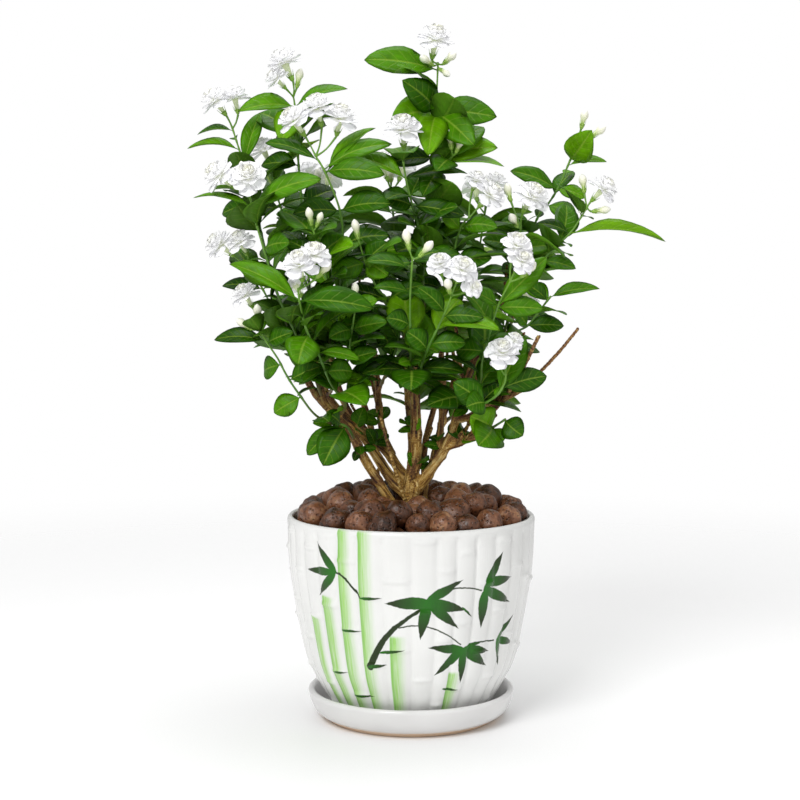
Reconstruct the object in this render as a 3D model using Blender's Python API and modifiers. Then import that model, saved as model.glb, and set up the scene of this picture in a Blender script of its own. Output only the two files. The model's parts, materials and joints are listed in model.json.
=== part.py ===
"""Potted jasmine: a double-flowered jasmine bush in a fluted ceramic pot on its saucer.

Lengths are in metres, +Z is up, X runs to the right and Y away from the viewer. The origin is
the centre of the saucer's flat underside.

The plant is laid out from the photograph: each branch, shoot, leaf tip and bloom is a named
place in its 800 x 800 frame with a depth in mm behind the pot's axis, and seen() turns the
three numbers into a point. Sizes of the things themselves are real ones.
"""

import math
import random

import bmesh
import bpy
from mathutils import Vector, kdtree
from mathutils.bvhtree import BVHTree
from mathutils.geometry import delaunay_2d_cdt

MM = 0.001

# Pot: a turned ceramic bowl with canes moulded round its outside.
RIM_RADIUS = 85 * MM
POT_FOOT_Z = 5.3 * MM
POT_RIM_Z = 141 * MM
DRAIN_RADIUS = 6 * MM
CANES = 34
CANE_GROOVE = 1.2 * MM
POT_OUTSIDE = ((5.3, 48.0), (13, 56.4), (29, 65.5), (49, 73.8), (101, 83.0), (137.6, 85.0))
POT_INSIDE = ((11.3, 48.5), (49, 69.3), (138.6, 80.8))

# Saucer: a shallow turned dish on a flat base.
SAUCER_BASE_RADIUS = 56.5 * MM
SAUCER_LIP_RADIUS = 71 * MM
SAUCER_HEIGHT = 21 * MM
SAUCER_FLOOR = 5 * MM
SAUCER_STEPS = 32

# Soil and the clay pebbles that cover it.
SOIL_TOP = 120 * MM
SOIL_GAP = 0.6 * MM
SOIL_HOLE_RADIUS = 6.4 * MM
SOIL_HOLE_FLOOR = 90 * MM
SOIL_STEPS = 22
BED_MOUND = ((14.5, 148.0), (45.0, 146.5), (76.0, 138.5))
BED_RADIUS = 79 * MM
BED_SIDES = 20
BED_HOLE_RADIUS = 7 * MM
BED_ROOM = 1.5 * MM
PEBBLE_RADIUS = 8.7 * MM
PEBBLE_RINGS = ((23, 69.6, 142.0), (17, 52.0, 148.5), (11, 34.6, 151.5), (6, 22.0, 152.0))
PEBBLE_SEED = 5

# Plant.
TOUCH_GAP = 0.35 * MM
ROUTE_STEP = 4 * MM
WOOD_STEP = 6
THICK_BRANCHES = (0, 1, 2, 5, 7)
STEM_STEP = 7
STUB_STEPS = 2
ROUTE_CLEAR = 1.5 * MM
BEND_SWEEPS = 24
BEND_REACH = 10 * MM
LARGE_LEAF = 53 * MM
LARGE_STATIONS = (0.0, 0.24, 0.52, 0.8)
SMALL_STATIONS = (0.0, 0.32, 0.7)
LEAF_THICKNESS = 1.2 * MM
LEAF_MARGIN = 0.5 * MM
LEAF_ROOT = 0.45 * MM
LEAF_FOLD = 0.3
BLOOM_SIDES = 10
PETAL_NOTCH = 0.72
TUBE_LENGTH = 9 * MM
CALYX_LENGTH = 4 * MM
BLOOM_PULLS = 14
BLOOM_MEETING = 8
STALK_RADIUS = 0.7 * MM
BUD_LENGTH = 14 * MM
BUD_RADIUS = 2.9 * MM
FILLER_ROOM = 34 * MM
FILLER_SEED = 11

# The photograph's camera, which seen() uses.
EYE = Vector((-0.0076, -1.15, 0.31))
AIM = Vector((-0.0076, 0.0, 0.2192))
FOCAL_PX = 1684
CENTRE_PX = 400
FORWARD = (AIM - EYE).normalized()
RIGHT = Vector((1.0, 0.0, 0.0))
UPWARD = RIGHT.cross(FORWARD)
UP = Vector((0.0, 0.0, 1.0))
TOWARD = Vector((0.0, -1.0, 0.0))

# Brown branches: pixel column, pixel row, depth in mm, radius in mm.
BRANCHES = {
    "foot": [(411, 541, 0, 5.8), (411, 505, 0, 5.6), (410.5, 487, 0, 5.6)],
    "a": [(408, 530, -2, 3.6), (390, 501, -6, 3.5), (376, 478, -10, 3.3), (363, 456, -14, 3.2),
          (353, 437, -16, 3.0), (338, 418, -18, 2.8), (322, 402, -20, 2.6), (309, 384, -22, 2.4)],
    "b": [(409, 494, 0, 4.2), (399, 487, 2, 4.0), (388, 474, 4, 3.8), (378, 458, 6, 3.6),
          (366, 440, 8, 3.3), (350, 422, 10, 3.0), (334, 405, 14, 2.8), (322, 385, 18, 2.6),
          (314, 360, 22, 2.4)],
    "c": [(408, 480, 4, 3.4), (400, 470, 8, 3.3), (390, 456, 12, 3.1), (376, 442, 18, 2.9),
          (360, 428, 24, 2.7), (348, 410, 30, 2.5), (338, 385, 36, 2.3), (330, 350, 42, 2.1)],
    "d": [(391, 455, 14, 2.8), (384, 436, 22, 2.7), (380, 415, 26, 2.5), (378, 392, 30, 2.3),
          (376, 365, 34, 2.1), (372, 335, 38, 2.0)],
    "e": [(410.5, 490, 0, 4.8), (412, 476, -1, 4.6), (415.5, 455, -2, 4.3), (416, 430, -3, 3.9),
          (415.5, 405, -4, 3.4), (414, 380, -6, 2.9), (413, 350, -8, 2.4), (412, 322, -10, 2.0)],
    "f": [(415, 525, 2, 2.8), (424, 512, 4, 2.7), (424, 494, 5, 2.6), (425, 478, 8, 2.5),
          (424, 455, 12, 2.4), (428, 430, 16, 2.2), (434, 408, 20, 2.1), (438, 385, 24, 1.9),
          (441, 355, 30, 1.8)],
    "g": [(411, 492, 0, 4.0), (421, 484, -2, 3.8), (432, 468, -5, 3.6), (444, 451, -8, 3.3),
          (452, 432, -10, 3.0), (458, 410, -12, 2.7), (466, 385, -16, 2.4), (474, 360, -20, 2.2)],
    "h": [(438, 460, -6, 2.4), (440, 440, -2, 2.3), (441.5, 413, 2, 2.1), (440, 389, 6, 1.9),
          (441, 365, 8, 1.8)],
    "i": [(446, 448, -8, 1.7), (458, 445, -14, 1.6), (468, 441, -20, 1.4), (480, 436, -28, 1.2)],
    "j": [(441, 456, -6, 2.8), (452, 436, 10, 2.7), (463, 412, 22, 2.4), (478, 388, 34, 2.2),
          (494, 362, 44, 2.0), (508, 335, 52, 1.8)],
    "k": [(458, 420, -11, 2.0), (466, 418, -14, 2.0), (487, 408, -20, 2.0), (506, 398, -26, 2.0),
          (525.4, 387.6, -32, 2.0)],
    "l": [(376, 442, 18, 2.4), (370, 425, 40, 2.3), (362, 395, 56, 2.1), (358, 360, 66, 1.9)],
    "m": [(432, 468, -4, 2.6), (436, 445, 28, 2.4), (444, 415, 52, 2.1), (454, 380, 66, 1.9)],
    "n": [(412, 470, 0, 2.6), (411, 440, 26, 2.4), (408, 405, 46, 2.1), (405, 365, 58, 1.9)],
}

# Green shoots. "at" is the branch and the share of its length where the shoot leaves it, "route"
# and "fork" are column, row, depth, "blooms" add the diameter in mm, and each leaf is the row where
# it leaves the stem, then its tip's column, row and depth, its width in mm, and how far its face
# turns from the sky (0) to the viewer (90).
SHOOTS = {
    "crown": dict(
        at=("e", 1.0), radius=1.5,
        route=[(418, 290, -8), (425, 250, -4), (431, 205, 0), (434, 160, 2), (435.5, 110, 2), (437, 87, 0)],
        fork=(438, 62, -2), blooms=[(435, 41, -6, 25)],
        buds=[(456, 52, -14), (420, 56, -14), (450, 76, -8)],
        leaves=[(70, 364, 60, -8, 19, 50), (109, 497, 117, -10, 19, 60), (109, 402, 80, -25, 19, 70),
                (112, 391, 120, -20, 20, 60), (112, 475, 146, -30, 20, 75), (114, 428, 156, -35, 19, 80),
                (158, 498, 148, -8, 20, 45), (158, 385, 165, -5, 14, 50), (200, 402, 188, 22, 16, 40),
                (240, 462, 226, 8, 16, 40)],
        side=dict(at=175, route=[(446, 163, -12)], fork=(454, 155, -18),
                  buds=[(449, 129, -20), (462, 138, -22)]),
    ),
    "sail_left": dict(
        at=("b", 1.0), radius=1.4,
        route=[(312, 320, 20), (308, 270, 18), (303, 220, 14), (299, 170, 10), (296, 130, 8), (295, 107, 8)],
        fork=(293, 95, 6), blooms=[(285, 64, 2, 24), (277, 80, 0, 17)], buds=[(301, 68, 4)],
        leaves=[(107, 238, 112, 0, 16, 35), (107, 348, 89, 10, 14, 15), (110, 281, 142, -18, 18, 70),
                (165, 262, 160, 24, 16, 40), (205, 335, 190, 26, 18, 40)],
    ),
    "high_left": dict(
        at=("a", 1.0), radius=1.4,
        route=[(296, 350, -18), (282, 310, -10), (268, 260, -4), (256, 210, 2), (247, 175, 6), (241, 155, 8)],
        fork=(232, 127, 8), blooms=[(216, 102, 4, 22), (235, 99, 8, 20)], buds=[],
        leaves=[(131, 197, 135, 10, 9, 15), (150, 187, 149, 4, 10, 15), (165, 260, 113, 22, 12, 30),
                (205, 222, 214, 12, 14, 40)],
    ),
    "pair_left": dict(
        at=("a", 0.85), radius=1.3,
        route=[(296, 335, -40), (280, 300, -45), (264, 250, -45), (254, 215, -42)],
        fork=(250, 197, -40), blooms=[(221, 177, -42, 24), (258, 180, -52, 25)], buds=[(241, 161, -34)],
        leaves=[(207, 193, 198, -30, 10, 10), (207, 322, 179, -60, 17, 40), (250, 290, 243, -60, 15, 50),
                (285, 236, 263, -52, 14, 45)],
    ),
    "twins_left": dict(
        at=("b", 0.8), radius=1.4,
        route=[(330, 340, -5), (340, 290, -15), (343, 245, -22), (340, 211, -28), (326, 174, -32)],
        fork=(315, 155, -34), blooms=[(318, 109, -32, 23), (295, 122, -38, 23), (341, 120, -36, 23)], buds=[],
        leaves=[(173, 385, 175, -45, 16, 50), (162, 265, 143, -20, 10, 30), (171, 392, 144, -28, 15, 30),
                (175, 376, 128, -10, 10, 20), (211, 392, 204, -40, 15, 45), (211, 293, 214, -36, 15, 50),
                (245, 390, 236, -30, 17, 45), (245, 306, 236, -34, 17, 50)],
    ),
    "back_left_top": dict(
        at=("c", 1.0), radius=1.2,
        route=[(312, 300, 44), (294, 250, 40), (280, 205, 34)],
        fork=(270, 175, 28), blooms=[(264, 151, 22, 21)], buds=[(281, 160, 22)],
        leaves=[(208, 246, 214, 40, 15, 35), (208, 312, 200, 44, 15, 35)],
    ),
    "mid_left": dict(
        at=("a", 0.95), radius=1.2,
        route=[(292, 345, -2), (276, 315, 0), (262, 288, 0)],
        fork=(247, 265, -4), blooms=[(221, 246, -6, 22), (241, 243, -8, 20)], buds=[],
        leaves=[(290, 222, 286, 6, 12, 30), (290, 288, 272, 10, 14, 40)],
    ),
    "front_left": dict(
        at=("a", 0.75), radius=1.4,
        route=[(345, 404, -38), (331, 384, -52), (318, 353, -64), (307, 331, -72), (299.5, 301, -80)],
        fork=(298, 288, -82), blooms=[(300, 266, -86, 23), (314, 257, -84, 22)], buds=[(331, 262, -80)],
        leaves=[(301, 229, 264, -70, 13, 40), (301, 374, 309, -85, 16, 50), (353, 360, 360, -68, 9, 30),
                (334, 298, 365, -84, 20, 72), (372, 353, 372, -48, 15, 60)],
    ),
    "low_left": dict(
        at=("a", 0.7), radius=1.2,
        route=[(318, 417, -34), (299, 394, -40), (287, 376, -42), (278, 359, -44), (266, 341, -46)],
        fork=(258, 327, -46), blooms=[(246, 296, -48, 19)], buds=[(257, 304, -56), (236, 319, -46)],
        leaves=[(341, 214, 340, -40, 11, 40), (342, 294, 332, -56, 12, 50), (365, 264, 371, -30, 14, 60),
                (397, 274, 413, -38, 14, 50), (380, 322, 366, -44, 13, 55)],
    ),
    "bud_left": dict(
        at=("c", 0.9), radius=1.2,
        route=[(340, 340, -20), (330, 290, -40), (320, 255, -48)],
        fork=(313, 229, -50), blooms=[], buds=[(308, 207, -52), (322, 212, -50)],
        leaves=[(312, 357, 306, -38, 14, 50), (255, 345, 236, -56, 15, 50), (300, 300, 308, -30, 12, 40)],
    ),
    "centre_buds": dict(
        at=("e", 0.75), radius=1.3,
        route=[(411, 372, -40), (410.6, 356, -50), (410, 310, -66), (411, 280, -72)],
        fork=(412.6, 257, -76), blooms=[], buds=[(405, 229, -78), (433, 241, -80)],
        leaves=[(361, 398.5, 363.5, -56, 8, 50), (361, 422, 361, -56, 8, 50), (292, 373, 288, -72, 9, 35),
                (292, 438, 300, -60, 10, 45), (373, 411, 391, -74, 23, 60), (262, 384, 268, -66, 12, 45),
                (262, 440, 252, -64, 12, 40), (325, 386, 318, -66, 13, 50)],
    ),
    "front_centre": dict(
        at=("e", 0.65), radius=1.4,
        route=[(419, 378, -34), (423, 361, -48), (430.5, 342.5, -60), (439.7, 324, -68), (447, 308, -76)],
        fork=(452, 294, -80), blooms=[(461, 271, -88, 21), (440, 265, -88, 17), (472, 288, -88, 14)],
        buds=[(447, 279, -96)],
        leaves=[(313, 417, 287, -80, 11, 50), (316, 484, 318, -78, 12, 55), (345, 466, 343, -62, 13, 55),
                (350, 404, 331, -60, 14, 50)],
    ),
    "front_right": dict(
        at=("g", 0.75), radius=1.3,
        route=[(470, 400, -30), (479, 385, -42), (483, 358, -52), (490, 333, -62), (498, 306, -70)],
        fork=(511, 280, -78), blooms=[(516, 247, -84, 21), (521, 262, -88, 18)], buds=[(536, 262, -84)],
        leaves=[(306, 547, 257, -66, 14, 60), (308, 544, 309, -75, 13, 55), (306, 466, 290, -80, 10, 45),
                (350, 522, 344, -60, 16, 60), (352, 456, 350, -44, 14, 55)],
    ),
    "low_right": dict(
        at=("g", 0.7), radius=1.2,
        route=[(480, 404, -50), (496, 396, -62), (505, 382, -68)],
        fork=(506, 374, -70), blooms=[(502, 354, -76, 22), (514, 341, -72, 13)], buds=[],
        leaves=[(384, 547, 376, -60, 14, 60), (388, 524, 335, -52, 16, 60), (398, 453, 382, -58, 16, 60),
                (398, 466, 407, -66, 15, 60)],
    ),
    "inner_right": dict(
        at=("h", 1.0), radius=1.2,
        route=[(447, 320, 0), (452, 280, -8), (455, 248, -14), (462, 225, -20)],
        fork=(470, 217, -24), blooms=[(489, 196, -28, 22), (476, 181, -24, 15)], buds=[],
        leaves=[(230, 440, 210, -22, 12, 40), (228, 498, 228, -30, 15, 40), (262, 418, 252, -8, 15, 45),
                (262, 492, 258, -20, 15, 45)],
    ),
    "top_right": dict(
        at=("j", 0.85), radius=1.2,
        route=[(515, 290, 30), (518, 250, 5)],
        fork=(521, 226, -10), blooms=[(531, 198, -20, 24)], buds=[(510, 214, -22), (506, 183, 2)],
        leaves=[(252, 482, 240, 0, 14, 40), (252, 552, 246, 8, 14, 40)],
    ),
    "reach_right": dict(
        at=("j", 0.8), radius=1.3,
        route=[(505, 330, 10), (520, 295, 5), (538, 268, 0), (552, 250, -4), (571, 232, -8)],
        fork=(588, 206, -10), blooms=[(602, 190, -12, 21)],
        buds=[(582, 174, -2), (611, 209, -12), (578, 212, -12)],
        leaves=[(234, 666, 242, -6, 12, 25), (234, 535, 224, 0, 9, 30), (262, 576, 269, -8, 11, 40),
                (285, 548, 300, -12, 12, 45)],
    ),
    "spire_right": dict(
        at=("j", 1.0), radius=1.3,
        route=[(520, 290, 48), (527, 250, 42), (537, 219, 34), (548, 204, 30), (558, 188, 24),
               (571, 158, 20)],
        fork=(577, 140, 16), blooms=[], buds=[(586, 109, 14), (606, 126, 14)],
        leaves=[(188, 510, 171, 15, 13, 40), (188, 585, 198, 20, 11, 40), (165, 607, 162, 18, 9, 20),
                (160, 592, 130, -6, 18, 70), (206, 577, 219, 22, 13, 40), (230, 500, 222, 40, 13, 40)],
    ),
    "tail_right": dict(
        at=("g", 1.0), radius=1.2,
        route=[(488, 345, -22), (508, 335, -24), (527, 326, -26), (540, 310, -28)],
        fork=(551, 296, -30), blooms=[], buds=[],
        leaves=[(298, 600, 289, -30, 10, 30), (300, 521, 282, -32, 10, 40), (325, 564, 326, -28, 12, 45),
                (325, 510, 308, -36, 12, 45)],
    ),
    "round_right": dict(
        at=("i", 1.0), radius=1.1,
        route=[(492, 428, -34)],
        fork=(506, 419, -36), blooms=[], buds=[],
        leaves=[(434, 478, 446, -62, 22, 72), (430, 500, 445, -44, 13, 60), (420, 523, 436, -44, 15, 72),
                (428, 470, 416, -50, 20, 72)],
    ),
    "cut_right": dict(
        at=("k", 0.55), radius=1.0,
        route=[(500, 392, -28)],
        fork=(510, 384, -34), blooms=[], buds=[],
        leaves=[(388, 522, 366, -40, 10, 60), (390, 496, 372, -30, 11, 60), (386, 532, 388, -36, 9, 50)],
    ),
    "bottom_left": dict(
        at=("a", 0.55), radius=1.1,
        route=[(348, 428, -28)],
        fork=(340, 424, -34), blooms=[], buds=[],
        leaves=[(428, 323, 466, -40, 20, 72), (426, 307, 455, -24, 12, 50), (424, 326, 412, -50, 10, 50)],
    ),
    "branch_left": dict(
        at=("b", 0.75), radius=1.2,
        route=[(345, 370, -40), (352, 330, -54)],
        fork=(356, 304, -60), blooms=[], buds=[(355, 282, -62)],
        leaves=[(330, 329, 338, -66, 13, 55), (330, 388, 322, -66, 13, 50), (378, 372, 385, -50, 9, 50),
                (308, 336, 292, -64, 10, 45), (308, 378, 300, -64, 10, 45), (360, 378, 352, -58, 12, 50)],
    ),
    "centre_left": dict(
        at=("d", 0.55), radius=1.3,
        route=[(399, 338, -20), (389, 302, -32), (378, 290, -36), (368, 268, -40)],
        fork=(364, 259, -42), blooms=[], buds=[(354, 219, -45)],
        leaves=[(262, 331, 275, -48, 15, 50), (262, 388, 276, -48, 15, 60), (262, 388, 242, -46, 13, 50),
                (300, 346, 288, -26, 13, 45), (300, 424, 285, -36, 12, 45)],
    ),
    "centre_bloom": dict(
        at=("e", 0.9), radius=1.3,
        route=[(421, 290, -16), (424, 250, -22), (412.5, 206, -24), (406, 179, -28)],
        fork=(403, 160, -30), blooms=[(403, 131, -32, 25)], buds=[],
        leaves=[(206, 378, 198, -36, 16, 50), (206, 465, 216, -30, 12, 50), (179, 468, 174, -20, 11, 30),
                (179, 350, 158, -12, 14, 30), (250, 378, 252, -34, 16, 50), (250, 466, 268, -36, 14, 50)],
    ),
    "rear_left": dict(
        at=("l", 1.0), radius=1.3,
        route=[(345, 310, 84), (330, 260, 92), (322, 218, 90)],
        fork=(318, 200, 88), blooms=[(308, 176, 92, 23), (328, 178, 98, 22)], buds=[(318, 168, 78)],
        leaves=[(222, 276, 214, 100, 16, 25), (222, 368, 222, 96, 16, 25), (265, 296, 262, 118, 17, 10),
                (265, 372, 262, 120, 16, 10), (222, 322, 232, 140, 17, 0), (300, 326, 296, 134, 17, 0)],
    ),
    "rear_left_low": dict(
        at=("l", 0.6), radius=1.2,
        route=[(345, 372, 82), (325, 338, 100)],
        fork=(308, 308, 110), blooms=[(296, 286, 116, 22)], buds=[(312, 286, 112)],
        leaves=[(340, 286, 348, 128, 16, 10), (340, 352, 332, 142, 16, 0), (312, 262, 304, 112, 14, 20),
                (362, 330, 376, 128, 16, 0)],
    ),
    "rear_centre": dict(
        at=("n", 1.0), radius=1.3,
        route=[(402, 310, 72), (396, 250, 76), (393, 212, 72)],
        fork=(391, 190, 66), blooms=[(384, 166, 66, 23), (402, 170, 76, 21)], buds=[(391, 166, 50)],
        leaves=[(215, 352, 206, 92, 16, 20), (215, 432, 212, 88, 16, 20), (255, 390, 256, 124, 17, 0),
                (255, 440, 246, 100, 15, 20), (295, 360, 290, 108, 16, 10), (295, 426, 292, 118, 16, 0)],
    ),
    "rear_right": dict(
        at=("m", 1.0), radius=1.3,
        route=[(466, 320, 84), (476, 270, 92), (482, 232, 90)],
        fork=(485, 212, 86), blooms=[(494, 186, 88, 22), (476, 190, 96, 21)], buds=[(486, 178, 76)],
        leaves=[(236, 442, 230, 104, 16, 20), (236, 530, 232, 96, 16, 20), (275, 478, 276, 140, 17, 0),
                (275, 520, 280, 110, 16, 15), (315, 432, 312, 110, 16, 10), (315, 500, 322, 120, 16, 5)],
    ),
    "rear_right_low": dict(
        at=("m", 0.6), radius=1.2,
        route=[(476, 388, 84), (498, 352, 100)],
        fork=(514, 318, 110), blooms=[(526, 296, 116, 22)], buds=[(509, 296, 114)],
        leaves=[(352, 540, 352, 112, 15, 20), (352, 484, 350, 142, 16, 0), (322, 552, 318, 118, 14, 20),
                (375, 500, 392, 122, 16, 0)],
    ),
    "rear_low": dict(
        at=("n", 0.55), radius=1.2,
        route=[(416, 388, 84), (424, 348, 104)],
        fork=(427, 312, 114), blooms=[(428, 290, 126, 23)], buds=[(416, 290, 108)],
        leaves=[(350, 384, 346, 124, 16, 10), (350, 462, 352, 124, 16, 10), (318, 396, 312, 132, 14, 10),
                (382, 420, 396, 136, 16, 0)],
    ),
    "inner_back": dict(
        at=("f", 1.0), radius=1.2,
        route=[(446, 322, 38), (444, 280, 46)],
        fork=(440, 244, 48), blooms=[], buds=[(440, 224, 48)],
        leaves=[(250, 408, 240, 40, 15, 30), (250, 474, 246, 40, 15, 30), (290, 486, 292, 46, 16, 30),
                (290, 406, 286, 58, 16, 20), (325, 480, 330, 50, 16, 30)],
    ),
}

# The foliage's outline in the photograph, which the small extra leaves stay inside, and round
# places between the stems that they leave open: column, row, radius.
OUTLINE = [
    (325, 425), (280, 412), (296, 385), (265, 378), (255, 352), (218, 342), (232, 325), (232, 300),
    (236, 262), (212, 250), (240, 225), (228, 205), (200, 200), (206, 175), (192, 150), (196, 130),
    (214, 110), (240, 100), (270, 80), (300, 80), (345, 92), (380, 108), (390, 85), (372, 66), (430, 55),
    (444, 80), (496, 105), (497, 160), (520, 168), (556, 178), (566, 145), (600, 130), (604, 165),
    (600, 210), (655, 240), (600, 245), (570, 262), (595, 290), (565, 325), (545, 322), (528, 345),
    (545, 372), (522, 400), (522, 430), (500, 440), (478, 440), (455, 420), (436, 410), (400, 405),
    (370, 408), (350, 425),
]
OPEN_PLACES = [(392, 425, 26), (432, 440, 16), (520, 312, 12), (530, 236, 10), (470, 172, 10), (372, 128, 12),
               (340, 396, 10), (478, 420, 12), (555, 212, 12)]

SOLVERS = ("EXACT", "MANIFOLD")


def seen(px, py, depth):
    """The point that the photograph shows at a pixel, this many mm behind the pot's axis."""
    ray = FORWARD + RIGHT * ((px - CENTRE_PX) / FOCAL_PX) + UPWARD * ((CENTRE_PX - py) / FOCAL_PX)
    return EYE + ray * ((depth * MM - EYE.y) / ray.y)


def photo_place(point):
    """The pixel column and row where the photograph shows a point."""
    ray = point - EYE
    depth = ray.dot(FORWARD)
    return (CENTRE_PX + FOCAL_PX * ray.dot(RIGHT) / depth, CENTRE_PX - FOCAL_PX * ray.dot(UPWARD) / depth)


def knot(px, py, depth, radius):
    """A point of a route: its place, with the stem's radius as a fourth number."""
    place = seen(px, py, depth)
    return Vector((place.x, place.y, place.z, radius * MM))


def xyz(point):
    return Vector(point[:3])


def smooth(knots, spacing=ROUTE_STEP):
    """Points about this far apart on a Catmull-Rom curve through the knots."""
    ends = [knots[0] * 2 - knots[1]] + list(knots) + [knots[-1] * 2 - knots[-2]]
    points = []
    for before, start, end, after in zip(ends, ends[1:], ends[2:], ends[3:]):
        steps = max(1, round((xyz(end) - xyz(start)).length / spacing))
        for step in range(steps):
            t = step / steps
            points.append(
                start
                + (end - before) * (0.5 * t)
                + (before * 2 - start * 5 + end * 4 - after) * (0.5 * t * t)
                + (start * 3 - before - end * 3 + after) * (0.5 * t * t * t)
            )
    return points + [knots[-1].copy()]


def along(route, share):
    """The index of the point at this share of a route's length."""
    return min(len(route) - 1, round(share * (len(route) - 1)))


def thinned(route, step=STEM_STEP, first=1):
    """Every few points of a route from the first one after its root, with both its ends."""
    inner = list(range(first, len(route) - 1, step))
    if len(inner) > 1 and len(route) - 1 - inner[-1] < 2:
        inner.pop()
    return [route[0]] + [route[i] for i in inner] + [route[-1]]


def stem_route(start, places, radius, tip_radius=0.9):
    """A green stem's route from a point on its branch through the places seen in the photograph."""
    knots = [Vector((*xyz(start), radius * MM))]
    for i, place in enumerate(places):
        share = (i + 1) / len(places)
        knots.append(knot(*place, radius + (tip_radius - radius) * share))
    return smooth(knots)


def straighten(route):
    """Lays a stem's root in one line, so that the stub's end faces the stem that goes on from it."""
    last = STUB_STEPS + 1
    for index in range(1, last):
        route[index] = route[0] + (route[last] - route[0]) * (index / last)


def plan_routes():
    """The wood's routes, and each shoot's stems as (owner, parent stem, index on it, route)."""
    wood = {name: smooth([knot(*k) for k in knots]) for name, knots in BRANCHES.items()}
    wood["foot"].insert(0, Vector((0.0, 0.0, SOIL_HOLE_FLOOR + TOUCH_GAP, BRANCHES["foot"][0][3] * MM)))
    stems = {}
    for name, shoot in SHOOTS.items():
        branch, share = shoot["at"]
        start = wood[branch][along(wood[branch], share)]
        stems[name] = stem_route(start, shoot["route"] + [shoot["fork"]], shoot["radius"])
    return wood, stems


def bend_clear(wood, stems):
    """Moves the green stems apart, and away from the wood, until each has room round it."""
    labels = []
    for name, route in wood.items():
        labels += [("wood", name, k, point) for k, point in enumerate(route)]
    fixed = list(labels)
    for sweep in range(BEND_SWEEPS):
        labels = list(fixed)
        for name, route in stems.items():
            labels += [(name, name, k, point) for k, point in enumerate(route)]
        tree = kdtree.KDTree(len(labels))
        for index, label in enumerate(labels):
            tree.insert(xyz(label[3]), index)
        tree.balance()
        worst = 0.0
        for name, route in stems.items():
            pushes = [Vector() for _ in route]
            for k in range(STUB_STEPS + 1, len(route)):
                here = xyz(route[k])
                for place, index, distance in tree.find_range(here, BEND_REACH):
                    owner, _, other, point = labels[index]
                    if owner == name:
                        continue
                    if owner != "wood" and other <= STUB_STEPS and k <= STUB_STEPS:
                        continue
                    short = route[k].w + point.w + ROUTE_CLEAR - distance
                    if short <= 0:
                        continue
                    way = here - place
                    way = way.normalized() if distance > 0.3 * MM else TOWARD.copy()
                    if way.dot(TOWARD) * here.dot(TOWARD) > 0:
                        way += TOWARD * (0.4 if here.y < 0 else -0.4)
                    pushes[k] += way.normalized() * short
                    worst = max(worst, short)
            spread(route, pushes)
        if worst < 0.2 * MM:
            break
    print(f"routes bent in {sweep + 1} sweeps, {worst / MM:.2f} mm short at worst")


def spread(route, pushes):
    """Moves a route by the pushes on it, each shared with the points near it and none on its root."""
    reach = 7
    moved = []
    for k in range(len(route)):
        total = Vector()
        weight = 0.0
        for j in range(max(0, k - reach), min(len(route), k + reach + 1)):
            if pushes[j].length_squared > 0:
                share = 1 - abs(j - k) / (reach + 1)
                total += pushes[j] * share
                weight += share
        hold = min(1.0, max(0, k - STUB_STEPS) / 4)
        shift = total * (0.5 * hold / max(weight, 1.0))
        moved.append(route[k] + Vector((*shift, 0.0)))
    route[:] = moved


def split(route):
    """The brown stub at a stem's root, and the green stem that goes on just past it."""
    straighten(route)
    onward = xyz(route[STUB_STEPS + 1]) - xyz(route[STUB_STEPS])
    start = route[STUB_STEPS] + Vector((*(onward.normalized() * TOUCH_GAP), 0.0))
    stub = [route[0].copy(), route[STUB_STEPS].copy()]
    stub[0].w += 0.3 * MM
    return stub, [start] + route[STUB_STEPS + 1:]


def lattice(rings, tip=None, tail=None):
    """Points and triangles of a closed loft. A tip or tail point closes an end, and else a flat cap does."""
    points = [point for ring in rings for point in ring]
    sides = len(rings[0])
    faces = []
    for low in range(len(rings) - 1):
        for i in range(sides):
            j = (i + 1) % sides
            a, b = low * sides + i, low * sides + j
            c, d = a + sides, b + sides
            faces += [(a, b, c), (b, d, c)]
    last = (len(rings) - 1) * sides
    if tip is None:
        faces += [(last, last + i, last + i + 1) for i in range(1, sides - 1)]
    else:
        points.append(tip)
        faces += [(last + i, last + (i + 1) % sides, len(points) - 1) for i in range(sides)]
    if tail is None:
        faces += [(0, i + 1, i) for i in range(1, sides - 1)]
    else:
        points.append(tail)
        faces += [((i + 1) % sides, i, len(points) - 1) for i in range(sides)]
    return points, faces


def blade_frame(base, tip, face):
    """A blade's direction, the side it spreads to and the way its upper face looks."""
    reach = (tip - base).normalized()
    angle = math.radians(face)
    normal = UP * math.cos(angle) + TOWARD * math.sin(angle)
    normal -= reach * normal.dot(reach)
    if normal.length < 0.2:
        normal = TOWARD - reach * TOWARD.dot(reach)
    normal.normalize()
    return reach, reach.cross(normal), normal


def blade_half_width(share, width):
    """Half the width of a pointed oval leaf at this share of its length."""
    return width / 2 * math.sin(math.pi * share ** 0.9) ** 0.8 * (1 - 0.15 * share) * 1.06


def blade(leaf, margin=0.0, first=0):
    """A leaf, thick at its midrib and sharp at its edges: folded if it is large, else flat on top."""
    base, tip, width, face, arch = leaf
    reach, side, normal = blade_frame(base, tip, face)
    length = (tip - base).length
    large = length > LARGE_LEAF
    rings = []
    for share in (LARGE_STATIONS if large else SMALL_STATIONS)[first:]:
        centre = base + reach * (length * share) + normal * (4 * arch * length * share * (1 - share))
        half = (blade_half_width(share, width) if share else LEAF_ROOT) + margin
        thick = (LEAF_THICKNESS / 2 if share else LEAF_ROOT) + margin
        rise = normal * ((half * LEAF_FOLD if large else 0.5 * thick) if share else 0)
        ring = [centre - side * half + rise, centre + side * half + rise, centre - normal * thick]
        if large:
            ring.insert(1, centre + normal * thick)
        rings.append(ring)
    return blade_lattice(rings, tip + reach * margin)


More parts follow.
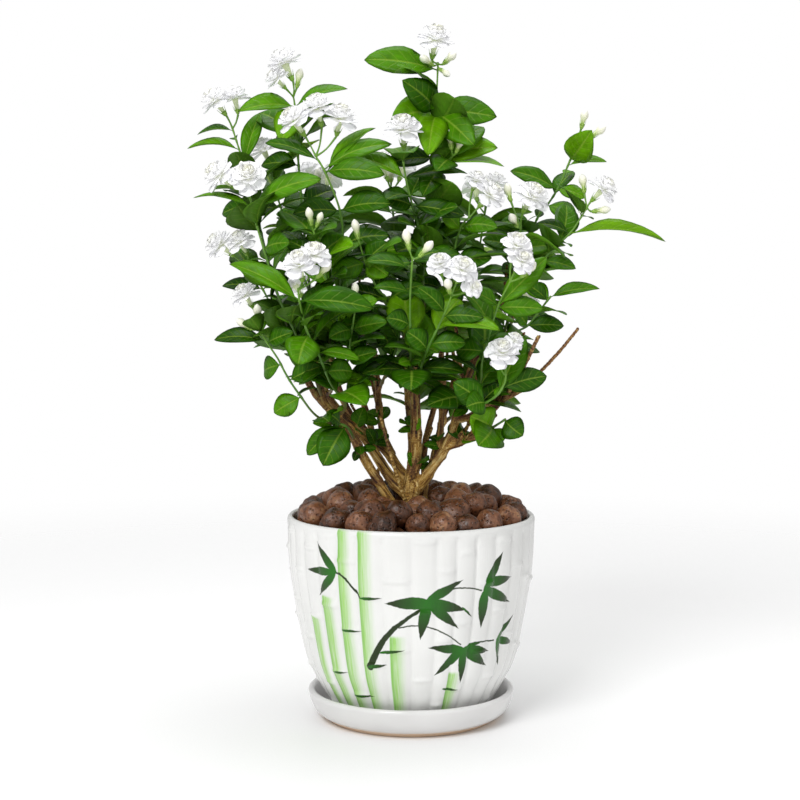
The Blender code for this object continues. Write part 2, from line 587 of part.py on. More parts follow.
def blade_lattice(rings, tip):
    """A blade's closed skin, with both faces split into triangles alike so that they never cross."""
    points = [point for ring in rings for point in ring] + [tip]
    sides = len(rings[0])
    edges = (0, sides // 2)
    faces = [(0, i + 1, i) for i in range(1, sides - 1)]
    for low in range(0, sides * (len(rings) - 1), sides):
        for i in range(sides):
            a, b = low + i, low + (i + 1) % sides
            c, d = a + sides, b + sides
            faces += [(a, b, c), (b, d, c)] if i in edges else [(a, b, d), (a, d, c)]
    last = sides * (len(rings) - 1)
    faces += [(last + i, last + (i + 1) % sides, len(points) - 1) for i in range(sides)]
    return points, faces


def ring_round(centre, axis, radius, sides, turn=0.0, notch=1.0, start=0):
    """A ring of points round an axis, every second one drawn in by the notch."""
    across = axis.cross(UP if abs(axis.z) < 0.9 else RIGHT).normalized()
    up = axis.cross(across)
    points = []
    for i in range(sides):
        angle = turn + 2 * math.pi * i / sides
        reach = radius * (notch if (i + start) % 2 else 1.0)
        points.append(centre + across * (math.cos(angle) * reach) + up * (math.sin(angle) * reach))
    return points


def turn_to(axis, way):
    """The angle at which ring_round puts a point on the side that way points to."""
    across = axis.cross(UP if abs(axis.z) < 0.9 else RIGHT).normalized()
    return math.atan2(way.dot(axis.cross(across)), way.dot(across))


def bloom_skin(bloom):
    """A double bloom: a slim tube that opens into two tiers of five petals round a raised heart."""
    centre, axis, radius, turn = bloom
    size = radius / (12.5 * MM)
    tiers = [
        (1.2 * MM, -TUBE_LENGTH, 1.0, 0),
        (radius, 0.6 * MM * size, PETAL_NOTCH, 0),
        (0.56 * radius, 3.2 * MM * size, 0.9, 0),
        (0.72 * radius, 6.0 * MM * size, PETAL_NOTCH, 1),
    ]
    rings = [
        ring_round(centre + axis * height, axis, reach, BLOOM_SIDES, turn, notch, start)
        for reach, height, notch, start in tiers
    ]
    return lattice(rings, tip=centre + axis * (9.0 * MM * size))


def bud_skin(start, bud, margin=0.0):
    """A pointed bud on its stalk, which begins inside the stem's end."""
    foot, axis, size = bud
    way = (foot - start).normalized()
    rings = [
        ring_round(start, way, LEAF_ROOT, 4),
        ring_round(foot, (way + axis).normalized(), STALK_RADIUS + margin, 4),
        ring_round(foot + axis * (0.62 * BUD_LENGTH * size), axis, BUD_RADIUS * size + margin, 4),
    ]
    return lattice(rings, tip=foot + axis * (BUD_LENGTH * size + margin))


def stalk_route(start, bloom):
    """A bloom's stalk from inside the stem's end, widening into the cup that ends just short of the tube."""
    centre, axis, _, _ = bloom
    top = centre - axis * (TUBE_LENGTH + TOUCH_GAP)
    low = top - axis * CALYX_LENGTH
    return [Vector((*start, LEAF_ROOT)), Vector((*low, STALK_RADIUS)), Vector((*top, 2.1 * MM))]


def prism(points, extra=0.0, sides=4):
    """A plain tube round a route, used to test what it touches."""
    rings = []
    for i, point in enumerate(points):
        way = xyz(points[min(i + 1, len(points) - 1)]) - xyz(points[max(i - 1, 0)])
        rings.append(ring_round(xyz(point), way.normalized(), point.w + extra, sides))
    return lattice(rings)


class Room:
    """The pieces placed so far, each with the node it belongs to."""

    def __init__(self):
        self.placed = []

    @staticmethod
    def box(points):
        low = [min(point[i] for point in points) for i in range(3)]
        high = [max(point[i] for point in points) for i in range(3)]
        return low, high

    def add(self, owner, skin):
        points, faces = skin
        self.placed.append((owner, BVHTree.FromPolygons(points, faces), *self.box(points)))

    def touches(self, owner, skin):
        """The owner of the first placed piece that a skin crosses, leaving out its own node's pieces."""
        points, faces = skin
        low, high = self.box(points)
        tree = None
        for other, placed, other_low, other_high in self.placed:
            if other == owner or any(high[i] < other_low[i] or low[i] > other_high[i] for i in range(3)):
                continue
            tree = tree or BVHTree.FromPolygons(points, faces)
            if tree.overlap(placed):
                return other
        return None


def outward(point):
    """The level direction away from the plant's middle."""
    way = Vector((point.x, point.y, 0.0))
    return way.normalized() if way.length > 1 * MM else TOWARD.copy()


def plan_heads(shoot, fork):
    """A shoot's blooms as (centre, axis, radius, turn), pulled together until their petals meet."""
    blooms = []
    for px, py, depth, diameter in shoot["blooms"]:
        centre = seen(px, py, depth)
        radius = diameter / 2 * MM
        axis = (centre - fork).normalized() + outward(fork) * 0.35 + UP * 0.3
        if fork.y < 0:
            axis += TOWARD * 0.3
        axis.normalize()
        if not blooms:
            blooms.append((centre, axis, radius, 0.0))
            continue
        index = min(range(len(blooms)), key=lambda i: (blooms[i][0] - centre).length)
        near = blooms[index]
        if len(blooms) == 1:
            blooms[0] = (*near[:3], turn_to(near[1], centre - near[0]))
        fixed = BVHTree.FromPolygons(*bloom_skin(blooms[index]))
        for _ in range(BLOOM_PULLS):
            bloom = (centre, axis, radius, turn_to(axis, near[0] - centre))
            if len(fixed.overlap(BVHTree.FromPolygons(*bloom_skin(bloom)))) >= BLOOM_MEETING:
                break
            centre = centre.lerp(near[0], 0.05)
        blooms.append(bloom)
    return blooms


def turned_leaf(base, tip, width, face, arch, variant):
    """A leaf turned about the upright through its base, tilted and made smaller."""
    yaw, pitch, size = variant
    way = tip - base
    cos_yaw, sin_yaw = math.cos(math.radians(yaw)), math.sin(math.radians(yaw))
    way = Vector((way.x * cos_yaw - way.y * sin_yaw, way.x * sin_yaw + way.y * cos_yaw, way.z))
    way.z += way.length * math.tan(math.radians(pitch))
    way = way.normalized() * ((tip - base).length * size)
    return base, base + way, width * (0.5 + 0.5 * size), face, arch


# The turns, tilts and sizes that a leaf may take to lie clear of the others: degrees, degrees, share.
VARIANTS = [
    (0, 0, 1.0), (10, 0, 1.0), (-10, 0, 1.0), (0, 8, 1.0), (0, -8, 1.0), (18, 0, 1.0), (-18, 0, 1.0),
    (0, 0, 0.85), (14, 8, 0.9), (-14, 8, 0.9), (14, -8, 0.9), (-14, -8, 0.9), (30, 0, 0.9),
    (-30, 0, 0.9), (0, 18, 0.85), (0, -18, 0.85), (30, 12, 0.8), (-30, 12, 0.8), (45, 0, 0.8),
    (-45, 0, 0.8), (0, 0, 0.7), (20, 16, 0.7), (-20, 16, 0.7), (60, 5, 0.75), (-60, 5, 0.75),
    (0, 30, 0.7), (0, 0, 0.55), (35, 20, 0.6), (-35, 20, 0.6), (80, 10, 0.65), (-80, 10, 0.65),
]
FILLER_VARIANTS = VARIANTS[:7]


def fit_leaf(room, owner, leaf, variants):
    """The first variant of a leaf that crosses nothing of another node, or None."""
    for variant in variants:
        tried = turned_leaf(*leaf, variant)
        if not room.touches(owner, blade(tried, LEAF_MARGIN, 1)) and not room.touches(owner, blade(tried)):
            room.add(owner, blade(tried))
            return tried
    return None


def within(outline, place):
    """Whether a place lies inside an outline."""
    x, y = place
    found = False
    for (x0, y0), (x1, y1) in zip(outline, outline[1:] + outline[:1]):
        if (y0 > y) != (y1 > y) and x < x0 + (x1 - x0) * (y - y0) / (y1 - y0):
            found = not found
    return found


def in_foliage(point):
    """Whether a point is seen inside the foliage's outline and off its open places."""
    px, py = photo_place(point)
    return within(OUTLINE, (px, py)) and all((px - x) ** 2 + (py - y) ** 2 > r * r for x, y, r in OPEN_PLACES)


def filler_pairs(rng, stem, taken):
    """Opposite pairs of smaller leaves up a stem, each pair turned a quarter from the one below."""
    leaves = []
    quarter = rng.uniform(0, math.pi)
    for before, here in zip(stem[1:], stem[2:]):
        span = xyz(here) - xyz(before)
        quarter += math.pi / 2 + rng.uniform(-0.3, 0.3)
        length = rng.uniform(34, 44) * MM
        base = xyz(before) + span * rng.uniform(0.3, 0.7)
        if any((base - other).length < FILLER_ROOM for other in taken):
            continue
        taken.append(base)
        axis = span.normalized()
        for side in (0, math.pi):
            flat = Vector((math.cos(quarter + side), math.sin(quarter + side), 0.0))
            way = (flat - axis * flat.dot(axis)).normalized() + axis * 0.45 + UP * 0.1
            size = length * (1.0 if way.dot(outward(base)) > 0 else 0.8)
            face = 25 if base.y < 0 else 5
            leaves.append((base, base + way.normalized() * size, size * 0.42, face, 0.12))
    return leaves


def at_row(points, row):
    """The place on a stem where the photograph shows it at a pixel row, or its nearest end."""
    rows = [photo_place(xyz(point))[1] for point in points]
    for low, high, before, here in zip(rows[1:], rows[2:], points[1:], points[2:]):
        if (low - row) * (high - row) <= 0 and low != high:
            return xyz(before).lerp(xyz(here), (row - low) / (high - low))
    near = min(range(1, len(points)), key=lambda i: abs(rows[i] - row))
    return xyz(points[near]).lerp(xyz(points[near - 1]), 0.08)


def stem_end(stem):
    """A place inside a stem's end, where its stalks begin."""
    return xyz(stem[-1]) + (xyz(stem[-2]) - xyz(stem[-1])).normalized() * 1.2 * MM


def fit_bud(room, name, start, top):
    """A bud's foot, axis and size, its tip at the given place or moved off the petals it would cross."""
    for push in range(9):
        tip = top + outward(top) * (push * 1.4 * MM) + UP * (push * 0.7 * MM)
        axis = ((tip - start).normalized() + UP * 0.2).normalized()
        size = min(1.0, (tip - start).length / (BUD_LENGTH + 3 * MM))
        bud = (tip - axis * (BUD_LENGTH * size), axis, size)
        if not room.touches(name, bud_skin(start, bud, 0.4 * MM)):
            room.add(name, bud_skin(start, bud))
            return bud
    print(f"no room for a bud of {name}")
    return None


def plan_plant():
    """Everything that grows: wood tubes, and for each shoot its stems, stalks, blooms, buds and leaves."""
    wood, stems = plan_routes()
    bend_clear(wood, stems)
    room = Room()
    plan = {"wood": [], "shoots": {}}
    for route in wood.values():
        plan["wood"].append(thinned(route, WOOD_STEP, WOOD_STEP))
        room.add("wood", prism(plan["wood"][-1], 0.1 * MM, 6))
    for name, route in stems.items():
        stub, green = split(route)
        stem = thinned(green)
        plan["wood"].append(stub)
        room.add("wood", prism(stub, 0.1 * MM))
        room.add(name, prism(stem, 0.1 * MM))
        plan["shoots"][name] = dict(stems=[stem], stalks=[], blooms=[], buds=[], leaves=[])
    for name, shoot in SHOOTS.items():
        piece = plan["shoots"][name]
        start = stem_end(piece["stems"][0])
        piece["blooms"] = plan_heads(shoot, start)
        for bloom in piece["blooms"]:
            room.add(name + " blooms", bloom_skin(bloom))
        for bloom in piece["blooms"]:
            piece["stalks"].append(stalk_route(start, bloom))
            room.add(name, prism(piece["stalks"][-1]))
    for name, shoot in SHOOTS.items():
        piece = plan["shoots"][name]
        heads = [(stem_end(piece["stems"][0]), place) for place in shoot["buds"]]
        if "side" in shoot:
            side = shoot["side"]
            root = at_row(piece["stems"][0], side["at"])
            piece["stems"].append(thinned(stem_route(root, side["route"] + [side["fork"]], 0.9)))
            heads += [(stem_end(piece["stems"][1]), place) for place in side["buds"]]
        for start, place in heads:
            bud = fit_bud(room, name, start, seen(*place))
            if bud:
                piece["buds"].append((start, bud))
    for name, shoot in SHOOTS.items():
        piece = plan["shoots"][name]
        for row, px, py, depth, width, face in shoot["leaves"]:
            leaf = (at_row(piece["stems"][0], row), seen(px, py, depth), width * MM, face, 0.14)
            fitted = fit_leaf(room, name, leaf, VARIANTS)
            if fitted:
                piece["leaves"].append(fitted)
            else:
                print(f"no room for the leaf of {name} at row {row}")
    rng = random.Random(FILLER_SEED)
    for name in SHOOTS:
        piece = plan["shoots"][name]
        taken = [leaf[0] for leaf in piece["leaves"]]
        for leaf in filler_pairs(rng, piece["stems"][0], taken):
            if not in_foliage(leaf[1]) or not in_foliage((leaf[0] + leaf[1]) / 2):
                continue
            fitted = fit_leaf(room, name, leaf, FILLER_VARIANTS)
            if fitted:
                piece["leaves"].append(fitted)
    print(sum(len(piece["leaves"]) for piece in plan["shoots"].values()), "leaves")
    return plan


def material(name, colour, roughness, metallic=0.0):
    made = bpy.data.materials.new(name)
    made.use_nodes = True
    shader = made.node_tree.nodes["Principled BSDF"]
    shader.inputs["Base Color"].default_value = (*colour, 1.0)
    shader.inputs["Roughness"].default_value = roughness
    shader.inputs["Metallic"].default_value = metallic
    made.diffuse_color = (*colour, 1.0)
    return made


def mesh_object(name, skin):
    """An object from points and triangles, its faces turned outwards."""
    points, faces = skin
    data = bpy.data.meshes.new(name)
    data.from_pydata([tuple(point) for point in points], [], faces)
    work = bmesh.new()
    work.from_mesh(data)
    bmesh.ops.recalc_face_normals(work, faces=work.faces)
    work.to_mesh(data)
    work.free()
    return bpy.data.objects.new(name, data)


def tube(name, points, resolution=0):
    """A capped tube along a route, its radius taken from each point, as a welded mesh."""
    curve = bpy.data.curves.new(name, "CURVE")
    curve.dimensions = "3D"
    curve.bevel_depth = MM
    curve.bevel_resolution = resolution
    curve.use_fill_caps = True
    spline = curve.splines.new("POLY")
    spline.points.add(len(points) - 1)
    for place, point in zip(spline.points, points):
        place.co = (*xyz(point), 1.0)
        place.radius = point.w / MM
    guide = bpy.data.objects.new(name, curve)
    bpy.context.scene.collection.objects.link(guide)
    graph = bpy.context.evaluated_depsgraph_get()
    data = bpy.data.meshes.new_from_object(guide.evaluated_get(graph))
    bpy.data.objects.remove(guide)
    work = bmesh.new()
    work.from_mesh(data)
    bmesh.ops.remove_doubles(work, verts=work.verts, dist=1e-6)
    bmesh.ops.recalc_face_normals(work, faces=work.faces)
    work.to_mesh(data)
    work.free()
    return bpy.data.objects.new(name, data)


def shells(data):
    """A mesh's connected shells as lists of face indices, the one with the most faces first."""
    work = bmesh.new()
    work.from_mesh(data)
    work.faces.ensure_lookup_table()
    left = set(range(len(work.faces)))
    found = []
    while left:
        stack = [min(left)]
        left.discard(stack[0])
        shell = []
        while stack:
            face = stack.pop()
            shell.append(face)
            for edge in work.faces[face].edges:
                for other in edge.link_faces:
                    if other.index in left:
                        left.discard(other.index)
                        stack.append(other.index)
        found.append(shell)
    found.sort(key=len, reverse=True)
    work.free()
    return found


def tidy_union(data, name):
    """Keeps the one main body of a union, with sealed hollows filled and loose scrap dropped."""
    found = shells(data)
    if len(found) > 1:
        print(f"{name}: {[len(shell) for shell in found]} faces in shells, the first kept")
        work = bmesh.new()
        work.from_mesh(data)
        work.faces.ensure_lookup_table()
        scrap = [work.faces[i] for shell in found[1:] for i in shell]
        bmesh.ops.delete(work, geom=scrap, context="FACES")
        work.to_mesh(data)
        work.free()


def closed(data):
    work = bmesh.new()
    work.from_mesh(data)
    whole = all(len(edge.link_faces) == 2 for edge in work.edges)
    work.free()
    return whole and len(data.polygons) > 0


def fuse(name, pieces, parts, cutters):
    """One body from pieces that overlap, by a Boolean union on a collection of all but the first."""
    body = pieces[0]
    body.name = name
    parts.objects.link(body)
    if len(pieces) > 1:
        group = bpy.data.collections.new(name + "_joined")
        cutters.children.link(group)
        for piece in pieces[1:]:
            group.objects.link(piece)
        join = body.modifiers.new("Join", "BOOLEAN")
        join.operation = "UNION"
        join.operand_type = "COLLECTION"
        join.collection = group
        for solver in SOLVERS:
            join.solver = solver
            graph = bpy.context.evaluated_depsgraph_get()
            data = bpy.data.meshes.new_from_object(body.evaluated_get(graph))
            if closed(data):
                break
        body.modifiers.remove(join)
        body.data = data
        for piece in pieces[1:]:
            bpy.data.objects.remove(piece)
        bpy.data.collections.remove(group)
        tidy_union(body.data, name)
    return body


def dress(body, look, angle=40):
    body.data.materials.clear()
    body.data.materials.append(look)
    body.data.shade_smooth()
    body.data.set_sharp_from_angle(angle=math.radians(angle))


def turned(name, profile, steps, parts, ring=False):
    """A turned shape: a profile of (radius, height) pairs swept round the upright axis."""
    count = len(profile)
    edges = [(i, i + 1) for i in range(count - 1)]
    if ring:
        edges.append((count - 1, 0))
    data = bpy.data.meshes.new(name)
    data.from_pydata([(radius, 0.0, height) for radius, height in profile], edges, [])
    body = bpy.data.objects.new(name, data)
    parts.objects.link(body)
    sweep = body.modifiers.new("Turn", "SCREW")
    sweep.steps = steps
    sweep.render_steps = steps
    sweep.use_merge_vertices = True
    sweep.merge_threshold = 0.0001
    graph = bpy.context.evaluated_depsgraph_get()
    made = bpy.data.meshes.new_from_object(body.evaluated_get(graph))
    body.modifiers.remove(sweep)
    body.data = made
    return body


def pot_radius(levels, height):
    """The pot's radius in metres at a height, between the measured levels of one of its faces."""
    level = height / MM
    for (z0, r0), (z1, r1) in zip(levels, levels[1:]):
        if level <= z1:
            return (r0 + (r1 - r0) * (level - z0) / (z1 - z0)) * MM
    return levels[-1][1] * MM


def build_saucer(parts):
    floor, lip, top = SAUCER_FLOOR / MM, SAUCER_LIP_RADIUS / MM, SAUCER_HEIGHT / MM
    profile = [
        (0.0, floor), (58.5, floor), (lip - 4.2, top - 0.8), (lip - 2.2, top), (lip, top - 1.4),
        (lip - 2.4, 11.0), (61.8, 3.2), (SAUCER_BASE_RADIUS / MM, 0.0), (0.0, 0.0),
    ]
    return turned("saucer", [(r * MM, z * MM) for r, z in profile], SAUCER_STEPS, parts)


def build_pot(parts):
    """The fluted pot: a turned wall, then a groove pressed in between each two canes."""
    inside = [(DRAIN_RADIUS, POT_INSIDE[0][0] * MM)] + [(r * MM, z * MM) for z, r in POT_INSIDE]
    outside = [(r * MM, z * MM) for z, r in reversed(POT_OUTSIDE)]
    lip = [(RIM_RADIUS - 2 * MM, POT_RIM_Z)]
    pot = turned("pot", inside + lip + outside + [(DRAIN_RADIUS, POT_FOOT_Z)], 2 * CANES, parts, ring=True)
    for vertex in pot.data.vertices:
        radius = math.hypot(vertex.co.x, vertex.co.y)
        height = vertex.co.z
        if height > 137 * MM or height < 6 * MM or radius < pot_radius(POT_OUTSIDE, height) - 1 * MM:
            continue
        if round(math.atan2(vertex.co.y, vertex.co.x) / (math.pi / CANES)) % 2:
            vertex.co.x *= 1 - CANE_GROOVE / radius
            vertex.co.y *= 1 - CANE_GROOVE / radius
    return pot


def build_soil(parts):
    """The potting soil, which fills the pot up to the pebbles and has a plain hole for the trunk's foot."""
    floor = POT_INSIDE[0][0] * MM + SOIL_GAP
    profile = [
        (0.0, SOIL_HOLE_FLOOR),
        (SOIL_HOLE_RADIUS, SOIL_HOLE_FLOOR),
        (SOIL_HOLE_RADIUS, SOIL_TOP),
        (pot_radius(POT_INSIDE, SOIL_TOP) - SOIL_GAP, SOIL_TOP),
        (pot_radius(POT_INSIDE, 49 * MM) - SOIL_GAP, 49 * MM),
        (POT_INSIDE[0][1] * MM - SOIL_GAP, floor),
        (0.0, floor),
    ]
    return turned("soil", profile, SOIL_STEPS, parts)


def pebble_places(stems):
    """Centres and radii of the clay pebbles: rings that lean on each other, heaped towards the trunk."""
    rng = random.Random(PEBBLE_SEED)
    places = []
    for count, ring, height in PEBBLE_RINGS:
        start = rng.uniform(0, 2 * math.pi)
        for i in range(count):
            angle = start + 2 * math.pi * (i + rng.uniform(-0.1, 0.1)) / count
            radius = PEBBLE_RADIUS * rng.uniform(0.92, 1.06)
            reach = min((ring + rng.uniform(-1.5, 1.5)) * MM, BED_RADIUS - radius)
            places.append([Vector((reach * math.cos(angle), reach * math.sin(angle), height * MM)), radius])
    for place in places:
        for _ in range(30):
            if not any((xyz(point) - place[0]).length < place[1] + point.w + BED_ROOM for point in stems):
                break
            place[0] += outward(place[0]) * 0.8 * MM
    return places


def bed_height(radius):
    """The height of the mound between the pebbles."""
    levels = BED_MOUND
    for (r0, z0), (r1, z1) in zip(levels, levels[1:]):
        if radius / MM <= r1:
            return (z0 + (z1 - z0) * max(0.0, (radius / MM - r0) / (r1 - r0))) * MM
    return levels[-1][1] * MM


def bed_hole(stems):
    """The outline of the hole in the pebbles, drawn close round the stems that rise through it."""
    ring = []
    for i in range(BED_SIDES):
        turn = 2 * math.pi * i / BED_SIDES
        way = Vector((math.cos(turn), math.sin(turn), 0.0))
        reach = BED_HOLE_RADIUS
        while any(((way * reach).xy - point.xy).length < point.w + BED_ROOM for point in stems):
            reach += 0.4 * MM
        ring.append(way * reach)
    return ring


def dense(route):
    """A route's points with three more between each two."""
    points = []
    for before, here in zip(route, route[1:]):
        points += [before.lerp(here, k / 4) for k in range(4)]
    return points + [route[-1]]


def pebble_dome(centre, radius):
    """The points that raise one pebble out of the mound."""
    dome = [centre + UP * radius * 0.96]
    dome += ring_round(centre + UP * radius * 0.62, UP, radius * 0.74, 5, centre.x / MM)
    dome += ring_round(centre - UP * radius * 0.1, UP, radius * 0.98, 6, centre.y / MM)
    return dome


def build_pebbles(plan, parts):
    """The clay pebbles as one body: a mound whose surface rises over each pebble as a dome, round a hole."""
    stems = [point for route in plan["wood"] for point in dense(route)]
    low = SOIL_TOP + SOIL_GAP
    hole = bed_hole([point for point in stems if point.z < bed_height(0) + 7 * MM])
    reach = pot_radius(POT_INSIDE, low) - SOIL_GAP
    turns = [2 * math.pi * i / BED_SIDES for i in range(BED_SIDES)]
    top = hole + [Vector((math.cos(turn) * reach, math.sin(turn) * reach, 0.0)) for turn in turns]
    top = [point + UP * bed_height(point.length) for point in top]
    mouth = [tuple(point.xy) for point in hole]
    places = pebble_places(stems)
    for centre, radius in places:
        others = [place for place in places if place[0] != centre]
        for point in pebble_dome(centre, radius):
            buried = any((point.xy - other.xy).length < size * 0.9 for other, size in others)
            at_mouth = within(mouth, point.xy) or any((point.xy - edge.xy).length < 2 * MM for edge in hole)
            if point.xy.length < reach - 1 * MM and not buried and not at_mouth:
                top.append(point)
    rims = [(i, (i + 1) % BED_SIDES) for i in range(BED_SIDES)]
    rims += [(BED_SIDES + a, BED_SIDES + b) for a, b in rims]
    laid = delaunay_2d_cdt([point.xy for point in top], rims, [], 0, 1e-7)
    faces = []
    for corners in laid[2]:
        a, b, c = [laid[3][corner][0] for corner in corners]
        if not within(mouth, ((top[a] + top[b] + top[c]) / 3).xy):
            faces.append((a, b, c))
    count = len(top)
    bottom = [Vector((point.x, point.y, low)) for point in top[:2 * BED_SIDES]]
    for a, b in rims:
        faces += [(a, b, count + b), (a, count + b, count + a)]
    for a, b in rims[:BED_SIDES]:
        c, d = count + BED_SIDES + a, count + BED_SIDES + b
        faces += [(count + a, count + b, c), (count + b, d, c)]
    body = mesh_object("clay_pebbles", (top + bottom, faces))
    parts.objects.link(body)
    return body


def build_trunk(plan, parts, cutters):
    """The woody frame: every brown branch and the stub under each green shoot, in one body."""
    pieces = []
    for i, route in enumerate(plan["wood"]):
        pieces.append(tube("branch", route, 1 if i in THICK_BRANCHES else 0))
    return fuse("trunk", pieces, parts, cutters)


def build_shoot(name, piece, parts, cutters):
    """One leafy stem with its stalks, cups, buds and leaves."""
    pieces = [tube("stem", route) for route in piece["stems"] + piece["stalks"]]
    pieces += [mesh_object("bud", bud_skin(*bud)) for bud in piece["buds"]]
    pieces += [mesh_object("leaf", blade(leaf)) for leaf in piece["leaves"]]
    return fuse("shoot_" + name, pieces, parts, cutters)


def build_blooms(name, piece, parts, cutters):
    """The blooms at the top of one shoot, whose petals run into each other."""
    pieces = [mesh_object("bloom", bloom_skin(bloom)) for bloom in piece["blooms"]]
    return fuse("blooms_" + name, pieces, parts, cutters)


def main():
    for old in list(bpy.data.objects):
        bpy.data.objects.remove(old)
    parts = bpy.data.collections.new("potted_jasmine")
    cutters = bpy.data.collections.new("cutters")
    for group in (parts, cutters):
        bpy.context.scene.collection.children.link(group)
    glaze = material("white glazed ceramic", (0.85, 0.85, 0.83), 0.18)
    earth = material("potting soil", (0.045, 0.03, 0.02), 0.95)
    clay = material("fired clay pebbles", (0.11, 0.05, 0.035), 0.75)
    bark = material("bark", (0.26, 0.15, 0.06), 0.8)
    green = material("jasmine leaf", (0.045, 0.16, 0.015), 0.4)
    petal = material("jasmine petal", (0.9, 0.9, 0.86), 0.55)
    plan = plan_plant()
    dress(build_saucer(parts), glaze)
    dress(build_pot(parts), glaze)
    dress(build_soil(parts), earth)
    dress(build_pebbles(plan, parts), clay, 60)
    dress(build_trunk(plan, parts, cutters), bark, 60)
    for name, piece in plan["shoots"].items():
        dress(build_shoot(name, piece, parts, cutters), green)
        if piece["blooms"]:
            dress(build_blooms(name, piece, parts, cutters), petal)
    return plan


main()
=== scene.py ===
# %% [markdown]
# # Potted jasmine
# A double-flowered jasmine bush in a white ceramic pot, with a saucer under it and clay pebbles on its soil.
# The script loads the plain solids of the object, and dresses them: it makes a fine piece in the place of
# each coarse one, gives every surface a node-based material, and sets up a floor, lights and a camera.
# Lengths are in metres, +Z is up, and the viewer looks along +Y.

# %% Load the solids
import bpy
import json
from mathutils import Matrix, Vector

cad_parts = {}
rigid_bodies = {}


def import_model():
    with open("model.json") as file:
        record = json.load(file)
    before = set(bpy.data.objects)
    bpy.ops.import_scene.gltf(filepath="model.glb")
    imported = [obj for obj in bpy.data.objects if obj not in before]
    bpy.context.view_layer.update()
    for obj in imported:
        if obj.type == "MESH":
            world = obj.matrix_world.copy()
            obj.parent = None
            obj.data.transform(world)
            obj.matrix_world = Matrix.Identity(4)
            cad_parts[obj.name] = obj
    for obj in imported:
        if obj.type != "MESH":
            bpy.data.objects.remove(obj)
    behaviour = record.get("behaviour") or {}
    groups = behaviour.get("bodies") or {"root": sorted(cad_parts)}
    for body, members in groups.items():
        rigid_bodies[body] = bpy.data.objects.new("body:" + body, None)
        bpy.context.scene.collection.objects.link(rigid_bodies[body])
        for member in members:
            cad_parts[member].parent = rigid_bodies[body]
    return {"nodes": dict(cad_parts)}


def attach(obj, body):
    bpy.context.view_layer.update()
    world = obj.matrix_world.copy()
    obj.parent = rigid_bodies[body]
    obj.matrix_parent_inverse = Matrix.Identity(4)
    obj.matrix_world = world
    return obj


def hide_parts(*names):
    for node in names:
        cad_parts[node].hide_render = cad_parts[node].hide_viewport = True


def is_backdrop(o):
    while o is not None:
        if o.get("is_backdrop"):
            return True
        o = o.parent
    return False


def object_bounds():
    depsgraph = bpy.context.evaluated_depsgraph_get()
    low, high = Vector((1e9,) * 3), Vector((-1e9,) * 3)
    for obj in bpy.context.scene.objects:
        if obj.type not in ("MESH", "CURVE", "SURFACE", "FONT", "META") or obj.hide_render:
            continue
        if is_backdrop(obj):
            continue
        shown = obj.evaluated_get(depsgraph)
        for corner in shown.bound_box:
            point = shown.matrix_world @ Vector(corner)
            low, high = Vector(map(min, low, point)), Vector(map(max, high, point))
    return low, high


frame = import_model()
cad_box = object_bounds()
print(len(frame["nodes"]), "solids, from", tuple(round(v, 3) for v in cad_box[0]),
      "to", tuple(round(v, 3) for v in cad_box[1]))

# %% [markdown]
# ## Helpers
# Node trees are long to write by hand. One function adds a node of any kind with its settings and its
# links, so that a tree reads as a list of steps. A second one turns the colours, which are written as the
# hex values that a paint program shows, into the linear numbers that a shader expects. Two more put an
# object into the scene, and find the nearest of many places.

# %% Helpers for nodes, colours and objects
import json
import math
import random

import bmesh
import bpy
from mathutils import Euler, Matrix, Quaternion, Vector, kdtree, noise

MM = 0.001


def linear(colour):
    """An sRGB hex colour as the linear red, green, blue and alpha that a shader takes."""
    values = [int(colour[i:i + 2], 16) / 255 for i in (1, 3, 5)]
    return (*[v / 12.92 if v <= 0.04045 else ((v + 0.055) / 1.055) ** 2.4 for v in values], 1.0)


def socket(sockets, key):
    """A socket by its place, its identifier or its name."""
    if isinstance(key, int):
        return sockets[key]
    return next((found for found in sockets if found.identifier == key), None) or sockets[key]


def feed(tree, node, inputs):
    """Sets a node's inputs, or links them. Inputs is a dict, or a list in socket order with None to skip."""
    pairs = inputs.items() if isinstance(inputs, dict) else enumerate(inputs)
    for key, value in pairs:
        if value is None:
            continue
        target = socket(node.inputs, key)
        if isinstance(value, bpy.types.Node):
            value = next(output for output in value.outputs if output.enabled)
        if isinstance(value, bpy.types.NodeSocket):
            tree.links.new(value, target)
        else:
            target.default_value = value


def add(tree, kind, inputs=(), **settings):
    """Adds a node with its settings and its inputs."""
    node = tree.nodes.new(kind)
    for name, value in settings.items():
        setattr(node, name, value)
    feed(tree, node, inputs)
    return node


def placed(name, data):
    """A new object in the scene."""
    made = bpy.data.objects.new(name, data)
    bpy.context.scene.collection.objects.link(made)
    return made


def tree_of(places):
    """A k-d tree of places, which finds the nearest ones quickly."""
    tree = kdtree.KDTree(len(places))
    for index, place in enumerate(places):
        tree.insert(place, index)
    tree.balance()
    return tree

# %% [markdown]
# ## Where everything grows
# The plant is laid out in the photograph's own frame, in the same way as its solids: a branch, a shoot, a
# leaf tip or a bloom is a pixel column, a pixel row and a depth in mm behind the pot's axis. The script
# can't read the solids' source, so it repeats those tables and the few functions that turn them into
# routes. That keeps every fine piece exactly where its solid is.

# %% The camera that the places are seen by
EYE = Vector((-0.0076, -1.15, 0.31))
AIM = Vector((-0.0076, 0.0, 0.2192))
FOCAL_PX = 1684
CENTRE_PX = 400
FORWARD = (AIM - EYE).normalized()
RIGHT = Vector((1.0, 0.0, 0.0))
UPWARD = RIGHT.cross(FORWARD)
UP = Vector((0.0, 0.0, 1.0))
TOWARD = Vector((0.0, -1.0, 0.0))


